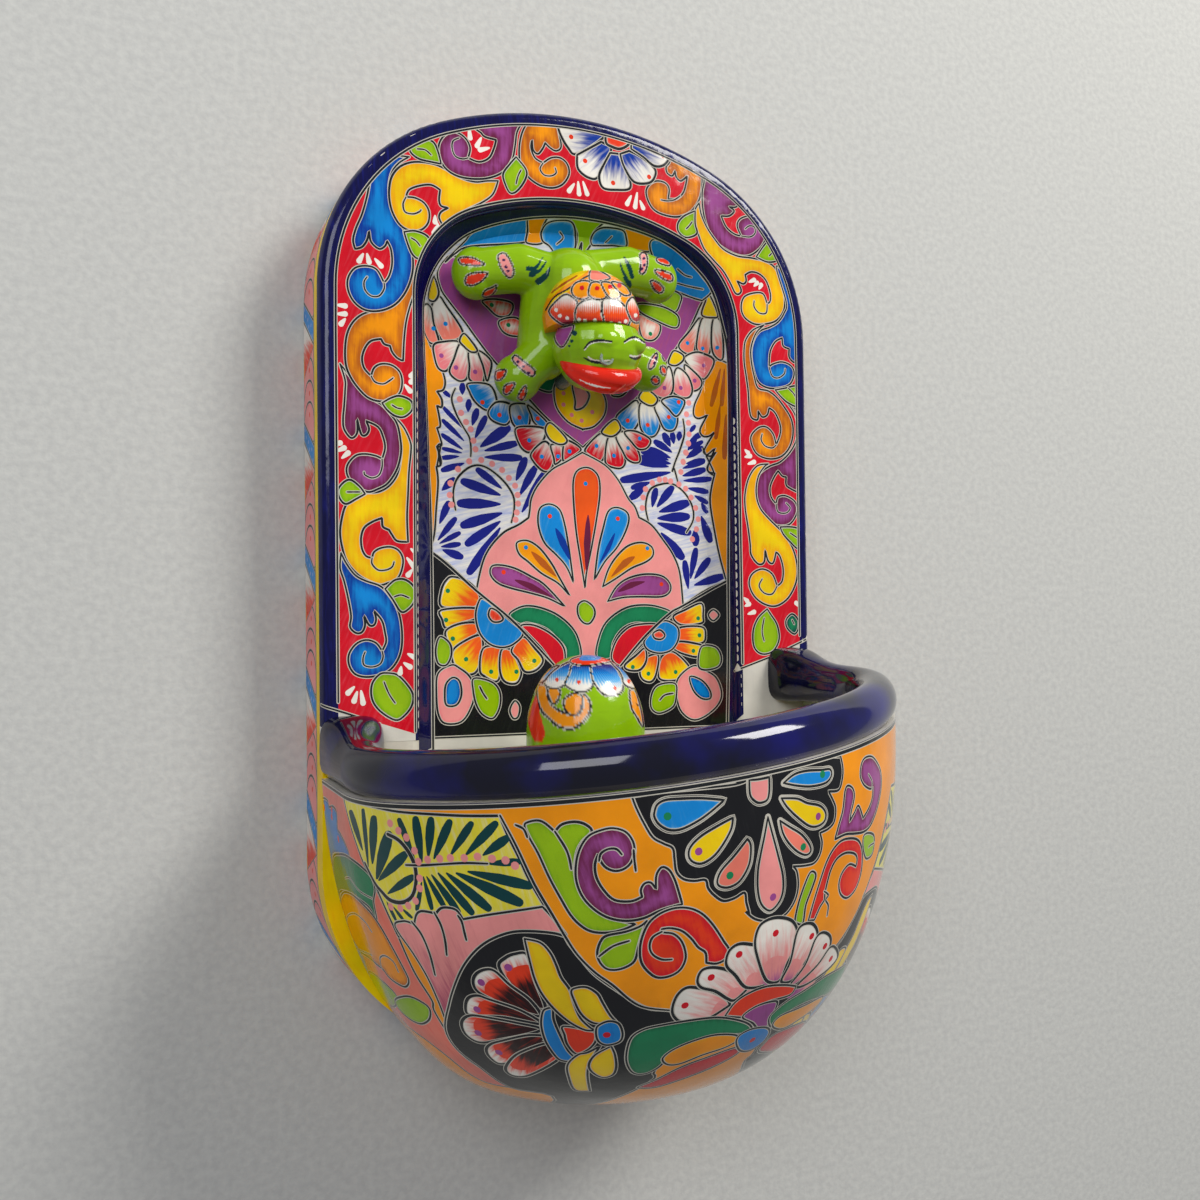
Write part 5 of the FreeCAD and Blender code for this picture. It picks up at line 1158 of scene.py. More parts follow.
def on_bowl(pixels):
    """Where places in the photograph lie on the bowl; beside it, the nearest place on its edge."""
    way = rays(pixels)
    t = np.linspace(CAMERA_NEAR, CAMERA_FAR, LOOK_STEPS)

    def look(t):
        p = CAMERA_AT + way[:, None, :] * t[..., None]
        out = FACE_Y - p[..., 1]
        turn = np.arctan2(np.abs(p[..., 0]), out)
        size = np.hypot(p[..., 0], out) / np.interp(turn, PLAN_TURN, PLAN_FAR)
        return p, size, size - np.interp(-p[..., 2], -OUT_LEVEL, OUT_SHARE)

    over = look(np.broadcast_to(t, (len(way), LOOK_STEPS)))[2]
    hit = over < 0
    first = np.where(hit.any(1), hit.argmax(1), np.maximum(over.argmin(1), 1))
    rows = np.arange(len(way))
    a, b = over[rows, first - 1], over[rows, first]
    part = np.where(hit.any(1), a / (a - b + 1e-12), 1.0)
    at = t[first - 1] + np.clip(part, 0, 1) * (t[1] - t[0])
    p, size, _ = look(at[:, None])
    p, size = p[:, 0], size[:, 0]
    turn = np.arctan2(np.abs(p[:, 0]), FACE_Y - p[:, 1])
    round_it = np.interp(turn, PLAN_TURN, PLAN_RUN) * np.sign(p[:, 0])
    below = np.interp(-p[:, 2], -OUT_LEVEL, OUT_RUN)
    by_level = np.where(p[:, 2] > RIM_Z, RIM_Z - p[:, 2], below)
    by_share = np.interp(-size, -OUT_SHARE, OUT_RUN)
    return np.column_stack([round_it, np.where(size < SHARE_BELOW, by_share, by_level)])


def bowl_share(b):
    """Share of the full plan at a way down the outside."""
    return np.where(b < 0, 1.0, np.interp(b, OUT_RUN, OUT_SHARE))


def bowl_metric(plan):
    """How much smaller the bowl is than its plan, across and down."""
    return np.column_stack([np.maximum(bowl_share(plan[:, 1]), 0.05), np.ones(len(plan))])


def plan_at(a):
    """Places on the bowl's plan at ways round it, as across and out."""
    across = np.interp(np.abs(a), PLAN_RUN, PLAN[:, 0]) * np.sign(a)
    return across, np.interp(np.abs(a), PLAN_RUN, PLAN[:, 1])


def bowl_outside(plan):
    """Where places of the bowl's plan lie on its outside."""
    across, out = plan_at(plan[:, 0])
    share = bowl_share(plan[:, 1])
    level = np.where(plan[:, 1] < 0, RIM_Z - plan[:, 1], np.interp(plan[:, 1], OUT_RUN, OUT_LEVEL))
    return np.column_stack([across * share, FACE_Y - out * share, level])


def bowl_inside(plan):
    """Where the same places lie on its inside, a wall's thickness in."""
    across, out = plan_at(plan[:, 0])
    b = plan[:, 1] * IN_RUN[-1] / OUT_RUN[-1]
    share = np.where(b < 0, 1.0, np.interp(b, IN_RUN, IN_SHARE))
    level = np.where(b < 0, RIM_Z - plan[:, 1], np.interp(b, IN_RUN, IN_LEVEL))
    wide = np.maximum(share - BASIN_WALL / BASIN_HALF, 0.002)
    deep = np.maximum(share - BASIN_WALL / BASIN_REACH, 0.002)
    return np.column_stack([across * wide, FACE_Y - out * deep, level])


def rim_edge(a):
    """How far down the side the rim's seat is, at places round the bowl."""
    across, out = plan_at(a)
    return -(RIM_SLOPE_X * across - RIM_SLOPE_Y * out)


BRUSH_WAY = (0.3, 1.0)
REACH_SCALE = 1.6
STROKE_SCALE = 0.8
LEAF_WIDTHS = (0.2, 0.6, 0.95, 1, 0.75)


def figures(sheet, items, where, turned=same, streak=0.35, level=0.05):
    """Outlined figures, each with two colours and how far the second reaches in."""
    for colour, deep, reach, outline in items:
        shape = turned(curve(where(outline), True))
        sheet.figure(shape, TINT[colour], TINT[deep], reach * REACH_SCALE, streak, BRUSH_WAY, level)


def strokes(sheet, items, where, turned=same):
    """Dark lines, each with its half width."""
    for half, line in items:
        sheet.draw(turned(curve(where(line))), half * STROKE_SCALE)


def dots(sheet, items, where, size, turned=same):
    """Round dots, colour by colour."""
    for colour, places in items:
        for dot in turned(where(places)):
            sheet.fill(dot + size * circle(10) / sheet.metric(dot[None]), TINT[colour])


def leaves(sheet, items, where, colour, turned=same):
    """Brush leaves, each from its root to its tip, as wide as the photograph shows it."""
    pixels = Sheet()
    for root, tip, wide in items:
        middle = ((root[0] + tip[0]) / 2, (root[1] + tip[1]) / 2)
        line = curve([root, middle, tip], False, 4)
        shape = where(pixels.ribbon(line, [part * wide for part in LEAF_WIDTHS]))
        sheet.fill(turned(shape), TINT[colour])


def petal(sheet, shape, root, colours, core=0.62, streak=0.4, half=0.8, deepen=1.5, tip=0.95):
    """A petal brushed from its tip through a second colour to a third at its root."""
    way = root - shape.mean(0)
    way /= np.hypot(*way)
    length = ((root - shape) @ way).max()
    far = lambda q: ((root - q) @ way) / length
    outer = lambda q: np.clip((tip - far(q)) / (1 - core), 0, 1)
    inner = lambda q: np.clip((core - far(q)) / core * deepen, 0, 1)
    first, second, third = (TINT[colour] for colour in colours)
    sheet.fill(shape, first, second, outer, streak, way, 0, spread(shape, 3.0))
    sheet.fill(root + (core + 0.1) * (shape - root), second, third, inner, streak, way, 0)
    sheet.edge(shape, half)


def bowl_left(sheet, turned=same):
    """The painting left of the orange panel; turned over it serves the far side too."""
    figures(sheet, BOWL_LEFT[:2], on_bowl, turned, 0.4, 0.12)
    figures(sheet, BOWL_LEFT[2:], on_bowl, turned)
    leaves(sheet, TEAL_LEAVES, on_bowl, "teal", turned)
    strokes(sheet, LEFT_LINES[:2], on_bowl, turned)
    dots(sheet, [("pink", TEAL_BEADS)], on_bowl, 2.1, turned)
    for colour, deep, _, outline in BOWL_SHELL:
        shape = turned(curve(on_bowl(outline), True))
        low = shape[:, 1].max()
        tone = lambda q: np.clip(1.1 - (low - q[:, 1]) / 45, 0, 1)
        sheet.fill(shape, TINT[colour], TINT[deep], tone, 0.4, (0.3, 1), 0, spread(shape, 4))
        sheet.edge(shape)
    strokes(sheet, LEFT_LINES[2:], on_bowl, turned)
    figures(sheet, BOWL_FIELD, on_bowl, turned, 0.3, 0.0)
    root = turned(on_bowl(DARK_ROOT))[0]
    for outline in DARK_PETALS:
        shape = turned(curve(on_bowl(outline), True))
        petal(sheet, shape, root, ("white", "scarlet", "ember"), 0.74, 0.5, 0.8, 4.0, 0.98)
    figures(sheet, BOWL_RIBBONS, on_bowl, turned)


def bowl():
    """The painted bowl: the orange panel in front, the same painting on either side of it."""
    sheet = Sheet(bowl_metric)
    side = PLAN_RUN[-1]
    a = np.linspace(-side, side, BOWL_ROUND_STEPS)
    down = np.linspace(0, 1, BOWL_DOWN_STEPS)[1:-1]
    foot = OUT_RUN[-1]
    top = rim_edge(a)
    left = np.column_stack([np.full(len(down), -side), top[0] + (foot - top[0]) * down])
    right = np.column_stack([np.full(len(down), side), top[-1] + (foot - top[-1]) * down])
    under = np.column_stack([a[::-1], np.full(len(a), foot)])
    border = np.vstack([np.column_stack([a, top]), right, under, left[::-1]])
    sheet.fill(box(*(border.min(0) - 2), *(border.max(0) + 2)), ORANGE, AMBER, streak=0.35)
    edge, far_edge = curve(on_bowl(PANEL_EDGE)), curve(on_bowl(PANEL_RIGHT))
    ends = [np.interp(PANEL_LEVELS, line[:, 1], line[:, 0]) for line in (edge, far_edge)]
    middle = (ends[0] + ends[1]).mean() / 2
    turned = lambda q: np.column_stack([2 * middle - q[:, 0], q[:, 1]])
    bowl_left(sheet, turned)
    bowl_left(sheet)
    dots(sheet, BOWL_DOTS[3:], on_bowl, 2.1)
    figures(sheet, BOWL_PANEL, on_bowl)
    figures(sheet, BOWL_BLACK, on_bowl)
    for colour, deep, reach, outline in BOWL_DROPS:
        shape = curve(on_bowl(outline), True)
        sheet.edge(shape, 1.3, 0.5)
        sheet.figure(shape, TINT[colour], TINT[deep], reach, 0.3, (0.3, 1), 0.0)
    strokes(sheet, PANEL_LINES, on_bowl)
    sheet.draw(edge)
    sheet.draw(turned(edge))
    root = on_bowl(WHITE_ROOT)[0]
    for outline in WHITE_PETALS:
        petal(sheet, curve(on_bowl(outline), True), root, ("white", "pink", "purple"), 0.55, 0.4, 0.8, 2.6)
    figures(sheet, BOWL_FOOT_FIGURES, on_bowl)
    dots(sheet, BOWL_DOTS[:3], on_bowl, 2.0)
    sheet.fill(np.vstack([np.column_stack([a, top - 2]), np.column_stack([a, top + 1.2])[::-1]]), COBALT)
    sheet.draw(np.column_stack([a, top + 1.8]), RIM_LINE_WIDE, 0.5)
    gx, gy = np.meshgrid(np.arange(-side + 4, side, BOWL_GRID), np.arange(-20, foot - 3, BOWL_GRID))
    grid = np.column_stack([gx.ravel(), gy.ravel()])
    grid = grid[inside(grid, border)]
    grid = grid[gap(grid, border) > 2.5]
    shape = paint("bowl", sheet, [border], bowl_outside, bowl_inside, GLAZE, [grid], [grid])
    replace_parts(shape, "basin_bowl")


# The niche's figures, in the same pixels. A flower has its petals' colours, its root and their outlines.
FEATHERS = [
    ((458.7, 456.4), (442.3, 457.9), 2.6), ((461.6, 452.9), (443, 448.6), 2.3),
    ((462.3, 449.3), (442.3, 435), 2.6), ((463.7, 440.7), (443, 420.7), 2.6),
    ((462.3, 427.9), (443.7, 407.9), 2.3), ((451.6, 397.9), (443.7, 391.4), 2.3),
    ((475.1, 437.9), (485.1, 417.9), 3.6), ((472.3, 425), (476.6, 410.7), 3.6),
    ((468, 411.4), (468.7, 401.4), 3.3), ((462.3, 394.3), (462.3, 385), 3.3),
    ((480.9, 446.4), (506.6, 428.6), 5.8), ((485.1, 450.7), (515.1, 443.6), 4.1),
    ((485.1, 457.1), (519.4, 457.9), 4.1), ((463.8, 463.3), (443, 470), 3.4),
    ((499.7, 495), (463.8, 481.7), 5), ((501.3, 488.3), (478, 470), 3.8),
    ((499.7, 504.2), (460.5, 503.3), 5.4), ((501.3, 513.3), (463.8, 525), 5.4),
    ((499.7, 521.7), (468, 543.3), 5), ((499.7, 528.3), (469.7, 571.7), 5),
    ((516.3, 480), (524.7, 460), 4.2), ((519.7, 495), (534.7, 468.3), 4.2),
    ((522.2, 511.7), (544.7, 473.3), 4.6), ((438, 540), (454.7, 519.2), 3.4),
    ((439.7, 543.3), (458.8, 533.3), 2.9), ((441.3, 546.7), (458.8, 544.2), 2.9),
    ((443, 550), (460.5, 556.7), 4.2), ((439.7, 523.3), (448, 503.3), 3.8),
    ((442.2, 490), (453, 480), 4.2), ((683.8, 480.8), (709.7, 479.2), 3.1),
    ((683, 475.8), (703, 470), 3.8), ((683, 468.3), (703, 461.7), 3.1), ((688, 455), (701.3, 448.3), 3.4),
    ((688, 450), (694.7, 440), 3.1), ((688, 488.3), (706.3, 491.7), 3.1),
    ((694.7, 495.8), (706.3, 502.5), 2.7), ((701.3, 503.3), (706.3, 511.7), 2.7),
    ((669.7, 472.5), (623, 480), 4.6), ((668, 466.7), (639.7, 461.7), 3.8),
    ((668, 460), (643, 451.7), 3.4), ((652.2, 506.7), (655.5, 490), 3.4),
    ((657.2, 506.7), (671.3, 488.3), 4.2), ((659.7, 511.7), (686.3, 503.3), 5),
    ((658, 518.3), (686.3, 516.7), 5), ((658, 523.3), (688, 532.5), 4.6),
    ((644.7, 487.5), (631.3, 497.5), 4.2), ((649.7, 482.5), (633, 487.5), 3.4),
    ((661.3, 533.3), (681.3, 556.7), 5), ((701.3, 516.7), (709.7, 540), 4.2),
    ((694.7, 530), (695.5, 543.3), 4.2), ((688, 588.3), (684.7, 562.5), 3.4),
    ((690.5, 578.3), (695.5, 550), 3.4), ((694.7, 578.3), (708, 560), 3.8),
    ((694.7, 585), (721.3, 576.7), 4.2), ((670, 463.6), (641.4, 457.9), 4.1),
    ((670, 457.9), (650, 449.3), 3.6), ((671.4, 452.1), (655.7, 442.1), 3.6),
    ((670, 446.4), (664.3, 435), 3.6), ((673.6, 443.6), (672.1, 433.6), 3),
    ((678.6, 440.7), (679.3, 433.6), 3), ((686.4, 463.6), (702.9, 460.7), 3.3),
    ((686.4, 457.9), (698.6, 450.7), 3), ((689.3, 449.3), (701.4, 442.1), 2.6),
    ((690, 440.7), (701.4, 433.6), 3), ((689.3, 432.9), (694.3, 426.4), 2.3),
]
FEATHER_BEADS = xy(459.7, 399.3, 460.9, 412.9, 465.9, 422.1, 470.6, 429.3, 473.4, 440.7, 475.4, 449.3,
     469.1, 461.4, 481.1, 460.0, 492.0, 463.9, 502.0, 470.0, 458.0, 469.2, 450.5, 483.3, 449.7, 495.0,
     451.3, 504.7, 508.8, 478.0, 515.0, 485.8, 517.5, 495.0, 518.0, 503.7, 516.7, 512.5, 515.5, 519.7,
     688.0, 443.3, 685.5, 452.5, 683.0, 461.7, 680.8, 472.0, 678.8, 484.2, 670.5, 481.3, 665.0, 479.7,
     659.3, 479.7, 652.2, 483.0, 645.5, 489.2, 643.0, 497.5, 642.2, 508.0, 685.5, 488.7, 691.0, 497.5,
     695.5, 508.0, 698.0, 519.2, 696.3, 529.2, 692.2, 539.2, 688.6, 402.9, 686.4, 414.3, 688.3, 422.9,
     688.9, 434.3, 688.3, 443.6, 686.0, 452.9, 683.1, 462.1)
FEATHER_LINES = [
    (0.7, xy(455.1, 388.6, 451.6, 399.3, 456.6, 415, 463.7, 427.9, 469.4, 437.9, 470.9, 449.3,
      470.6, 456.4)),
    (0.8, xy(455.5, 510, 453, 495, 456.3, 480, 466.3, 469.2, 476.3, 465.3, 486.3, 467.5, 498, 475.8,
      508, 486.7, 513.8, 498.3, 513.8, 511.7, 511.3, 522.5)),
    (0.8, xy(682.9, 419.3, 684.3, 433.6, 680, 449.3, 675, 462.1, 672.1, 472.1, 673.8, 468.3, 678, 483.3)),
    (0.8, xy(648.8, 523.3, 645.5, 506.7, 649.7, 490, 661.3, 484.2, 673, 484.2, 684.7, 493.3, 692.2, 506.7,
      693, 520, 686.3, 532.5)),
]
NICHE_SIDES = [
    ("orange", "amber", 0, xy(419.4, 337.9, 430.9, 346.4, 436.6, 357.9, 442.3, 370.7, 445.1, 382.1,
      443, 390, 436.9, 391.4, 436.9, 391.4, 441.6, 399.3, 441.6, 407.1, 436.9, 405.7, 436.9, 405.7,
      439.4, 417.9, 440.1, 426.4, 436.9, 427.9, 436.9, 427.9, 440.1, 437.9, 441.6, 445, 438, 447.1,
      438, 447.1, 438.7, 456.4, 440.1, 465, 436.9, 466.4, 436.9, 466.4, 440.5, 445, 436.7, 446.7,
      436.7, 446.7, 440.5, 458.3, 440.5, 465, 436.3, 466.7, 436.3, 466.7, 438, 481.7, 436.3, 506.7,
      433, 540, 426.3, 548.3, 408, 548.3, 408, 456.7)),
    ("orange", "amber", 0, xy(721.4, 360.7, 712.9, 363.6, 705.7, 375, 700, 392.1, 694.3, 405, 693.6, 415,
      698.6, 418.6, 707.1, 415, 707.1, 415, 700, 429.3, 702.1, 435.7, 708.6, 436.4, 714.3, 432.1,
      714.3, 432.1, 704.3, 449.3, 704.3, 453.6, 710, 456.4, 715.7, 452.1, 715.7, 452.1, 707.1, 466.4,
      708.6, 472.1, 714.3, 473.6, 703, 448.3, 706.3, 455, 714.7, 448.3, 714.7, 448.3, 708, 465,
      708, 471.7, 714.7, 473.3, 714.7, 473.3, 711.3, 486.7, 709.7, 503.3, 714.7, 533.3, 719.7, 556.7,
      725.5, 579.2, 725.5, 579.2, 754.7, 579.2, 754.7, 440, 754.7, 390, 744.7, 383.3)),
]
SIDE_STROKES = [
    ((720, 369.3), (711.4, 405), 2.6), ((720, 405), (715.7, 437.9), 2.3),
    ((725.7, 415), (724.3, 457.9), 2.6), ((724.3, 369.3), (721.4, 405), 2.3),
]
HALF_FLOWERS = [
    ("salmon", "white", (436.6, 295),
     [xy(438.7, 296.4, 446.6, 306.4, 462.3, 330.7, 458, 339.3, 445.1, 341.4, 440.1, 337.9, 433.7, 323.6,
       430.9, 307.9), xy(430.1, 306.4, 433.7, 323.6, 438.7, 340.7, 435.1, 344.3, 428, 340.7, 423.7, 329.3,
       423.7, 306.4)]),
    ("rose", "white", (469.4, 337.9),
     [xy(458.7, 342.1, 453.7, 357.9, 446.6, 370.7, 438, 367.9, 433.7, 353.6, 433.7, 345, 440.9, 342.1),
      xy(460.1, 343.6, 468, 352.1, 468.7, 369.3, 465.9, 379.3, 458, 380.7, 449.4, 372.1, 453.7, 359.3),
      xy(468.7, 352.1, 479.4, 355, 483, 366.4, 484.4, 375, 480.9, 385, 469.4, 379.3, 469.4, 366.4),
      xy(478, 350.7, 490.9, 360.7, 489.4, 375, 486.6, 380.7, 483, 366.4)]),
    ("blue", "white", (508, 383.6),
     [xy(468, 383.6, 489.4, 385, 496.6, 400.7, 490.9, 407.9, 485.1, 410, 475.1, 402.1, 469.4, 392.1),
      xy(488, 412.1, 496.6, 402.1, 510.9, 405, 510.9, 417.9, 505.1, 425, 492.3, 420.7),
      xy(510.9, 405, 528, 405, 530.1, 417.9, 526.6, 429.3, 516.6, 427.9, 510.9, 419.3),
      xy(528, 405, 548, 423.6, 540.9, 427.9, 533.7, 422.1, 530.9, 415)]),
    ("red", "white", (556.6, 429.3),
     [xy(515.1, 429.3, 528, 426.4, 545.1, 429.3, 542.3, 442.1, 533.7, 450.7, 526.6, 452.1, 519.4, 445),
      xy(530.9, 453.6, 542.3, 442.1, 549.4, 445, 553.7, 460.7, 549.4, 470.7, 542.3, 470.7, 533.7, 462.1),
      xy(550.9, 445, 562.3, 446.4, 562.3, 457.9, 555.1, 464.3, 553.7, 457.9),
      xy(563.7, 443.6, 568.7, 440.7, 580.9, 449.3, 570.9, 457.9, 563, 460.7)]),
    ("salmon", "white", (710, 313.6),
     [xy(700, 317.9, 695.7, 343.6, 692.9, 353.6, 684.3, 352.9, 678.6, 345, 688.6, 332.1),
      xy(701.4, 319.3, 712.9, 317.9, 711.4, 343.6, 707.1, 356.4, 698.6, 352.1, 696.4, 343.6),
      xy(712.9, 319.3, 721.4, 323.6, 722.9, 357.9, 714.3, 356.4, 711.4, 343.6)]),
    ("rose", "white", (675.7, 356.4),
     [xy(684.3, 357.9, 698.6, 352.1, 713.6, 359.3, 710, 372.1, 702.9, 379.3, 692.9, 370.7),
      xy(684.3, 365, 694.3, 372.1, 701.4, 380.7, 700, 387.9, 692.9, 390.7, 687.1, 380.7),
      xy(677.1, 367.9, 687.1, 375, 692.1, 387.9, 690, 396.4, 682.9, 397.9, 672.9, 392.1, 672.9, 379.3),
      xy(668.6, 366.4, 672.9, 377.9, 672.1, 392.1, 664.3, 398.6, 654.3, 395, 650, 388.6, 661.4, 379.3)]),
    ("blue", "white", (645.7, 396.4),
     [xy(637.1, 400.7, 640, 417.9, 632.9, 430.7, 624.3, 429.3, 615.7, 417.9, 627.1, 406.4),
      xy(640, 403.6, 652.9, 406.4, 660, 422.1, 655.7, 435, 647.1, 436.4, 640, 426.4),
      xy(654.3, 406.4, 661.4, 400.7, 675.7, 413.6, 677.1, 423.6, 672.9, 430.7, 664.3, 429.3, 658.6, 417.9),
      xy(661.4, 400.7, 672.9, 396.4, 684.3, 400.7, 681.4, 410.7, 675.7, 416.4, 668.6, 409.3)]),
    ("red", "white", (608.6, 426.4),
     [xy(600, 433.6, 607.9, 437.9, 604.3, 456.4, 598.6, 462.1, 590, 456.4, 585, 449.3),
      xy(607.9, 437.9, 615.7, 437.9, 624.3, 456.4, 624.3, 465, 618.6, 468.6, 607.1, 465, 605, 456.4),
      xy(615.7, 436.4, 624.3, 432.1, 637.1, 449.3, 640, 460.7, 634.3, 462.9, 627.1, 459.3, 622.9, 452.1),
      xy(624.3, 432.1, 635.7, 431.4, 650, 439.3, 647.1, 447.9, 638.6, 449.3, 631.4, 442.1)]),
]
FLOWER_CENTRES = [
    ("yellow", "amber", 0, xy(433.7, 276.4, 438.7, 292.1, 435.1, 300.7, 430.1, 300.7, 428, 295)),
    ("yellow", "amber", 0, xy(463.7, 333.6, 470.9, 340.7, 477.3, 350.7, 470.9, 352.1, 463.7, 346.4,
      459.4, 340.7)),
    ("yellow", "amber", 0, xy(550.9, 422.9, 565.9, 437.9, 565.1, 443.6, 558, 444.3, 549.4, 439.3,
      545.1, 429.3)),
    ("yellow", "amber", 0, xy(708.6, 294.3, 717.9, 315, 711.4, 317.9, 701.4, 315, 705, 302.1)),
    ("yellow", "amber", 0, xy(674.3, 350.7, 682.9, 355, 682.9, 360.7, 675.7, 365.7, 668.6, 363.6,
      670, 356.4)),
    ("yellow", "amber", 0, xy(645.7, 389.3, 657.1, 397.9, 654.3, 405, 647.1, 405, 638.6, 397.9)),
    ("yellow", "amber", 0, xy(614.3, 419.3, 620.7, 427.9, 615.7, 435, 608.6, 436.4, 601.4, 431.4)),
]
NICHE_DOTS = [
    ("blue", xy(445.4, 323.9, 433.4, 328.6, 529.1, 440.4, 541.7, 456.7, 558, 456.4, 569.4, 451.4,
      687.4, 343.1, 702.6, 348.6, 716.9, 347.9, 596.4, 446, 613.9, 455.7, 627.9, 448.1, 639.6, 438.6,
      585.5, 483.7, 525.8, 547.5, 647.2, 548.3)),
    ("purple", xy(441.3, 355.7, 455.9, 367.6, 475.1, 371.9, 703.6, 365.7, 694.6, 380.7, 680.7, 387.9,
      664.3, 387.9)),
    ("scarlet", xy(482.3, 402.4, 499.4, 415, 519.4, 417.6, 537.7, 418.6, 627.6, 420.7, 647.6, 425,
      668.6, 417.1, 678.6, 402.1, 549.7, 516.2, 617.7, 518.7, 503.5, 572.2, 661.3, 584.2)),
    ("green", xy(491.6, 305, 508.3, 325, 650.3, 333.9, 447.7, 590.8, 446, 620, 452.7, 638.7, 466, 659.2,
      491, 671.7, 516.3, 671.7, 534.2, 660.8, 698, 618.3, 699.3, 635.3, 693.3, 650.8, 675.5, 672,
      648.3, 673.7, 632.7, 667)),
    ("rose", xy(563.4, 393.3, 563.4, 404.7, 571.6, 415, 581.6, 420.7, 592.1, 412.1, 581.4, 420.7)),
]
NICHE_VEE = [
    ("purple", "plum", 0, xy(437.3, 272.1, 440.9, 289.3, 449.4, 302.1, 463.7, 320.7, 478, 340.7,
      493.7, 360.7, 525.1, 395, 549.4, 420.7, 582.7, 447.1, 582.7, 447.1, 614.3, 419.3, 638.6, 396.4,
      655.7, 379.3, 668.6, 359.3, 681.4, 340.7, 690, 327.9, 702.9, 300.7, 702.9, 300.7, 681.4, 295,
      627.1, 286.4, 513.7, 257.9, 455.1, 256.4, 445.1, 259.3)),
]
NICHE_TOP = [
    ("blue", "sky", 0, xy(445.1, 262.1, 463.7, 242.1, 470.9, 233.6, 488, 223.6, 508, 217.9, 528, 216.4,
      528, 216.4, 526.6, 230.7, 526.6, 242.1, 470.9, 246.4, 455.1, 253.6)),
    ("orange", "amber", 0, xy(528.7, 216.4, 548, 216.4, 548, 216.4, 542.3, 227.9, 542.3, 242.9,
      526.6, 242.9, 527.3, 232.1)),
    ("lime", "lime_deep", 0, xy(569.4, 216.4, 590, 216.4, 571.4, 217.9, 604.3, 222.1, 604.3, 222.1,
      593.6, 232.1, 592.1, 242.1, 581.4, 257.9, 574.3, 267.9, 575.1, 266.4, 565.1, 262.1, 575.1, 249.3,
      576.6, 233.6)),
    ("blue", "sky", 2, xy(556.6, 220.7, 570.9, 222.1, 575.1, 233.6, 575.1, 247.9, 568, 257.9,
      559.4, 259.3, 549.4, 246.4, 542.3, 240.7, 541.6, 230.7, 546.6, 223.6)),
    ("scarlet", "red", 0, xy(581.6, 242.9, 580.1, 257.9, 577.3, 266.4, 574.9, 265, 578.7, 250.7)),
    ("orange", "amber", 0, xy(625.7, 227.9, 655.7, 236.4, 655.7, 242.1, 650, 251.4, 634.3, 250,
      624.3, 246.4)),
    ("blue", "sky", 2, xy(591.4, 244.3, 592.9, 233.6, 601.4, 227.9, 612.9, 227.9, 622.9, 230.7,
      625.7, 237.9, 625.7, 246.4, 612.9, 245.7, 598.6, 245.7)),
    ("blue", "blue_deep", 0, xy(654.3, 239.3, 675.7, 247.9, 691.4, 262.1, 701.4, 276.4, 711.4, 290.7,
      702.1, 300.7, 702.1, 300.7, 681.4, 293.6, 670, 286.4, 650, 250.7)),
    ("white", "scarlet", 4, xy(482.3, 300.7, 488, 307.9, 498, 316.4, 509.4, 315, 512.3, 303.6,
      496.6, 299.3)),
    ("white", "scarlet", 4, xy(499.4, 320.7, 500.9, 329.3, 508, 335, 519.4, 336.4, 528, 332.1,
      516.6, 317.9)),
    ("white", "salmon", 4, xy(638.6, 315, 650, 319.3, 660, 325, 658.6, 335, 651.4, 340.7, 641.4, 336.4)),
    ("lime", "lime_deep", 2, xy(650, 297.9, 670, 290.7, 680.7, 295, 680, 303.6, 674.3, 312.1, 658.6, 303.6)),
    ("lime", "lime_deep", 2, xy(638.6, 303.6, 661.4, 306.4, 677.1, 315, 678.6, 325, 672.9, 327.9,
      655.7, 320.7, 640, 312.1)),
    ("green", "green_deep", 3, xy(538, 380.7, 549.4, 369.3, 563.7, 366.4, 566.6, 370.7, 556.6, 382.1,
      550.9, 392.1, 536.6, 387.9)),
    ("green", "green_deep", 3, xy(611.4, 395, 618.6, 386.4, 628.6, 383.6, 627.1, 390.7, 620, 396.4)),
    ("yellow", "amber", 4, xy(553.7, 390.7, 556.6, 382.1, 565.1, 377.9, 590, 377.9, 598.6, 386.4,
      605.7, 400.7, 604.3, 415, 594.3, 426.4, 582.9, 429.3, 582.3, 429.3, 568, 422.1, 556.6, 407.9)),
    ("pink", "rose", 2, xy(572.3, 385, 575.1, 400.7, 575.1, 409.3, 582.3, 407.9, 587.1, 402.1,
      588.6, 393.6, 578.6, 383.6)),
]
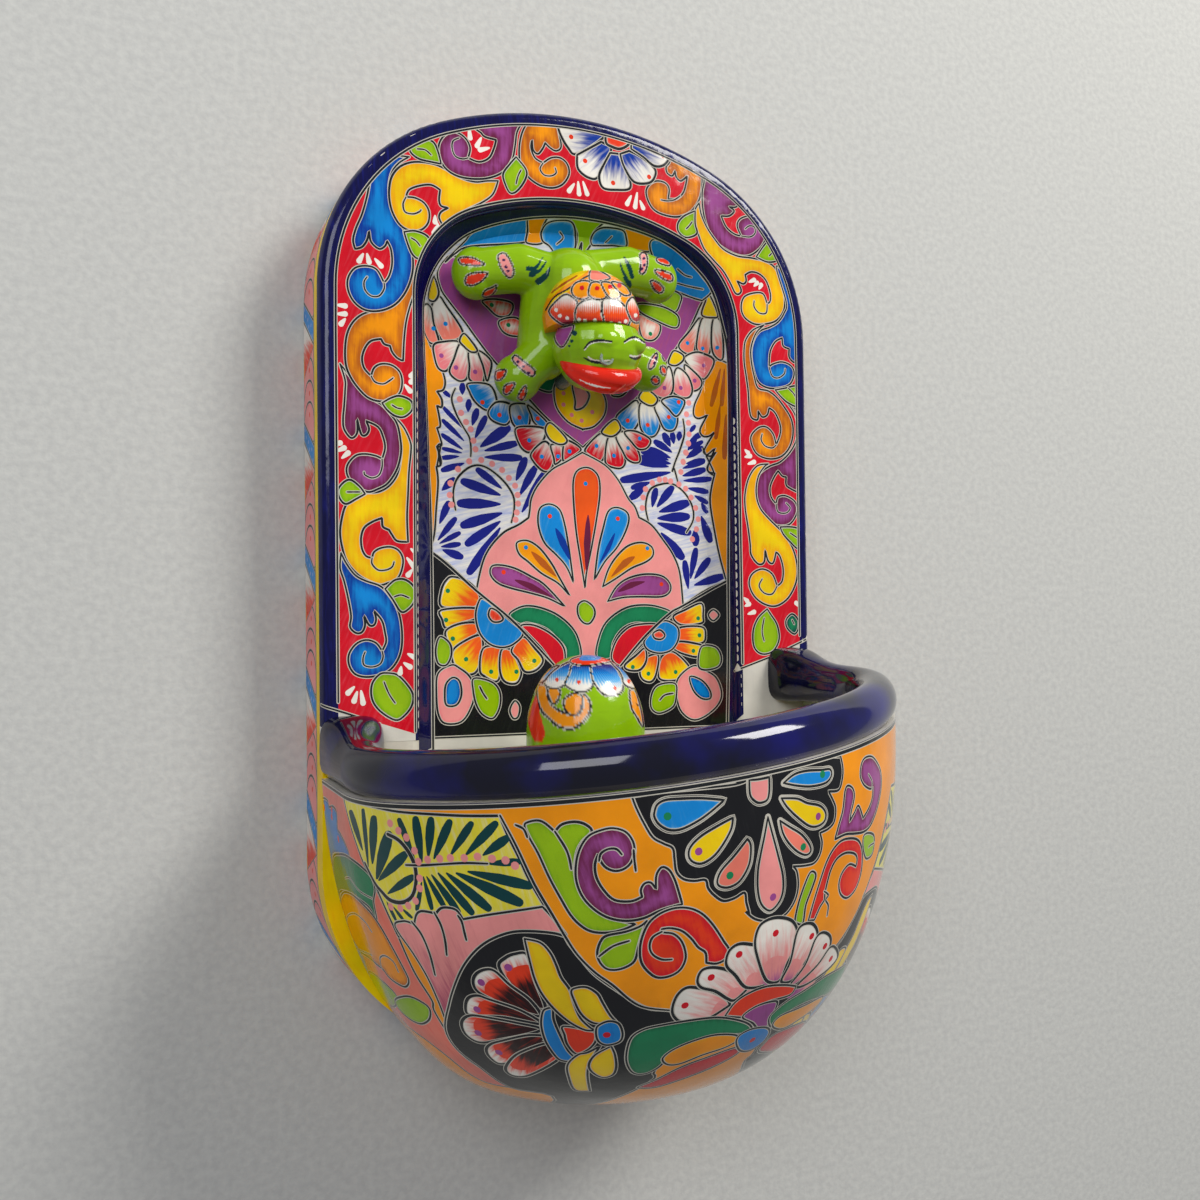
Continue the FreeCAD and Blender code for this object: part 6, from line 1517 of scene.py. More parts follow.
PALMETTE = [
    ("pink", "rose", 0, xy(582.2, 452.5, 582.2, 452.5, 566.3, 461.7, 551.3, 470, 538, 485, 531.3, 498.3,
      529.7, 510, 528.5, 517.8, 528.5, 517.8, 518, 525, 504.7, 531.7, 493, 543.3, 484.7, 556.7,
      479.7, 573.3, 476.3, 590.8, 476.3, 590.8, 508, 616.7, 528, 636.7, 554.7, 665.8, 554.7, 665.8,
      581.3, 660, 620.5, 665.8, 620.5, 665.8, 644.7, 636.7, 669.7, 613.3, 683, 605.7, 683, 605.7,
      679.7, 573.3, 673, 555, 663, 540, 651.3, 525, 638.8, 517.5, 638.8, 517.5, 634.7, 506.7, 628, 498.3,
      618, 480, 604.7, 465)),
    ("fire", "scarlet", 2, xy(584.7, 467.5, 576.3, 471.7, 573, 483.3, 573.8, 506.7, 576.3, 533.3,
      580.5, 560, 585, 588.3, 585, 588.3, 586.3, 573.3, 591.3, 548.3, 596.3, 520, 599.7, 495,
      598.8, 478.3, 593, 470)),
    ("blue", "sky", 1.5, xy(550.5, 504.2, 541.3, 506.7, 538, 515, 538.8, 528.3, 544.7, 543.3, 556.3, 555,
      566.3, 566.7, 573.3, 582.5, 573.3, 582.5, 571.3, 566.7, 568, 543.3, 564.7, 525, 559.7, 510)),
    ("blue", "sky", 1.5, xy(616.3, 507.5, 608, 511.7, 603, 528.3, 598, 550, 594.3, 580, 594.3, 580,
      604.7, 561.7, 616.3, 548.3, 624.7, 533.3, 628.8, 520, 626.3, 511.7)),
    ("orange", "amber", 3, xy(518, 541.7, 528, 540.8, 539.7, 548.3, 551.3, 563.3, 559.7, 578.3,
      569.7, 595.8, 569.7, 595.8, 558, 583.3, 541.3, 573.3, 528, 561.7, 519.7, 555, 516.3, 546.7)),
    ("orange", "amber", 3, xy(602.7, 586.7, 602.7, 586.7, 608, 570, 616.3, 556.7, 628, 545.8,
      641.3, 542.5, 651.3, 546.7, 653, 555, 646.3, 561.7, 631.3, 568.3, 616.3, 578.3)),
    ("purple", "maroon", 2, xy(491.3, 566.7, 499.7, 565, 514.7, 568.3, 531.3, 576.7, 544.7, 585,
      565, 606.7, 565, 606.7, 548, 598.3, 531.3, 593.3, 511.3, 588.3, 498, 583.3, 490.5, 575)),
    ("purple", "maroon", 2, xy(607.7, 601.3, 607.7, 601.3, 616.3, 586.7, 628, 578.3, 644.7, 574.2,
      661.3, 575.8, 669.7, 583.3, 669.7, 591.7, 661.3, 596.7, 641.3, 596.7, 623, 597.5)),
    ("lime", "lime_deep", 2, xy(584.7, 600.8, 593, 606.7, 594.7, 615, 589.7, 623.3, 583, 622.5, 578, 615,
      578, 605)),
    ("green", "green_deep", 2.5, xy(508.8, 615, 521.3, 606.7, 536.3, 606.7, 554.7, 613.3, 569.7, 625,
      578, 638.3, 580.5, 656.7, 566.3, 660, 564.7, 648.3, 556.3, 638.3, 544.7, 628.3, 528, 623.3,
      518.8, 624.2)),
    ("green", "green_deep", 2.5, xy(671.3, 613.3, 658, 606.7, 641.3, 605, 624.7, 608.3, 608, 620,
      599.7, 635, 596.3, 656.7, 611.3, 658.3, 613, 643.3, 621.3, 630, 634.7, 623.3, 657.2, 624.2)),
    ("red", "scarlet", 0, xy(520.5, 625.8, 533, 625, 548, 631.7, 559.7, 641.7, 564.7, 651.7, 563.8, 665,
      554.7, 665.8, 541.3, 648.3, 528, 634.2)),
    ("red", "scarlet", 0, xy(611.3, 658.3, 614.7, 643.3, 623, 631.7, 634.7, 625, 657.2, 624.7,
      644.7, 638.3, 628, 656.7, 619.7, 665.8)),
]
PALMETTE_DABS = [
    ("maroon", 3.2, xy(588, 515, 587.2, 543.3, 586.3, 571.7)),
    ("blue_deep", 3.2, xy(555.5, 528.3, 563, 543.3, 569.7, 560)),
    ("blue_deep", 2, xy(614.7, 533.3, 608, 548.3, 599.7, 563.3)),
    ("maroon", 2.6, xy(514.7, 580, 531.3, 586.7, 551.3, 596.7)),
    ("maroon", 2.6, xy(618, 591.7, 631.3, 585, 644.7, 581.7)),
    ("brown", 3, xy(531.3, 551.7, 543, 563.3, 556.3, 576.7)),
    ("brown", 3, xy(634.7, 556.7, 624.7, 563.3, 611.3, 576.7)),
]
NICHE_DARK = [
    ("black", "black_soft", 0, xy(408, 546.7, 433, 553.3, 476.3, 590.8, 554.7, 665.8, 554.7, 665.8,
      620.5, 665.8, 620.5, 665.8, 683, 605.7, 725.5, 581.7, 754.7, 578.3, 754.7, 733.3, 408, 733.3)),
]
SUNFLOWERS = [
    ("white", "yellow", (499.7, 620.8),
     [xy(453, 576.7, 468, 581.7, 479.7, 595, 476.3, 606.7, 464.7, 607.5, 441.3, 606.7, 441.3, 590,
       446.3, 580), xy(441.3, 610, 476.3, 608.3, 476.3, 618.3, 461.3, 623.3, 446.3, 628.3, 442.2, 620),
      xy(446.3, 630, 461.3, 623.3, 478, 623.3, 478, 633.3, 464.7, 641.7, 451.3, 651.7, 446.3, 640),
      xy(453, 650, 466.3, 640, 479.7, 635, 483, 643.3, 481.3, 660, 474.7, 673.3, 461.3, 673.3, 453, 663.3),
      xy(483, 648.3, 499.7, 646.7, 501.3, 656.7, 499.7, 676.7, 494.7, 681.7, 484.7, 676.7, 479.7, 670),
      xy(501.3, 650, 511.3, 650, 518, 661.7, 521.3, 673.3, 516.3, 683.3, 504.7, 681.7, 499.7, 670),
      xy(511.3, 650, 523, 636.7, 534.7, 648.3, 543, 660, 536.3, 670, 524.7, 671.7, 518, 660)]),
    ("white", "yellow", (659.7, 635),
     [xy(701.3, 603.3, 703, 616.7, 701.3, 623.3, 681.3, 625, 673, 616.7, 684.7, 610),
      xy(701.3, 626.7, 705.5, 635, 701.3, 643.3, 678, 641.7, 678, 628.3),
      xy(703, 646.7, 701.3, 655, 693, 656.7, 674.7, 650, 678, 641.7, 694.7, 643.3),
      xy(673, 651.7, 688, 665, 688, 673.3, 678, 680, 661.3, 680, 658, 671.7, 661.3, 656.7),
      xy(658, 655, 656.3, 673.3, 651.3, 681.7, 643, 680, 639.7, 671.7, 644.7, 658.3),
      xy(644.7, 648.3, 646.3, 660, 639.7, 670, 628, 670, 624.7, 665, 636.3, 655)]),
]
CORNER_FIGURES = [
    ("blue", "sky", 0, xy(483, 598.3, 496.3, 608.3, 509.7, 620, 523, 632.5, 514.7, 643.3, 503, 647.5,
      489.7, 644.2, 479.7, 633.3, 475.5, 616.7, 478, 603.3)),
    ("scarlet", "salmon", 1.5, xy(491.3, 608.3, 498, 611.7, 503, 618.3, 499.7, 621.7, 493, 621.7,
      488.8, 616.7, 488.8, 611.7)),
    ("blue", "sky", 0, xy(661.3, 621.7, 669.7, 621.7, 678, 628.3, 678, 640, 671.3, 650, 659.7, 653.3,
      648, 650, 643.8, 641.7, 651.3, 631.7)),
    ("scarlet", "salmon", 1.5, xy(653, 633.3, 659.7, 630, 664.7, 635, 661.3, 639.2, 654.7, 638.3)),
    ("pink", "rose", 2, xy(451.3, 665, 438, 673.3, 436.3, 693.3, 438, 713.3, 444.7, 723.3, 461.3, 721.7,
      471.3, 706.7, 474.7, 690, 469.7, 676.7, 459.7, 668.3)),
    ("blue", "blue_deep", 2, xy(453, 677.5, 459.7, 681.7, 461.3, 695, 456.3, 705, 446.3, 705,
      444.7, 693.3, 446.3, 683.3)),
    ("pink", "rose", 2, xy(693, 665.8, 678, 678.3, 676.3, 695, 681.3, 711.7, 694.7, 720, 711.3, 711.7,
      721.3, 696.7, 716.3, 678.3, 704.7, 670)),
    ("blue", "blue_deep", 2, xy(689.7, 676.7, 701.3, 680, 709.7, 690, 709.7, 698.3, 701.3, 698.3, 693, 690)),
    ("lime", "lime_deep", 2, xy(473.8, 678.3, 491.3, 681.7, 499.7, 691.7, 499.7, 706.7, 493, 718.3,
      483, 715, 476.3, 705, 473, 690)),
    ("lime", "lime_deep", 2, xy(439.7, 636.7, 449.7, 643.3, 451.3, 655, 446.3, 665, 438, 663.3, 435.5, 650)),
    ("lime", "lime_deep", 2, xy(674.7, 683.3, 658, 685, 651.3, 695, 651.3, 708.3, 659.7, 713.3,
      673, 706.7, 676.3, 695)),
    ("lime", "lime_deep", 2, xy(701.3, 646.7, 714.7, 646.7, 721.3, 656.7, 718, 666.7, 704.7, 670, 698, 665)),
    ("pink", "rose", 1, xy(514.7, 700.8, 519.7, 706.7, 518, 716.7, 513, 718.3, 509.7, 710)),
    ("pink", "rose", 1, xy(713, 609.7, 718.8, 615, 713, 620.8, 708, 615)),
]
CORNER_LINES = [
    (0.7, xy(479.7, 686.7, 483, 693.3, 486.7, 698.7)),
    (0.7, xy(673, 693.3, 664.7, 695, 659.7, 700)),
    (0.6, xy(559.4, 232.1, 563, 237.9, 556.6, 244.3)),
    (0.5, xy(611.4, 236.4, 607.9, 240, 605, 242.9)),
    (0.6, xy(677.1, 269.3, 684.3, 275, 691.4, 277.1)),
    (0.6, xy(672.9, 282.1, 688.6, 286.4, 702.9, 289.3)),
]
CORNER_EDGES = [
    xy(408, 531.7, 433, 553.3, 476.3, 590.8, 508, 616.7, 528, 636.7, 554.7, 665.8),
    xy(620.5, 665.8, 644.7, 636.7, 669.7, 613.3, 683, 605.7, 725.5, 581.7, 754.7, 563.3),
]
NICHE_EDGE = xy(433, 748, 433, 740, 432, 600, 430, 500, 427, 420, 424, 350, 423, 311, 426, 290, 434, 269,
     449, 249, 475, 231, 523, 219, 575, 218, 627, 228, 668, 245, 696, 269, 713, 293, 723, 328, 728, 362,
     729, 438, 728, 560, 728, 650, 727, 735, 727, 745)

# The niche: a place on it is (x, z) of its back, with the sloping wall round it laid out flat
NICHE_FLAT = BORDER + NICHE_SLOPE
WALL_RUN = NICHE_SLOPE * math.sqrt(2)
NICHE_END = -338.0
PAINT_END = -331.0
TUBE_AT = (-9.0, -103.0)
TUBE_CLEAR = 5.0
HALF_RIGHT = math.sqrt(0.5)
NICHE_BENDS = (59.0, 63.0, 67.0, 71.0, 72.0)


def on_niche(pixels):
    """Where places in the photograph lie on the niche's back or on its sloping wall."""
    plan = on_face(pixels, NICHE_Y)
    done = np.zeros(len(plan), bool)
    for step in np.linspace(0, NICHE_SLOPE, 25):
        hit = on_face(pixels, NICHE_Y - NICHE_SLOPE + step)
        inset, out = arch_inset(hit)
        wall = (inset < BORDER + step) & ~done
        laid = NICHE_FLAT - (NICHE_FLAT - inset) * math.sqrt(2)
        plan[wall] = (hit + out * (inset - laid)[:, None])[wall]
        done |= wall
    return plan


def niche_place(plan, lift=LIFT):
    """Where places of the niche's plan lie on the clay, its sloping wall folded up again."""
    q, out = arch_inset(plan)
    up = np.clip(NICHE_FLAT - q, 0, None)
    tilt = np.clip(up, 0, 1) * HALF_RIGHT
    move = up * (1 - HALF_RIGHT) + lift * tilt
    moved = plan - out * move[:, None]
    y = NICHE_Y - up * HALF_RIGHT - lift * (1 - (1 - HALF_RIGHT) * np.clip(up, 0, 1))
    return np.column_stack([moved[:, 0], y, moved[:, 1]])


def brush(sheet, line, wide, colour):
    """A brush stroke that swells and thins again."""
    sheet.fill(sheet.ribbon(line, [0.3, wide * 0.6, wide * 0.8, wide * 0.5, 0.2], False), TINT[colour])


def niche_step(q):
    """Short edges on the sloping wall, long ones on the back."""
    return np.where(arch_inset(q)[0] < NICHE_FLAT + 2, 2.0, 8.0)


def niche():
    """The niche's back and its sloping wall: feathers, flowers and a palmette under the frog."""
    sheet = Sheet()
    whole = arch_line(NICHE_FLAT - WALL_RUN - 1, NICHE_END - 1)
    sheet.fill(whole, WHITE, LAVENDER, streak=0.45, way=(1, 0.25), level=0.38)
    leaves(sheet, FEATHERS, on_niche, "cobalt")
    strokes(sheet, FEATHER_LINES, on_niche)
    dots(sheet, [("pink", FEATHER_BEADS)], on_niche, 2.1)
    figures(sheet, NICHE_SIDES, on_niche)
    leaves(sheet, SIDE_STROKES, on_niche, "brown")
    figures(sheet, NICHE_VEE, on_niche, same, 0.45, 0.15)
    for tip, root_colour, root, petals in HALF_FLOWERS:
        for outline in petals:
            shape, middle = curve(on_niche(outline), True), on_niche([root])[0]
            petal(sheet, shape, middle, (tip, tip, root_colour), 0.8, 0.45, 0.65, 1.7)
    figures(sheet, FLOWER_CENTRES, on_niche)
    figures(sheet, NICHE_TOP, on_niche)
    figures(sheet, NICHE_DARK, on_niche)
    figures(sheet, PALMETTE, on_niche)
    for colour, wide, line in PALMETTE_DABS:
        brush(sheet, curve(on_niche(line)), wide, colour)
    for tip, middle, root, petals in SUNFLOWERS:
        for outline in petals:
            shape, centre = curve(on_niche(outline), True), on_niche([root])[0]
            petal(sheet, shape, centre, (tip, middle, "fire"), 0.86, 0.45, 0.7, 2.6, 1.0)
    figures(sheet, CORNER_FIGURES, on_niche)
    strokes(sheet, CORNER_LINES, on_niche)
    strokes(sheet, [(0.9, line) for line in CORNER_EDGES], on_niche)
    dots(sheet, NICHE_DOTS, on_niche, 1.5)
    far = PANEL_HALF
    sheet.fill(box(-far, PAINT_END, far, NICHE_END - 2), CREAM)
    sheet.draw(np.array([(-far, PAINT_END), (0, PAINT_END), (far, PAINT_END)]))
    within = curve(on_niche(NICHE_EDGE))
    sheet.fill(np.vstack([whole[:-FOOT_STEPS], within]), COBALT, COBALT_LIGHT, streak=0.5)
    sheet.draw(within, 0.7)
    hole = np.array(TUBE_AT) + TUBE_CLEAR * circle(16)
    border = [arch_line(NICHE_FLAT - WALL_RUN, NICHE_END), hole]
    bends = [arch_line(q, NICHE_END)[:-FOOT_STEPS] for q in NICHE_BENDS]
    paint("niche_glaze", sheet, border, niche_place, lambda p: niche_place(p, LIFT - SKIN),
          GLAZE, bends, [q[::2] for q in bends], niche_step)


# The rim: a rolled coil whose ends swell into horns against the front
RIM_WIDE = 25.0
RIM_TALL = 27.0
RIM_INSET = 11.5
RIM_SEAT = 3.0
HORN_RISE = 10.0
HORN_RUN = 26.0
HORN_SPREAD = 12.0
COIL_SIDES = 28
HORN_SQUARE = 0.45
RIM_SHARP = math.radians(50)


def rim_level(x, y):
    """Height of the rim's seat, which rises to the right and a little to the wall."""
    return RIM_Z + RIM_SLOPE_X * x + RIM_SLOPE_Y * (y - FACE_Y)


def tube_faces(rings, sides):
    """Faces of a closed tube of rings, with a flat end at each side."""
    faces = []
    for i in range(rings - 1):
        for k in range(sides):
            a, b = i * sides + k, i * sides + (k + 1) % sides
            faces.append((a, b, b + sides, a + sides))
    return faces + [tuple(range(sides))[::-1], tuple(range((rings - 1) * sides, rings * sides))]


def rim():
    """The coil, seated on the bowl's sloping edge."""
    half = plan_line(RIM_INSET, 60)
    path = np.vstack([np.column_stack([-half[:, 0], half[:, 1]])[::-1][:-1], half])
    along = np.gradient(path, axis=0)
    along /= np.hypot(*along.T)[:, None]
    inward = np.column_stack([-along[:, 1], along[:, 0]])
    inward *= np.where((inward * (path - [0, BASIN_REACH / 2])).sum(1) > 0, -1, 1)[:, None]
    horn = np.exp(-(path[:, 1] / HORN_RUN)**2)
    tall, spread_in = (RIM_TALL + HORN_RISE * horn) / 2, HORN_SPREAD * horn / 2
    verts = []
    for p, n, h, s in zip(path, inward, tall, spread_in):
        for turn in np.linspace(0, 2 * math.pi, COIL_SIDES, endpoint=False):
            square = 1 - HORN_SQUARE * min(1.0, s / HORN_SPREAD * 2)
            across, up = (math.copysign(abs(f)**square, f) for f in (math.cos(turn), math.sin(turn)))
            off = s + (RIM_WIDE / 2 + s) * across
            x, y = p[0] + n[0] * off, FACE_Y - (p[1] + n[1] * off)
            centre = rim_level(p[0], FACE_Y - p[1]) + h - RIM_SEAT
            verts.append((x, min(y, FACE_Y), max(centre + h * up, rim_level(x, y))))
    mesh = bpy.data.meshes.new("rim")
    mesh.from_pydata((np.asarray(verts) * MM).tolist(), [], tube_faces(len(path), COIL_SIDES))
    mesh.materials.append(COBALT_GLAZE)
    mesh.shade_smooth()
    mesh.set_sharp_from_angle(angle=RIM_SHARP)
    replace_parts(add_piece("rim", mesh, "fountain"), "basin_rim")


# The shell's side: a place on it is (way round from the top of the arch, way back from the front face);
# less than nothing back lies on the front face itself, beside the bowl
ARCH_RISE = 157.0
ARCH_STRAIGHT = 27.0
BELLY_DROP = 178.0
BELLY_STRAIGHT = 45.0
BELLY_SHOULDER = 110.0
SIDE_REPEAT = 75.0
SIDE_START = 14.0
SIDE_FRONT = 6.5
YELLOW_EDGE = 16.0
SIDE_BACK = 47.4
FOOT_BARE = 34.0
FACE_LAP = 4.0
FACE_REACH = -40
SIDE_STEPS = 260
SIDE_LINES = (12.0, 22.0, 32.0, 42.0)
SIDE_END = 49
TURN_GAP = 0.01
LOBE = [(12, 48.5), (3, 42), (0, 33), (3, 23), (11, 17), (26, 17), (26, 48.5)]
LOBES_AT = (38, 52, 65)
BEADS_AT = ((5, 45), (10, 41), (14, 34), (19, 31), (20, 24), (27, 21))
STRIPE = [(-1, 49), (20, 15), (34, 15), (11, 49)]
WEDGE = [(11, 49), (34, 15.5), (49, 49)]
STRIP = [(26, 49), (36, 45.5), (46, 45), (56, 49)]


def shell_path():
    """The shell's edge from the top of the arch down one side to the middle underneath, as (across, z)."""
    top = oval_line(PANEL_HALF, ARCH_RISE, ARCH_STRAIGHT, SHOULDER_R) + [0, SPRING_Z]
    low = oval_line(PANEL_HALF - HIP_TAPER, BELLY_DROP, BELLY_STRAIGHT, BELLY_SHOULDER)
    low = low[::-1] * [1, -1] + [0, SPRING_Z - SIDE_RUN]
    path = np.vstack([top, low])
    run = running(path)
    at = np.linspace(0, run[-1], 360)
    return at, np.column_stack([np.interp(at, run, path[:, 0]), np.interp(at, run, path[:, 1])])


SIDE_AT, SIDE_PATH = shell_path()
SIDE_WAY = np.gradient(SIDE_PATH, axis=0)
SIDE_OUT = np.column_stack([-SIDE_WAY[:, 1], SIDE_WAY[:, 0]]) / np.hypot(*SIDE_WAY.T)[:, None]


def side_place(plan, lift=LIFT):
    """Where places of the side's plan lie on the shell's edge or beside it on the front."""
    s, hand = np.abs(plan[:, 0]), np.where(plan[:, 0] < 0, -1.0, 1.0)
    x, z, out_x, out_z = (np.interp(s, SIDE_AT, v) for v in (*SIDE_PATH.T, *SIDE_OUT.T))
    back, over = np.maximum(plan[:, 1], 0), np.minimum(plan[:, 1], 0)
    y = FACE_Y + back - lift * (1 - np.minimum(back, 1))
    return np.column_stack([(x + out_x * (lift + over)) * hand, y, z + out_z * (lift + over)])


def side_unit(sheet, hand, start):
    """One length of the side's pattern: three lobes, a beaded stripe, a fading wedge and a low strip."""
    def put(places):
        q = np.array(places, float)
        return np.column_stack([hand * np.maximum(start + q[:, 0], 0), q[:, 1]])

    for u in LOBES_AT:
        lobe = curve(put([(u + x, y) for x, y in LOBE]), True)
        sheet.figure(lobe, PINK, TINT["rose"], 4, 0.35, level=0.1)
        sheet.fill(put(1.7 * circle(10) + [u + 8, 30]), SCARLET)
    sheet.figure(put(STRIPE), BLUE, BLUE_DEEP, 0, 0.3)
    for bead in BEADS_AT:
        sheet.fill(put(1.3 * circle(9) + bead), LAVENDER)
    wedge = put(WEDGE)
    fade = lambda q: np.clip((np.abs(q[:, 0]) - start - 22) / 16, 0, 1)
    sheet.fill(wedge, WHITE, SCARLET, fade, 0.5, (0.6 * hand, -1), 0, spread(wedge, 3))
    sheet.edge(wedge)
    sheet.fill(put(STRIP), ORANGE)


def side():
    """The side's repeating pattern behind a yellow edge, which widens on the front beside the bowl."""
    sheet = Sheet()
    end = SIDE_AT[-1] - FOOT_BARE
    out = end + 1
    sheet.fill(box(-out, 0, out, SIDE_END), PINK, TINT["rose"], streak=0.4, level=0.1)
    for hand in (-1, 1):
        for k in range(-1, 10):
            side_unit(sheet, hand, SIDE_START + k * SIDE_REPEAT)
    for near, far in ((FACE_REACH, 0), (0, YELLOW_EDGE)):
        sheet.fill(box(-out, near, out, far), YELLOW, AMBER, streak=0.4, way=(1, 0), level=0.1)
    sheet.draw(np.column_stack([np.linspace(-out, out, 200), np.full(200, YELLOW_EDGE)]))
    low = np.interp(-FRONT_FOOT, -SIDE_PATH[:, 1], SIDE_AT)
    turns = [-low - TURN_GAP, TURN_GAP - low, low - TURN_GAP, low + TURN_GAP]
    s = np.sort(np.concatenate([np.linspace(-end, end, SIDE_STEPS), turns]))
    edge = np.column_stack([BASIN_HALF * OUT_SHARE, OUT_LEVEL])
    shell = np.column_stack([np.interp(np.abs(s), SIDE_AT, v) for v in SIDE_PATH.T])
    bare = np.hypot(*(shell[:, None] - edge[None]).transpose(2, 0, 1)).min(1)
    t = np.where(np.abs(s) < low, SIDE_FRONT, -bare - FACE_LAP)
    back = np.column_stack([s[::-1], np.full(len(s), SIDE_BACK)])
    border = np.vstack([np.column_stack([s, t]), back])
    lines = [np.column_stack([s, np.full(len(s), v)]) for v in SIDE_LINES]
    paint("side_glaze", sheet, [border], side_place, lambda p: side_place(p, LIFT - SKIN),
          SIDE_GLAZE, lines, lines[1::2])


# The figures on the frog and on the pump cover's dome, in the same pixels: colour, outline and half width of
# its dark line; dots have a radius, strokes their half widths
FROG_FIGURES = [
    ("scarlet", xy(458.6, 259.3, 462.9, 257.1, 472.9, 257.9, 481.4, 262.1, 484.3, 264.3, 477.1, 265.7,
      467.1, 265, 460.7, 263.6), 0.9),
    ("scarlet", xy(465, 281.4, 467.1, 275.7, 474.3, 272.9, 487.1, 272.9, 482.9, 280, 474.3, 285,
      467.1, 285), 0.9),
    ("scarlet", xy(482.9, 294.3, 485.7, 290, 492.9, 287.1, 496.4, 285, 495, 291.4, 490, 296.4,
      484.3, 297.1), 0.9),
    ("scarlet", xy(656.4, 259.3, 658.6, 257.1, 665.7, 257.9, 670, 262.1, 669.3, 265.7, 662.9, 264.3,
      657.9, 262.1), 0.9),
    ("scarlet", xy(655, 270, 662.9, 270.7, 671.4, 274.3, 672.9, 279.3, 670, 281.4, 662.9, 278.6,
      657.1, 274.3), 0.9),
    ("scarlet", xy(650.7, 280.7, 657.1, 282.1, 662.9, 287.1, 662.9, 291.4, 658.6, 292.9, 653.6, 288.6),
     0.9),
    ("scarlet", xy(495, 374.3, 497.1, 370.7, 505.7, 370, 504.3, 375.7, 500, 380, 495.7, 379.3), 0.9),
    ("scarlet", xy(503.6, 390, 505.7, 385, 514.3, 382.9, 512.9, 388.6, 507.9, 394.3, 504.3, 393.6), 0.9),
    ("scarlet", xy(517.9, 397.1, 521.4, 390, 525.7, 385.7, 525.7, 394.3, 522.1, 400), 0.9),
    ("scarlet", xy(660.7, 367.1, 664.3, 366.4, 667.1, 370.7, 665.7, 375, 661.4, 372.9), 0.9),
    ("scarlet", xy(651.4, 380, 654.3, 376.4, 658.6, 378.6, 658.6, 383.6, 654.3, 384.3), 0.9),
    ("scarlet", xy(662.1, 355.7, 665, 355.7, 666.4, 359.3, 664.3, 360.7), 0.9),
    ("pink", xy(497.9, 257.1, 500.7, 253.6, 505, 253.6, 510, 260, 513.6, 270, 512.9, 275.7, 509.3, 277.9,
      505, 274.3, 500.7, 267.1), 0.9),
    ("pink", xy(640, 254.3, 645, 252.9, 647.1, 257.1, 647.1, 265.7, 644.3, 272.9, 640, 272.9, 640.7, 264.3),
     0.9),
    ("pink", xy(512.9, 357.1, 516.4, 355.7, 525.7, 362.9, 534.3, 370, 534.3, 375, 530, 375.7,
      521.4, 369.3, 513.6, 361.4), 0.9),
    ("pink", xy(656.4, 352.9, 657.1, 357.1, 654.3, 365.7, 650, 369.3, 648.6, 365.7, 651.4, 358.6), 0.9),
]
FROG_DOTS = [
    ("purple_dark", 1.5, xy(503.6, 260, 506.1, 266.9, 508.1, 271, 643.9, 258.3, 644.6, 265, 642.1, 268.9,
      517.9, 361.7, 523.3, 366.4, 528.6, 372.9, 656, 357.9, 654.6, 362.9)),
]
FROG_STROKES = [
    ("teal", xy(528.6, 268.6, 535.7, 267.9, 542.9, 257.1), [2.8, 1.7, 0.5]),
    ("teal", xy(531.4, 274.3, 540, 270, 546.4, 260.7), [3.3, 1.5, 0.5]),
    ("teal", xy(538.6, 281.4, 545.7, 275.7, 550, 267.1), [3.6, 2.8, 0.6]),
    ("teal", xy(624.3, 257.1, 628.6, 265.7, 632.1, 277.1), [0.5, 2.2, 2.0]),
    ("teal", xy(620, 262.9, 622.9, 271.4, 627.1, 278.6), [0.5, 1.4, 1.2]),
    ("teal", xy(623.6, 277.1, 628.6, 282.9, 630, 286.4), [0.8, 3, 1.5]),
]
HEAD_FIGURES = [
    ("purple", xy(553.6, 330, 555.7, 325.7, 562.9, 327.1, 573.6, 325.7, 568.6, 338.6, 562.1, 347.1,
      555.7, 341.4), 0.9),
]
HEAD_DOTS = [
    ("teal", 2.6, [(574.6, 333.1)]), ("teal", 1.6, [(571.7, 341.1)]), ("teal", 1.3, [(569.3, 346)]),
]
HEAD_STROKES = [
    ("white", xy(584.6, 349.9, 590, 343.6, 600, 341.4, 611.4, 342.8), [0.62, 1.12, 0.62]),
    ("ink", xy(584.3, 348.8, 590, 342.5, 600, 340.2, 612.1, 341.6), [0.75, 1.35, 0.75]),
    ("white", xy(624.6, 342.9, 630, 339.4, 635.7, 338.6, 644.3, 343.6), [0.62, 1.12, 0.62]),
    ("ink", xy(624.3, 341.8, 630, 338.2, 635.7, 337.5, 645, 342.5), [0.75, 1.35, 0.75]),
    ("white", xy(588.6, 357.1, 592.9, 360.2, 601.4, 361.1, 610, 360.2), [0.75, 1.12, 0.62]),
    ("ink", xy(584, 357.8, 591.4, 361.4, 601.4, 362.8, 610.3, 362.2), [0.6, 1.5, 0.6]),
    ("white", xy(630, 355.4, 635.7, 356.8, 642.1, 354.2), [0.75, 1.12, 0.62]),
    ("ink", xy(629.7, 357.1, 635.7, 358.8, 643.6, 355.1), [0.6, 1.5, 0.75]),
    ("ink", xy(565, 367.8, 577.1, 368.2, 590, 372.5, 604.3, 375.6, 622.9, 374.2, 640, 368.5, 646.9, 362.8),
     [1.5, 1.8, 1.5]),
    ("lips", xy(567.1, 372.1, 577.1, 372.9, 590, 377.4, 604.3, 380.3, 622.9, 378.9, 640, 373.4,
      646.4, 367.9), [2.2, 3.6, 2.0]),
]
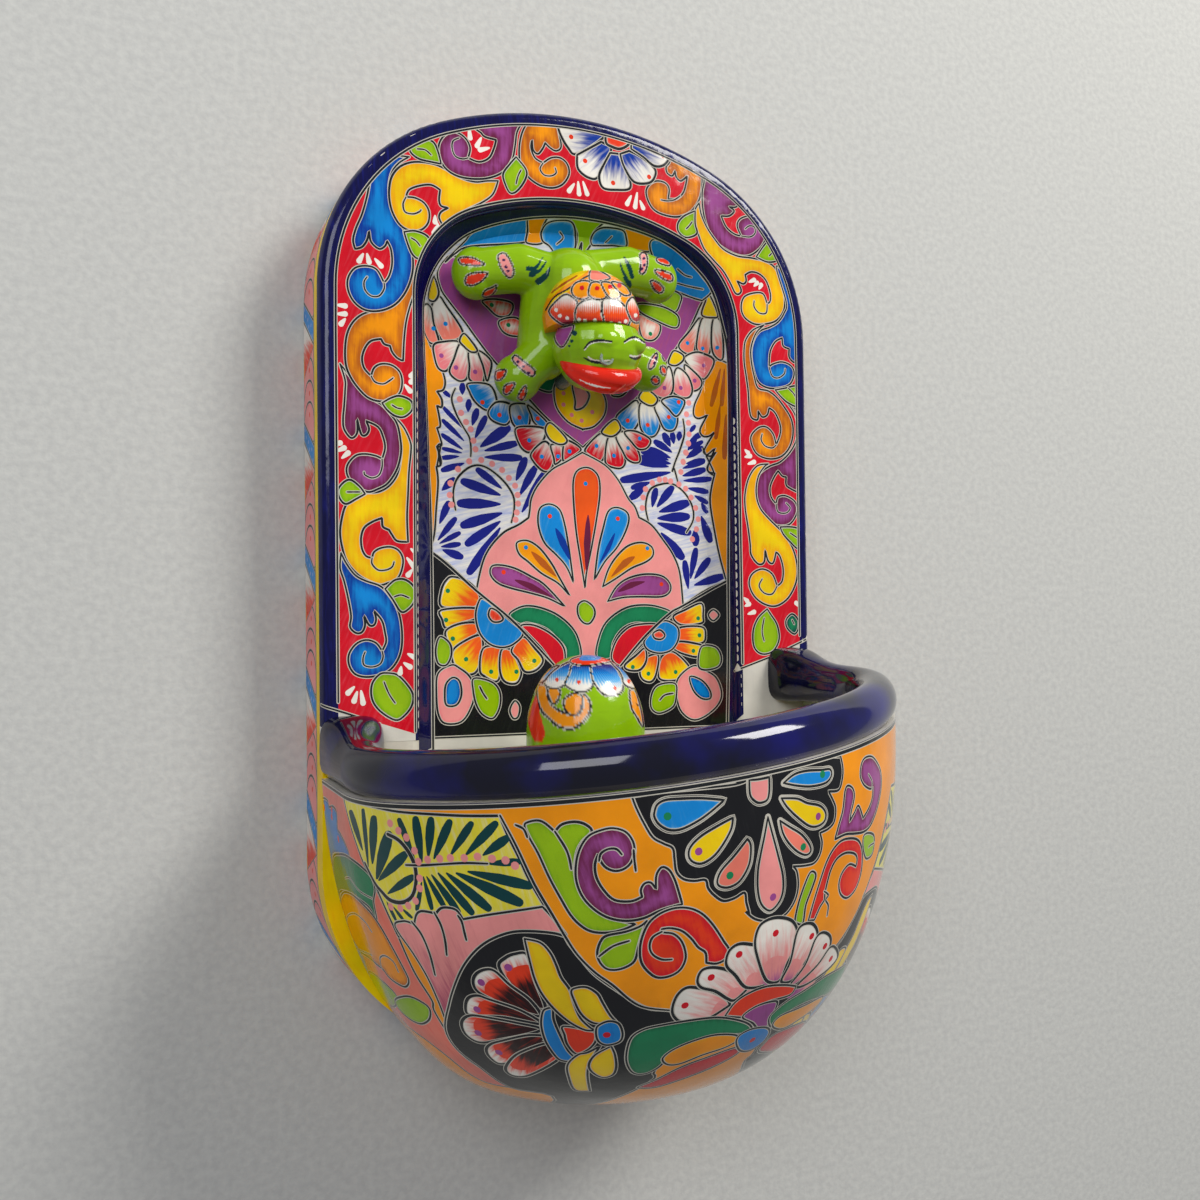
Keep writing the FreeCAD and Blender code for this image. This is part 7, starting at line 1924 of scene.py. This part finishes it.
CAP_FIGURES = [
    ("orange", xy(542.9, 310, 545.7, 292.9, 557.1, 278.6, 574.3, 266.4, 591.4, 264.3, 614.3, 272.9,
      630, 287.1, 640, 304.3, 647.1, 310, 647.1, 332.9, 545.7, 332.9), 0),
    ("yellow", xy(548.6, 288.6, 558.6, 280, 572.9, 271.4, 585.7, 268.6, 587.1, 271.4, 577.1, 278.6,
      562.9, 287.1, 551.4, 297.1, 547.1, 297.1), 0),
    ("yellow", xy(550, 301.4, 562.9, 291.4, 577.1, 282.9, 580, 285, 568.6, 291.4, 557.1, 298.6, 550, 305.7),
     0),
    ("salmon", xy(591.4, 268.3, 598.6, 270, 610, 277.4, 604.3, 280.3, 595.7, 281, 589.3, 278.6), 0.8),
]
CAP_LOWER = [
    xy(548.9, 311.4, 554.3, 302.9, 565.7, 294.3, 575.7, 300, 577.4, 305.7, 575.3, 318.6, 572.9, 325.4,
     562.9, 324.6, 554.3, 319.3),
    xy(577.4, 305.7, 588.6, 299.3, 601.4, 300.7, 601.4, 312.9, 604.3, 323.6, 594.3, 326.9, 582.9, 325.4,
     575.3, 318.6),
    xy(602.6, 300.7, 615.7, 299.3, 625.7, 307.1, 630.3, 317.1, 627.4, 326, 615.7, 327.7, 605, 324.3),
    xy(626.4, 305.7, 632.9, 297.1, 639.3, 308.6, 641.1, 320, 636, 323.1, 630.3, 318.6),
]
CAP_UPPER = [
    xy(571.4, 290, 575.7, 282.9, 582.9, 280.7, 590, 282.1, 590, 291.4, 588.6, 297.1, 582.9, 299.3,
     575, 297.1),
    xy(588.6, 290, 591.4, 282.9, 598.6, 282.1, 604.3, 287.1, 606.4, 294.3, 604.3, 298.6, 595.7, 299.3,
     589.3, 295.7),
    xy(601.4, 282.9, 608.6, 282.1, 614.3, 285.7, 620, 292.9, 618.6, 297.9, 611.4, 298.6, 605.7, 292.9),
    xy(611.4, 282.1, 620, 282.9, 627.1, 287.1, 630.3, 294.3, 624.3, 295.3, 617.1, 290),
]
CAP_DOTS = [
    ("red", 2.4, xy(581.9, 287.9, 597.1, 288.3, 610, 287.1, 619.3, 285.4)),
    ("white", 1.9, xy(556, 310, 559.7, 315.7, 567.1, 318.1, 579, 319.7, 585, 320.7, 595, 320.3,
      611, 323.1, 619.3, 323.6, 625.7, 321.4, 635.7, 315.3)),
]
CAP_STROKES = [
    ("ink", xy(545.7, 310, 554.3, 297.1, 568.6, 288.6, 582.9, 278.6, 588.6, 275.7), [0.8, 0.9, 0.8]),
    ("brown", xy(551.4, 292.9, 562.9, 284.3, 577.1, 275.7), [0.6, 1.2, 0.6]),
]
# Painted highlights on the lips: a thin white streak and a paler red streak below it, standing for the gloss
# on the red glaze
LIP_HIGHLIGHTS = [
    ("white", xy(579.3, 379.7, 590, 384.3, 600, 386.9, 610, 387.9), [0.3, 1, 0.3]),
    ("lip_highlight", xy(572.9, 385.7, 582.9, 394.3, 595.7, 397.9, 611.4, 394.3, 625.7, 384.3),
     [0.4, 1.4, 0.4]),
]
DOME_PETALS = [
    xy(571.1, 661.7, 559.4, 666.7, 550.6, 673.3, 544.1, 681.1, 547.2, 686.7, 552.8, 688.3, 559.4, 687.8,
     565, 683.9, 569.4, 673.3),
    xy(573.9, 662.2, 569.4, 673.3, 565, 683.9, 570.6, 688.9, 577.2, 691.7, 585, 691.7, 592.8, 685.6,
     591.7, 673.3, 592.8, 663.9),
    xy(592.8, 663.9, 591.7, 676.7, 597.2, 687.8, 603.9, 694.4, 610.6, 695.6, 620.6, 693.3, 623.3, 684.4,
     619.4, 673.3, 611.7, 663.3),
    xy(610.6, 661.7, 620.6, 673.3, 624.4, 684.4, 635, 688.3, 631.7, 677.8, 621.7, 666.7),
    xy(544.1, 681.1, 550.6, 673.3, 559.4, 665.6, 551.7, 667.8, 541.7, 676.7, 538.9, 682.2),
]
DOME_FIGURES = [
    ("orange", xy(536.7, 686.7, 542.8, 683.9, 547.2, 687.8, 548.3, 697.8, 553.9, 706.7, 562.8, 712.2,
      570.6, 713.9, 577.2, 712.2, 581.7, 704.4, 577.2, 695.6, 583.9, 694.4, 589.4, 701.1, 590, 711.1,
      583.9, 721.1, 575, 727.8, 567.2, 728.9, 557.2, 725.6, 548.3, 717.8, 541.7, 711.1, 537.8, 702.2),
     1.2),
    ("orange", xy(548.3, 688.9, 558.9, 688.9, 559.4, 696.7, 553.9, 704.4, 549.4, 698.9), 1),
    ("orange", xy(570.6, 694.4, 563.9, 700, 564.4, 707.8, 568.3, 713.3, 575, 715.6, 580.6, 712.2,
      582.8, 704.4, 581.7, 695.6, 576.1, 693.3), 1),
    ("scarlet", xy(536.1, 695.6, 531.7, 704.4, 528.3, 715.6, 528.3, 724.4, 531.7, 735.6, 536.1, 742.8,
      542.8, 740, 545, 733.3, 542.8, 724.4, 539.4, 711.1), 0),
    ("orange", xy(630, 690, 635, 690, 639.4, 702.2, 642.8, 717.8, 642.8, 726.7, 637.2, 717.8,
      631.7, 708.9, 630, 698.9), 1),
]
DOME_EYE = [
    ("scarlet", xy(570, 661.7, 572.8, 658.3, 583.9, 655.6, 599.4, 656.1, 611.7, 658.3, 610.6, 661.7,
      599.4, 663.9, 586.1, 665.6, 575, 664.4), 0.8),
    ("blue", xy(579.4, 659.4, 581.7, 655.6, 587.2, 653.1, 595, 653.9, 600.6, 656.7, 599.4, 659.4,
      591.7, 660.6, 583.9, 660.6), 0),
]
DOME_DOTS = [("scarlet", 1.9, xy(557, 679.4, 578.6, 682.2, 614.7, 688.1, 628.9, 681.1))]
DOME_STROKES = [
    ("ink", xy(581.7, 703.9, 579.4, 711.1, 575, 715.6, 569.4, 713.9), [0.6, 0.8, 0.4]),
    ("ink", [(636.1, 703.9), (638.9, 705.6)], [0.6, 0.6]),
]

# The frog and the pump cover: clay forms painted point by point with figures read off the photograph
FROG_X = -9.0
CLAY_GRAIN = 0.75
CLAY_SOFT = 0.7
BALL_ROUND = 24
BALL_DOWN = 14
LIMB_LUMPS = 14
FIGURE_SPARE = 2.5
STAMP_PALE = 1.5
STAMP_DARK = 0.85
POINT_WASH = (0.1, 0.3, 0.0)
POINT_DEEPEN = 0.72
POINT_GRAIN = 0.6


def frog_at(x, out, z):
    """A place by its way right of the frog's middle, out of the niche's back, and its height."""
    return np.array([FROG_X + x, NICHE_Y - out, z])


def seen_at(points):
    """Where places of the fountain show in the photograph, in pixels."""
    p = np.asarray(points) - CAMERA_AT
    deep = p @ FORWARD
    middle = PHOTO_WIDE / 2
    return np.column_stack([middle + FOCAL_PX * (p @ RIGHT) / deep, middle - FOCAL_PX * (p @ UP) / deep])


class Stamps:
    """Colours for the points of a clay form, set by figures in the photograph's pixels."""

    def __init__(self, points, normals, base):
        self.at = seen_at(points)
        self.front = ((CAMERA_AT - points) * normals).sum(1) > 0
        self.colour = np.tile(np.array(TINT[base]), (len(points), 1))

    def near(self, low, high, spare):
        """The points that the camera sees in a box of pixels, and a little round it."""
        return np.flatnonzero(self.front & ((self.at > low - spare) & (self.at < high + spare)).all(1))

    def figure(self, colour, outline, line, blend=None):
        """A filled outline, with a dark line and its pale edge where line isn't nothing."""
        shape = curve(outline, True, 6)
        here = self.near(shape.min(0), shape.max(0), FIGURE_SPARE)
        if not len(here):
            return
        within = inside(self.at[here], shape)
        far = gap(self.at[here], shape)
        self.colour[here[within]] = blend(self.at[here[within]]) if blend else TINT[colour]
        if line:
            self.colour[here[(far < line * STAMP_PALE) & (far > line * STAMP_DARK)]] = PALE
            self.colour[here[far <= line * STAMP_DARK]] = INK

    def dots(self, colour, size, places):
        """Round dots."""
        for dot in np.array(places):
            here = self.near(dot, dot, size)
            self.colour[here[np.hypot(*(self.at[here] - dot).T) < size]] = TINT[colour]

    def stroke(self, colour, line, widths):
        """A brush stroke with its half widths."""
        shape = Sheet().ribbon(curve(line), widths)
        here = self.near(shape.min(0), shape.max(0), 0.5)
        if len(here):
            self.colour[here[inside(self.at[here], shape)]] = TINT[colour]

    def petals(self, outlines, stops, wave, beat):
        """Petals whose colours run down along stops, with a wavy edge between them."""
        for outline in outlines:
            low, high = min(y for _, y in outline), max(y for _, y in outline)
            self.figure("white", outline, 0.9, lambda p: ramp(
                stops, (p[:, 1] - low) / (high - low) + wave * np.sin(p[:, 0] * beat)))

    def lay(self, shapes=(), spots=(), lines=()):
        """Lays figures, dots and strokes in turn."""
        for colour, outline, line in shapes:
            self.figure(colour, outline, line)
        for args in spots:
            self.dots(*args)
        for args in lines:
            self.stroke(*args)


def ramp(stops, at):
    """Colours along a run of (place, colour) stops."""
    places = [p for p, _ in stops]
    return np.column_stack([np.interp(at, places, [TINT[c][i] for _, c in stops]) for i in range(3)])


def read_points(mesh):
    """The places of a mesh's points, in millimetres."""
    at = np.zeros(len(mesh.vertices) * 3)
    mesh.vertices.foreach_get("co", at)
    return at.reshape(-1, 3) / MM


def painted(name, mesh, colour, body):
    """Gives a mesh its point colours and the glaze, and makes it a piece."""
    n = len(mesh.vertices)
    opaque = np.ones(n)
    write_layers(mesh, "POINT", [
        np.column_stack([colour, opaque]), np.column_stack([colour * POINT_DEEPEN, opaque]),
        np.tile(POINT_WASH, (n, 1)), read_points(mesh) * POINT_GRAIN])
    mesh.materials.clear()
    mesh.materials.append(GLAZE)
    mesh.shade_smooth()
    return add_piece(name, mesh, body)


def ball(at, size):
    """Points and faces of a rounded lump with its own radius along each axis."""
    n, m = BALL_ROUND, BALL_DOWN
    verts, faces = [], []
    for i in range(1, m):
        a = math.pi * i / m
        for k in range(n):
            b = 2 * math.pi * k / n
            way = [math.sin(a) * math.cos(b), math.sin(a) * math.sin(b), math.cos(a)]
            verts.append(at + np.array(size) * way)
    for i in range(m - 2):
        for k in range(n):
            faces.append((i * n + k, (i + 1) * n + k, (i + 1) * n + (k + 1) % n, i * n + (k + 1) % n))
    top, low = len(verts), len(verts) + 1
    verts += [at + np.array([0, 0, size[2]]), at - np.array([0, 0, size[2]])]
    last = (m - 2) * n
    for k in range(n):
        faces.append((top, k, (k + 1) % n))
        faces.append((low, last + (k + 1) % n, last + k))
    return verts, faces


def limb(a, b, r, s):
    """Lumps from one place to another, with radii from r to s."""
    return [ball(a + (b - a) * t, [r + (s - r) * t] * 3) for t in np.linspace(0, 1, LIMB_LUMPS)]


def clay(lumps, smooth, cut, grain=CLAY_GRAIN):
    """One smooth mesh over many lumps of clay, with its points and normals."""
    verts, faces = [], []
    for v, f in lumps:
        faces += [tuple(i + len(verts) for i in face) for face in f]
        verts += v
    mesh = bpy.data.meshes.new("lumps")
    mesh.from_pydata((np.array(verts) * MM).tolist(), [], faces)
    obj = bpy.data.objects.new("lumps", mesh)
    bpy.context.scene.collection.objects.link(obj)
    fuse = obj.modifiers.new("fuse", "REMESH")
    fuse.mode = "VOXEL"
    fuse.voxel_size = grain * MM
    soft = obj.modifiers.new("soft", "SMOOTH")
    soft.factor = CLAY_SOFT
    soft.iterations = smooth
    bpy.context.view_layer.update()
    out = bpy.data.meshes.new_from_object(obj.evaluated_get(bpy.context.evaluated_depsgraph_get()))
    bpy.data.objects.remove(obj)
    at = cut(read_points(out))
    out.vertices.foreach_set("co", (at * MM).ravel())
    out.update()
    normal = np.zeros(len(out.vertices) * 3)
    out.vertices.foreach_get("normal", normal)
    return out, at, normal.reshape(-1, 3)


def seat(at):
    """Presses the clay flat onto the back of the niche."""
    at = at.copy()
    at[:, 1] = np.minimum(at[:, 1], NICHE_Y)
    return at


HAND_SPOTS = {-1: (-37.0, 17.0, -107.0), 1: (53.0, 17.0, -93.0)}
LEGS = [(-1, (-8, 21, -43), (-37, 20, -38), (-62, 15, -42), 15.2, 14.6),
        (1, (8, 21, -37), (38, 20, -30), (61, 16, -31), 15.5, 13.6)]
CAP_BRIM = -81.5
CAP_STOPS = [(0, "white"), (0.18, "white"), (0.42, "fire"), (0.68, "scarlet"), (0.95, "maroon")]
LIP_R = 6.4
LIP_SPAN = 80
LIP_LUMPS = 33


def frog_piece(node, form, base, lay):
    """One painted clay piece of the frog in place of its node."""
    mesh, at, normal = form
    stamps = Stamps(at, normal, base)
    lay(stamps)
    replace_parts(painted(node, mesh, stamps.colour, "fountain"), node)


def body_form():
    """The body with two legs spread at the top and two arms below."""
    lumps = limb(frog_at(-4, 22, -46), frog_at(-6, 24, -78), 24, 22)
    lumps += limb(frog_at(-14, 18, -56), frog_at(-20, 17, -90), 20, 17)
    for hand, hip, knee, foot, thick, paw in LEGS:
        foot = frog_at(*foot)
        palm = frog_at(*HAND_SPOTS[hand])
        lumps += limb(frog_at(*hip), frog_at(*knee), thick, thick) + limb(frog_at(*knee), foot, thick, paw)
        lumps += [ball(foot + [hand * 1.5, 0, -1], (paw + 1, paw - 1.5, paw + 2))]
        lumps += limb(frog_at(hand * 15, 22, -84), palm, 14.5, 13.5)
        lumps += [ball(palm, (15.2, 12.5, 15.2))]
    return clay(lumps, 14, seat)


def head_form():
    """The head with its muzzle and two eyes."""
    middle = frog_at(4, 48, -92)
    lumps = [ball(middle, (28.5, 26, 25)), ball(middle + [0, -2, -12], (25, 19, 15))]
    lumps.append(ball(middle + (-3.0, -21.5, 0.5), (10, 5.5, 7.5)))
    lumps.append(ball(middle + (17.0, -15.5, 0.5), (8.5, 6.5, 7.0)))
    return clay(lumps, 10, seat, 0.5)


def lips_form():
    """The two lips as one curved coil."""
    lumps = []
    for turn in np.linspace(-LIP_SPAN, LIP_SPAN, LIP_LUMPS):
        swing = math.cos(math.radians(turn))
        r = LIP_R * (0.2 + 0.8 * swing)
        at = frog_at(5 + 25 * math.sin(math.radians(turn)), 46 + 20 * swing, -100 - 14.5 * swing)
        lumps.append(ball(at, (r, r, r)))
        lumps.append(ball(at + [-2 * swing, 1.5 * swing, -4.0 * swing], (r * 0.85, r * 0.8, r * 0.8)))
    return clay(lumps, 6, same, 0.6)


def above_brim(p):
    """Cuts the cap's underside level and seats it."""
    return seat(np.column_stack([p[:, 0], p[:, 1], np.maximum(p[:, 2], CAP_BRIM)]))


def lay_cap(stamps):
    stamps.lay(CAP_FIGURES)
    stamps.petals(CAP_LOWER, CAP_STOPS, 0.12, 3.1)
    stamps.lay(lines=CAP_STROKES)
    for outline in CAP_UPPER:
        stamps.figure("orange", outline, 0.9)
    stamps.lay(spots=CAP_DOTS)


def frog():
    """The clinging frog: body, head, cap and lips."""
    frog_piece("frog_body", body_form(), "frog",
               lambda stamps: stamps.lay(FROG_FIGURES, FROG_DOTS, FROG_STROKES))
    frog_piece("frog_head", head_form(), "frog",
               lambda stamps: stamps.lay(HEAD_FIGURES, HEAD_DOTS, HEAD_STROKES))
    cap = clay([ball(frog_at(1, 46, -73), (30.8, 28.5, 29.5))], 2, above_brim, 0.55)
    frog_piece("frog_cap", cap, "orange", lay_cap)
    # the lips are red with painted highlight streaks laid over them
    frog_piece("frog_lips", lips_form(), "lips", lambda stamps: stamps.lay(lines=LIP_HIGHLIGHTS))


# The pump cover: a bell with a painted dome, under a glaze skin that ends out of sight in the bowl
COVER_AT = (-22.5, -92.0)
COVER_FOOT_R = 40.0
COVER_NECK_R = 35.0
COVER_TOP_Z = -281.0
COVER_CROWN = 50.0
CROWN_FULL = 0.9
GLAZE_END = -360.0
COVER_FOOT_DROP = 517.7
COVER_SIDES = 240
DOME_ROWS = 70
WALL_ROWS = 33
DOME_STOPS = [(0, "purple_dark"), (0.12, "cobalt"), (0.35, "blue"), (0.6, "sky"), (0.72, "white")]


def cover_line():
    """Radius and level down the pump cover, from its top to where its glaze skin ends."""
    t = np.linspace(math.pi / 2 - 0.02, 0, DOME_ROWS)
    neck = COVER_TOP_Z - COVER_CROWN
    dome_r = COVER_NECK_R * np.cos(t)**CROWN_FULL
    crown = np.column_stack([dome_r, neck + COVER_CROWN * np.sin(t)**CROWN_FULL])
    z = np.linspace(neck, GLAZE_END, WALL_ROWS + 1)[1:]
    radius = np.interp(-z, [-neck, COVER_FOOT_DROP], [COVER_NECK_R, COVER_FOOT_R])
    return np.vstack([crown, np.column_stack([radius, z])])


def round_points(r, z, turn):
    """Points of a turned form, row by row."""
    return np.stack([r * np.cos(turn), r * np.sin(turn), z + 0 * turn], 2).reshape(-1, 3)


def cover_faces(sides, rows):
    """Faces of the skin's outside and inside, the edge between them and a fan at each top."""
    faces, size = [], sides * rows
    for i in range(rows - 1):
        for k in range(sides):
            a, b = i * sides + k, i * sides + (k + 1) % sides
            faces.append((a, a + sides, b + sides, b))
            faces.append((a + size, b + size, b + sides + size, a + sides + size))
    last = (rows - 1) * sides
    for k in range(sides):
        j = (k + 1) % sides
        faces.append((last + k, last + k + size, last + j + size, last + j))
        faces.append((2 * size, k, j))
        faces.append((2 * size + 1, j + size, k + size))
    return faces


def cover():
    """The pump cover's glaze; the painting in front of the dome is repeated behind."""
    line = cover_line()
    across = np.gradient(line, axis=0)
    across = np.column_stack([-across[:, 1], across[:, 0]]) / np.hypot(*across.T)[:, None]
    turn = np.linspace(0, 2 * math.pi, COVER_SIDES, endpoint=False)
    centre = np.array([*COVER_AT, 0.0])
    skins = [line + across * LIFT, line - across * (SKIN - LIFT)]
    rings = [round_points(skin[:, 0:1], skin[:, 1:2], turn) + centre for skin in skins]
    tops = [[(*COVER_AT, line[0, 1] + LIFT)], [(*COVER_AT, line[0, 1] - 0.4)]]
    at = np.vstack(rings + tops)
    size = COVER_SIDES * len(line)
    mesh = bpy.data.meshes.new("pump_cover_glaze")
    mesh.from_pydata((at * MM).tolist(), [], cover_faces(COVER_SIDES, len(line)))
    normal = round_points(across[:, 0:1], across[:, 1:2], turn)
    outer = at[:size] - centre
    away = ((CAMERA_AT - at[:size]) * normal).sum(1) <= 0
    outer[away, :2] *= -1
    normal[away, :2] *= -1
    stamps = Stamps(outer + centre, normal, "frog")
    stamps.lay(DOME_FIGURES, (), DOME_STROKES)
    stamps.petals(DOME_PETALS, DOME_STOPS, 0.1, 3.3)
    stamps.lay(DOME_EYE, DOME_DOTS)
    colour = np.vstack([stamps.colour, np.tile(TINT["frog"], (size + 2, 1))])
    colour[2 * size] = TINT["blue"]
    painted("pump_cover_glaze", mesh, colour, "pump_cover")


# Materials of the pieces
SPECKLE_DETAIL = 4.0
RELIEF = 0.4


def speckled(name, one, two, scale, rough, bump=0.0, metal=0.0, spread_out=(0.35, 0.65), clear=0.0):
    """Two colours mixed by a fine noise, with its own roughness and grain."""
    mat = bpy.data.materials.new(name)
    mat.use_nodes = True
    tree = mat.node_tree
    new, link = tree.nodes.new, tree.links.new
    shine = tree.nodes["Principled BSDF"]
    place = new("ShaderNodeTexCoord")
    grain = new("ShaderNodeTexNoise")
    socket(grain, "Scale", scale)
    socket(grain, "Detail", SPECKLE_DETAIL)
    link(place.outputs["Object"], grain.inputs["Vector"])
    shade = new("ShaderNodeMapRange")
    socket(shade, "From Min", spread_out[0])
    socket(shade, "From Max", spread_out[1])
    link(grain.outputs[0], shade.inputs["Value"])
    mix = new("ShaderNodeMix")
    mix.data_type = "RGBA"
    mix.inputs[6].default_value = (*one, 1)
    mix.inputs[7].default_value = (*two, 1)
    link(shade.outputs[0], mix.inputs[0])
    link(mix.outputs[2], shine.inputs["Base Color"])
    socket(shine, "Roughness", rough)
    socket(shine, "Metallic", metal)
    socket(shine, "Transmission Weight", clear)
    if bump:
        relief = new("ShaderNodeBump")
        socket(relief, "Strength", RELIEF)
        socket(relief, "Distance", bump)
        link(grain.outputs[0], relief.inputs["Height"])
        link(relief.outputs[0], shine.inputs["Normal"])
    return mat


COBALT_GLAZE = speckled("cobalt_glaze", glaze(0.05, 0.05, 0.13), glaze(0.07, 0.07, 0.42), 17.0, 0.08,
                        0.0012, 0.0, (0.47, 0.75))
BARE = speckled("bare_clay", glaze(0.88, 0.86, 0.80), glaze(0.80, 0.77, 0.71), 60.0, 0.42, 0.0004)
LIME_GLAZE = speckled("lime_glaze", TINT["frog"], TINT["lime_deep"], 40.0, 0.11, 0.0005)
RUBBER = speckled("rubber", glaze(0.07, 0.07, 0.07), glaze(0.12, 0.12, 0.12), 220.0, 0.62, 0.0002)
VINYL = speckled("clear_vinyl", glaze(0.88, 0.91, 0.90), glaze(0.80, 0.85, 0.84), 90.0, 0.12,
                 0.0002, 0.0, (0.35, 0.65), 0.7)

# Each name, its two greys or colours, noise scale, roughness, grain depth, metal and the nodes made of it
FITTINGS = [
    ("black_plastic", (0.10, 0.10, 0.11), (0.15, 0.15, 0.16), 300.0, 0.38, 0.0001, 0.0,
     ("pump_housing", "volute_plate", "intake_hood")),
    ("core_steel", (0.55, 0.55, 0.57), (0.42, 0.42, 0.45), 180.0, 0.35, 0.0001, 1.0, ("stator_core",)),
    ("copper", (0.78, 0.45, 0.28), (0.62, 0.30, 0.16), 240.0, 0.3, 0.0002, 1.0, ("stator_coil",)),
    ("resin", (0.14, 0.14, 0.15), (0.20, 0.20, 0.21), 120.0, 0.3, 0.0002, 0.0, ("pump_base_plate",)),
    ("ferrite", (0.16, 0.16, 0.17), (0.24, 0.24, 0.25), 260.0, 0.4, 0.0001, 0.0, ("rotor_magnet",)),
    ("impeller_plastic", (0.86, 0.86, 0.84), (0.78, 0.78, 0.76), 200.0, 0.35, 0.0001, 0.0,
     ("impeller", "flow_gate")),
    ("shaft_ceramic", (0.93, 0.93, 0.91), (0.84, 0.84, 0.82), 260.0, 0.2, 0.00005, 0.0, ("rotor_shaft",)),
]
NODE_MATERIALS = {"supply_tube": VINYL, "pump_cover": LIME_GLAZE}
for part in ("tube_grommet", "cord_grommet", "suction_feet", "cord_gland", "rear_bush", "front_bush"):
    NODE_MATERIALS[part] = RUBBER
for label, one, two, scale, rough, grain, metal, parts in FITTINGS:
    fitting = speckled(label, glaze(*one), glaze(*two), scale, rough, grain, metal)
    for part in parts:
        NODE_MATERIALS[part] = fitting
place_camera()
for name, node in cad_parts.items():
    node.data.materials.clear()
    node.data.materials.append(NODE_MATERIALS.get(name, BARE))


front_border()
bowl()
niche()
rim()
frog()
cover()
side()


# The setting: a pale wall, seen from its front only, a window and a weaker fill
WALL_SIZE = 6
WALL_GAP = 0.0006
WALL_CLEAR = 0.004
LAMP_SIZE = (1.2, 1.2)
LAMP_AIM = (0, -0.1, -0.25)
SKY_TINT = (0.9, 0.93, 1.0, 1)
SKY_STRENGTH = 0.26
LAMPS = (
    ("window", (1.65, -1.8, 1.7), 78, (1.0, 0.98, 0.95)),
    ("fill", (-1.2, -2.0, 0.75), 24, (0.94, 0.95, 1.0)),
)


def wall_material():
    """Pale plaster that isn't there from behind, nor for light that leaves the fountain's back."""
    plaster = speckled("wall", glaze(0.79, 0.79, 0.765), glaze(0.75, 0.75, 0.73), 220.0, 0.85, 0.0008)
    tree = plaster.node_tree
    new, link = tree.nodes.new, tree.links.new
    side_on, path = new("ShaderNodeNewGeometry"), new("ShaderNodeLightPath")
    near, hidden = new("ShaderNodeMath"), new("ShaderNodeMath")
    near.operation = "LESS_THAN"
    near.inputs[1].default_value = WALL_CLEAR
    hidden.operation = "MAXIMUM"
    either = new("ShaderNodeMixShader")
    link(path.outputs["Ray Length"], near.inputs[0])
    link(near.outputs[0], hidden.inputs[0])
    link(side_on.outputs["Backfacing"], hidden.inputs[1])
    link(hidden.outputs[0], either.inputs[0])
    link(tree.nodes["Principled BSDF"].outputs[0], either.inputs[1])
    link(new("ShaderNodeBsdfTransparent").outputs[0], either.inputs[2])
    link(either.outputs[0], tree.nodes["Material Output"].inputs["Surface"])
    return plaster


def studio():
    """A pale wall behind, a soft window light from the upper right and a fill from the left."""
    for name, at, power, tint in LAMPS:
        data = bpy.data.lights.new(name, "AREA")
        data.shape = "RECTANGLE"
        data.size, data.size_y = LAMP_SIZE
        data.energy = power
        data.color = tint
        lamp = bpy.data.objects.new(name, data)
        lamp.location = at
        lamp.rotation_euler = (Vector(LAMP_AIM) - Vector(at)).to_track_quat("-Z", "Y").to_euler()
        bpy.context.scene.collection.objects.link(lamp)
    world = bpy.data.worlds.new("world")
    bpy.context.scene.world = world
    world.use_nodes = True
    socket(world.node_tree.nodes["Background"], "Color", SKY_TINT)
    socket(world.node_tree.nodes["Background"], "Strength", SKY_STRENGTH)
    bpy.context.scene.view_settings.view_transform = "Standard"
    upright = (math.radians(90), 0, 0)
    bpy.ops.mesh.primitive_plane_add(size=WALL_SIZE, location=(0, WALL_GAP, 0), rotation=upright)
    wall = bpy.context.object
    wall.name = "wall"
    wall.data.materials.append(wall_material())


studio()
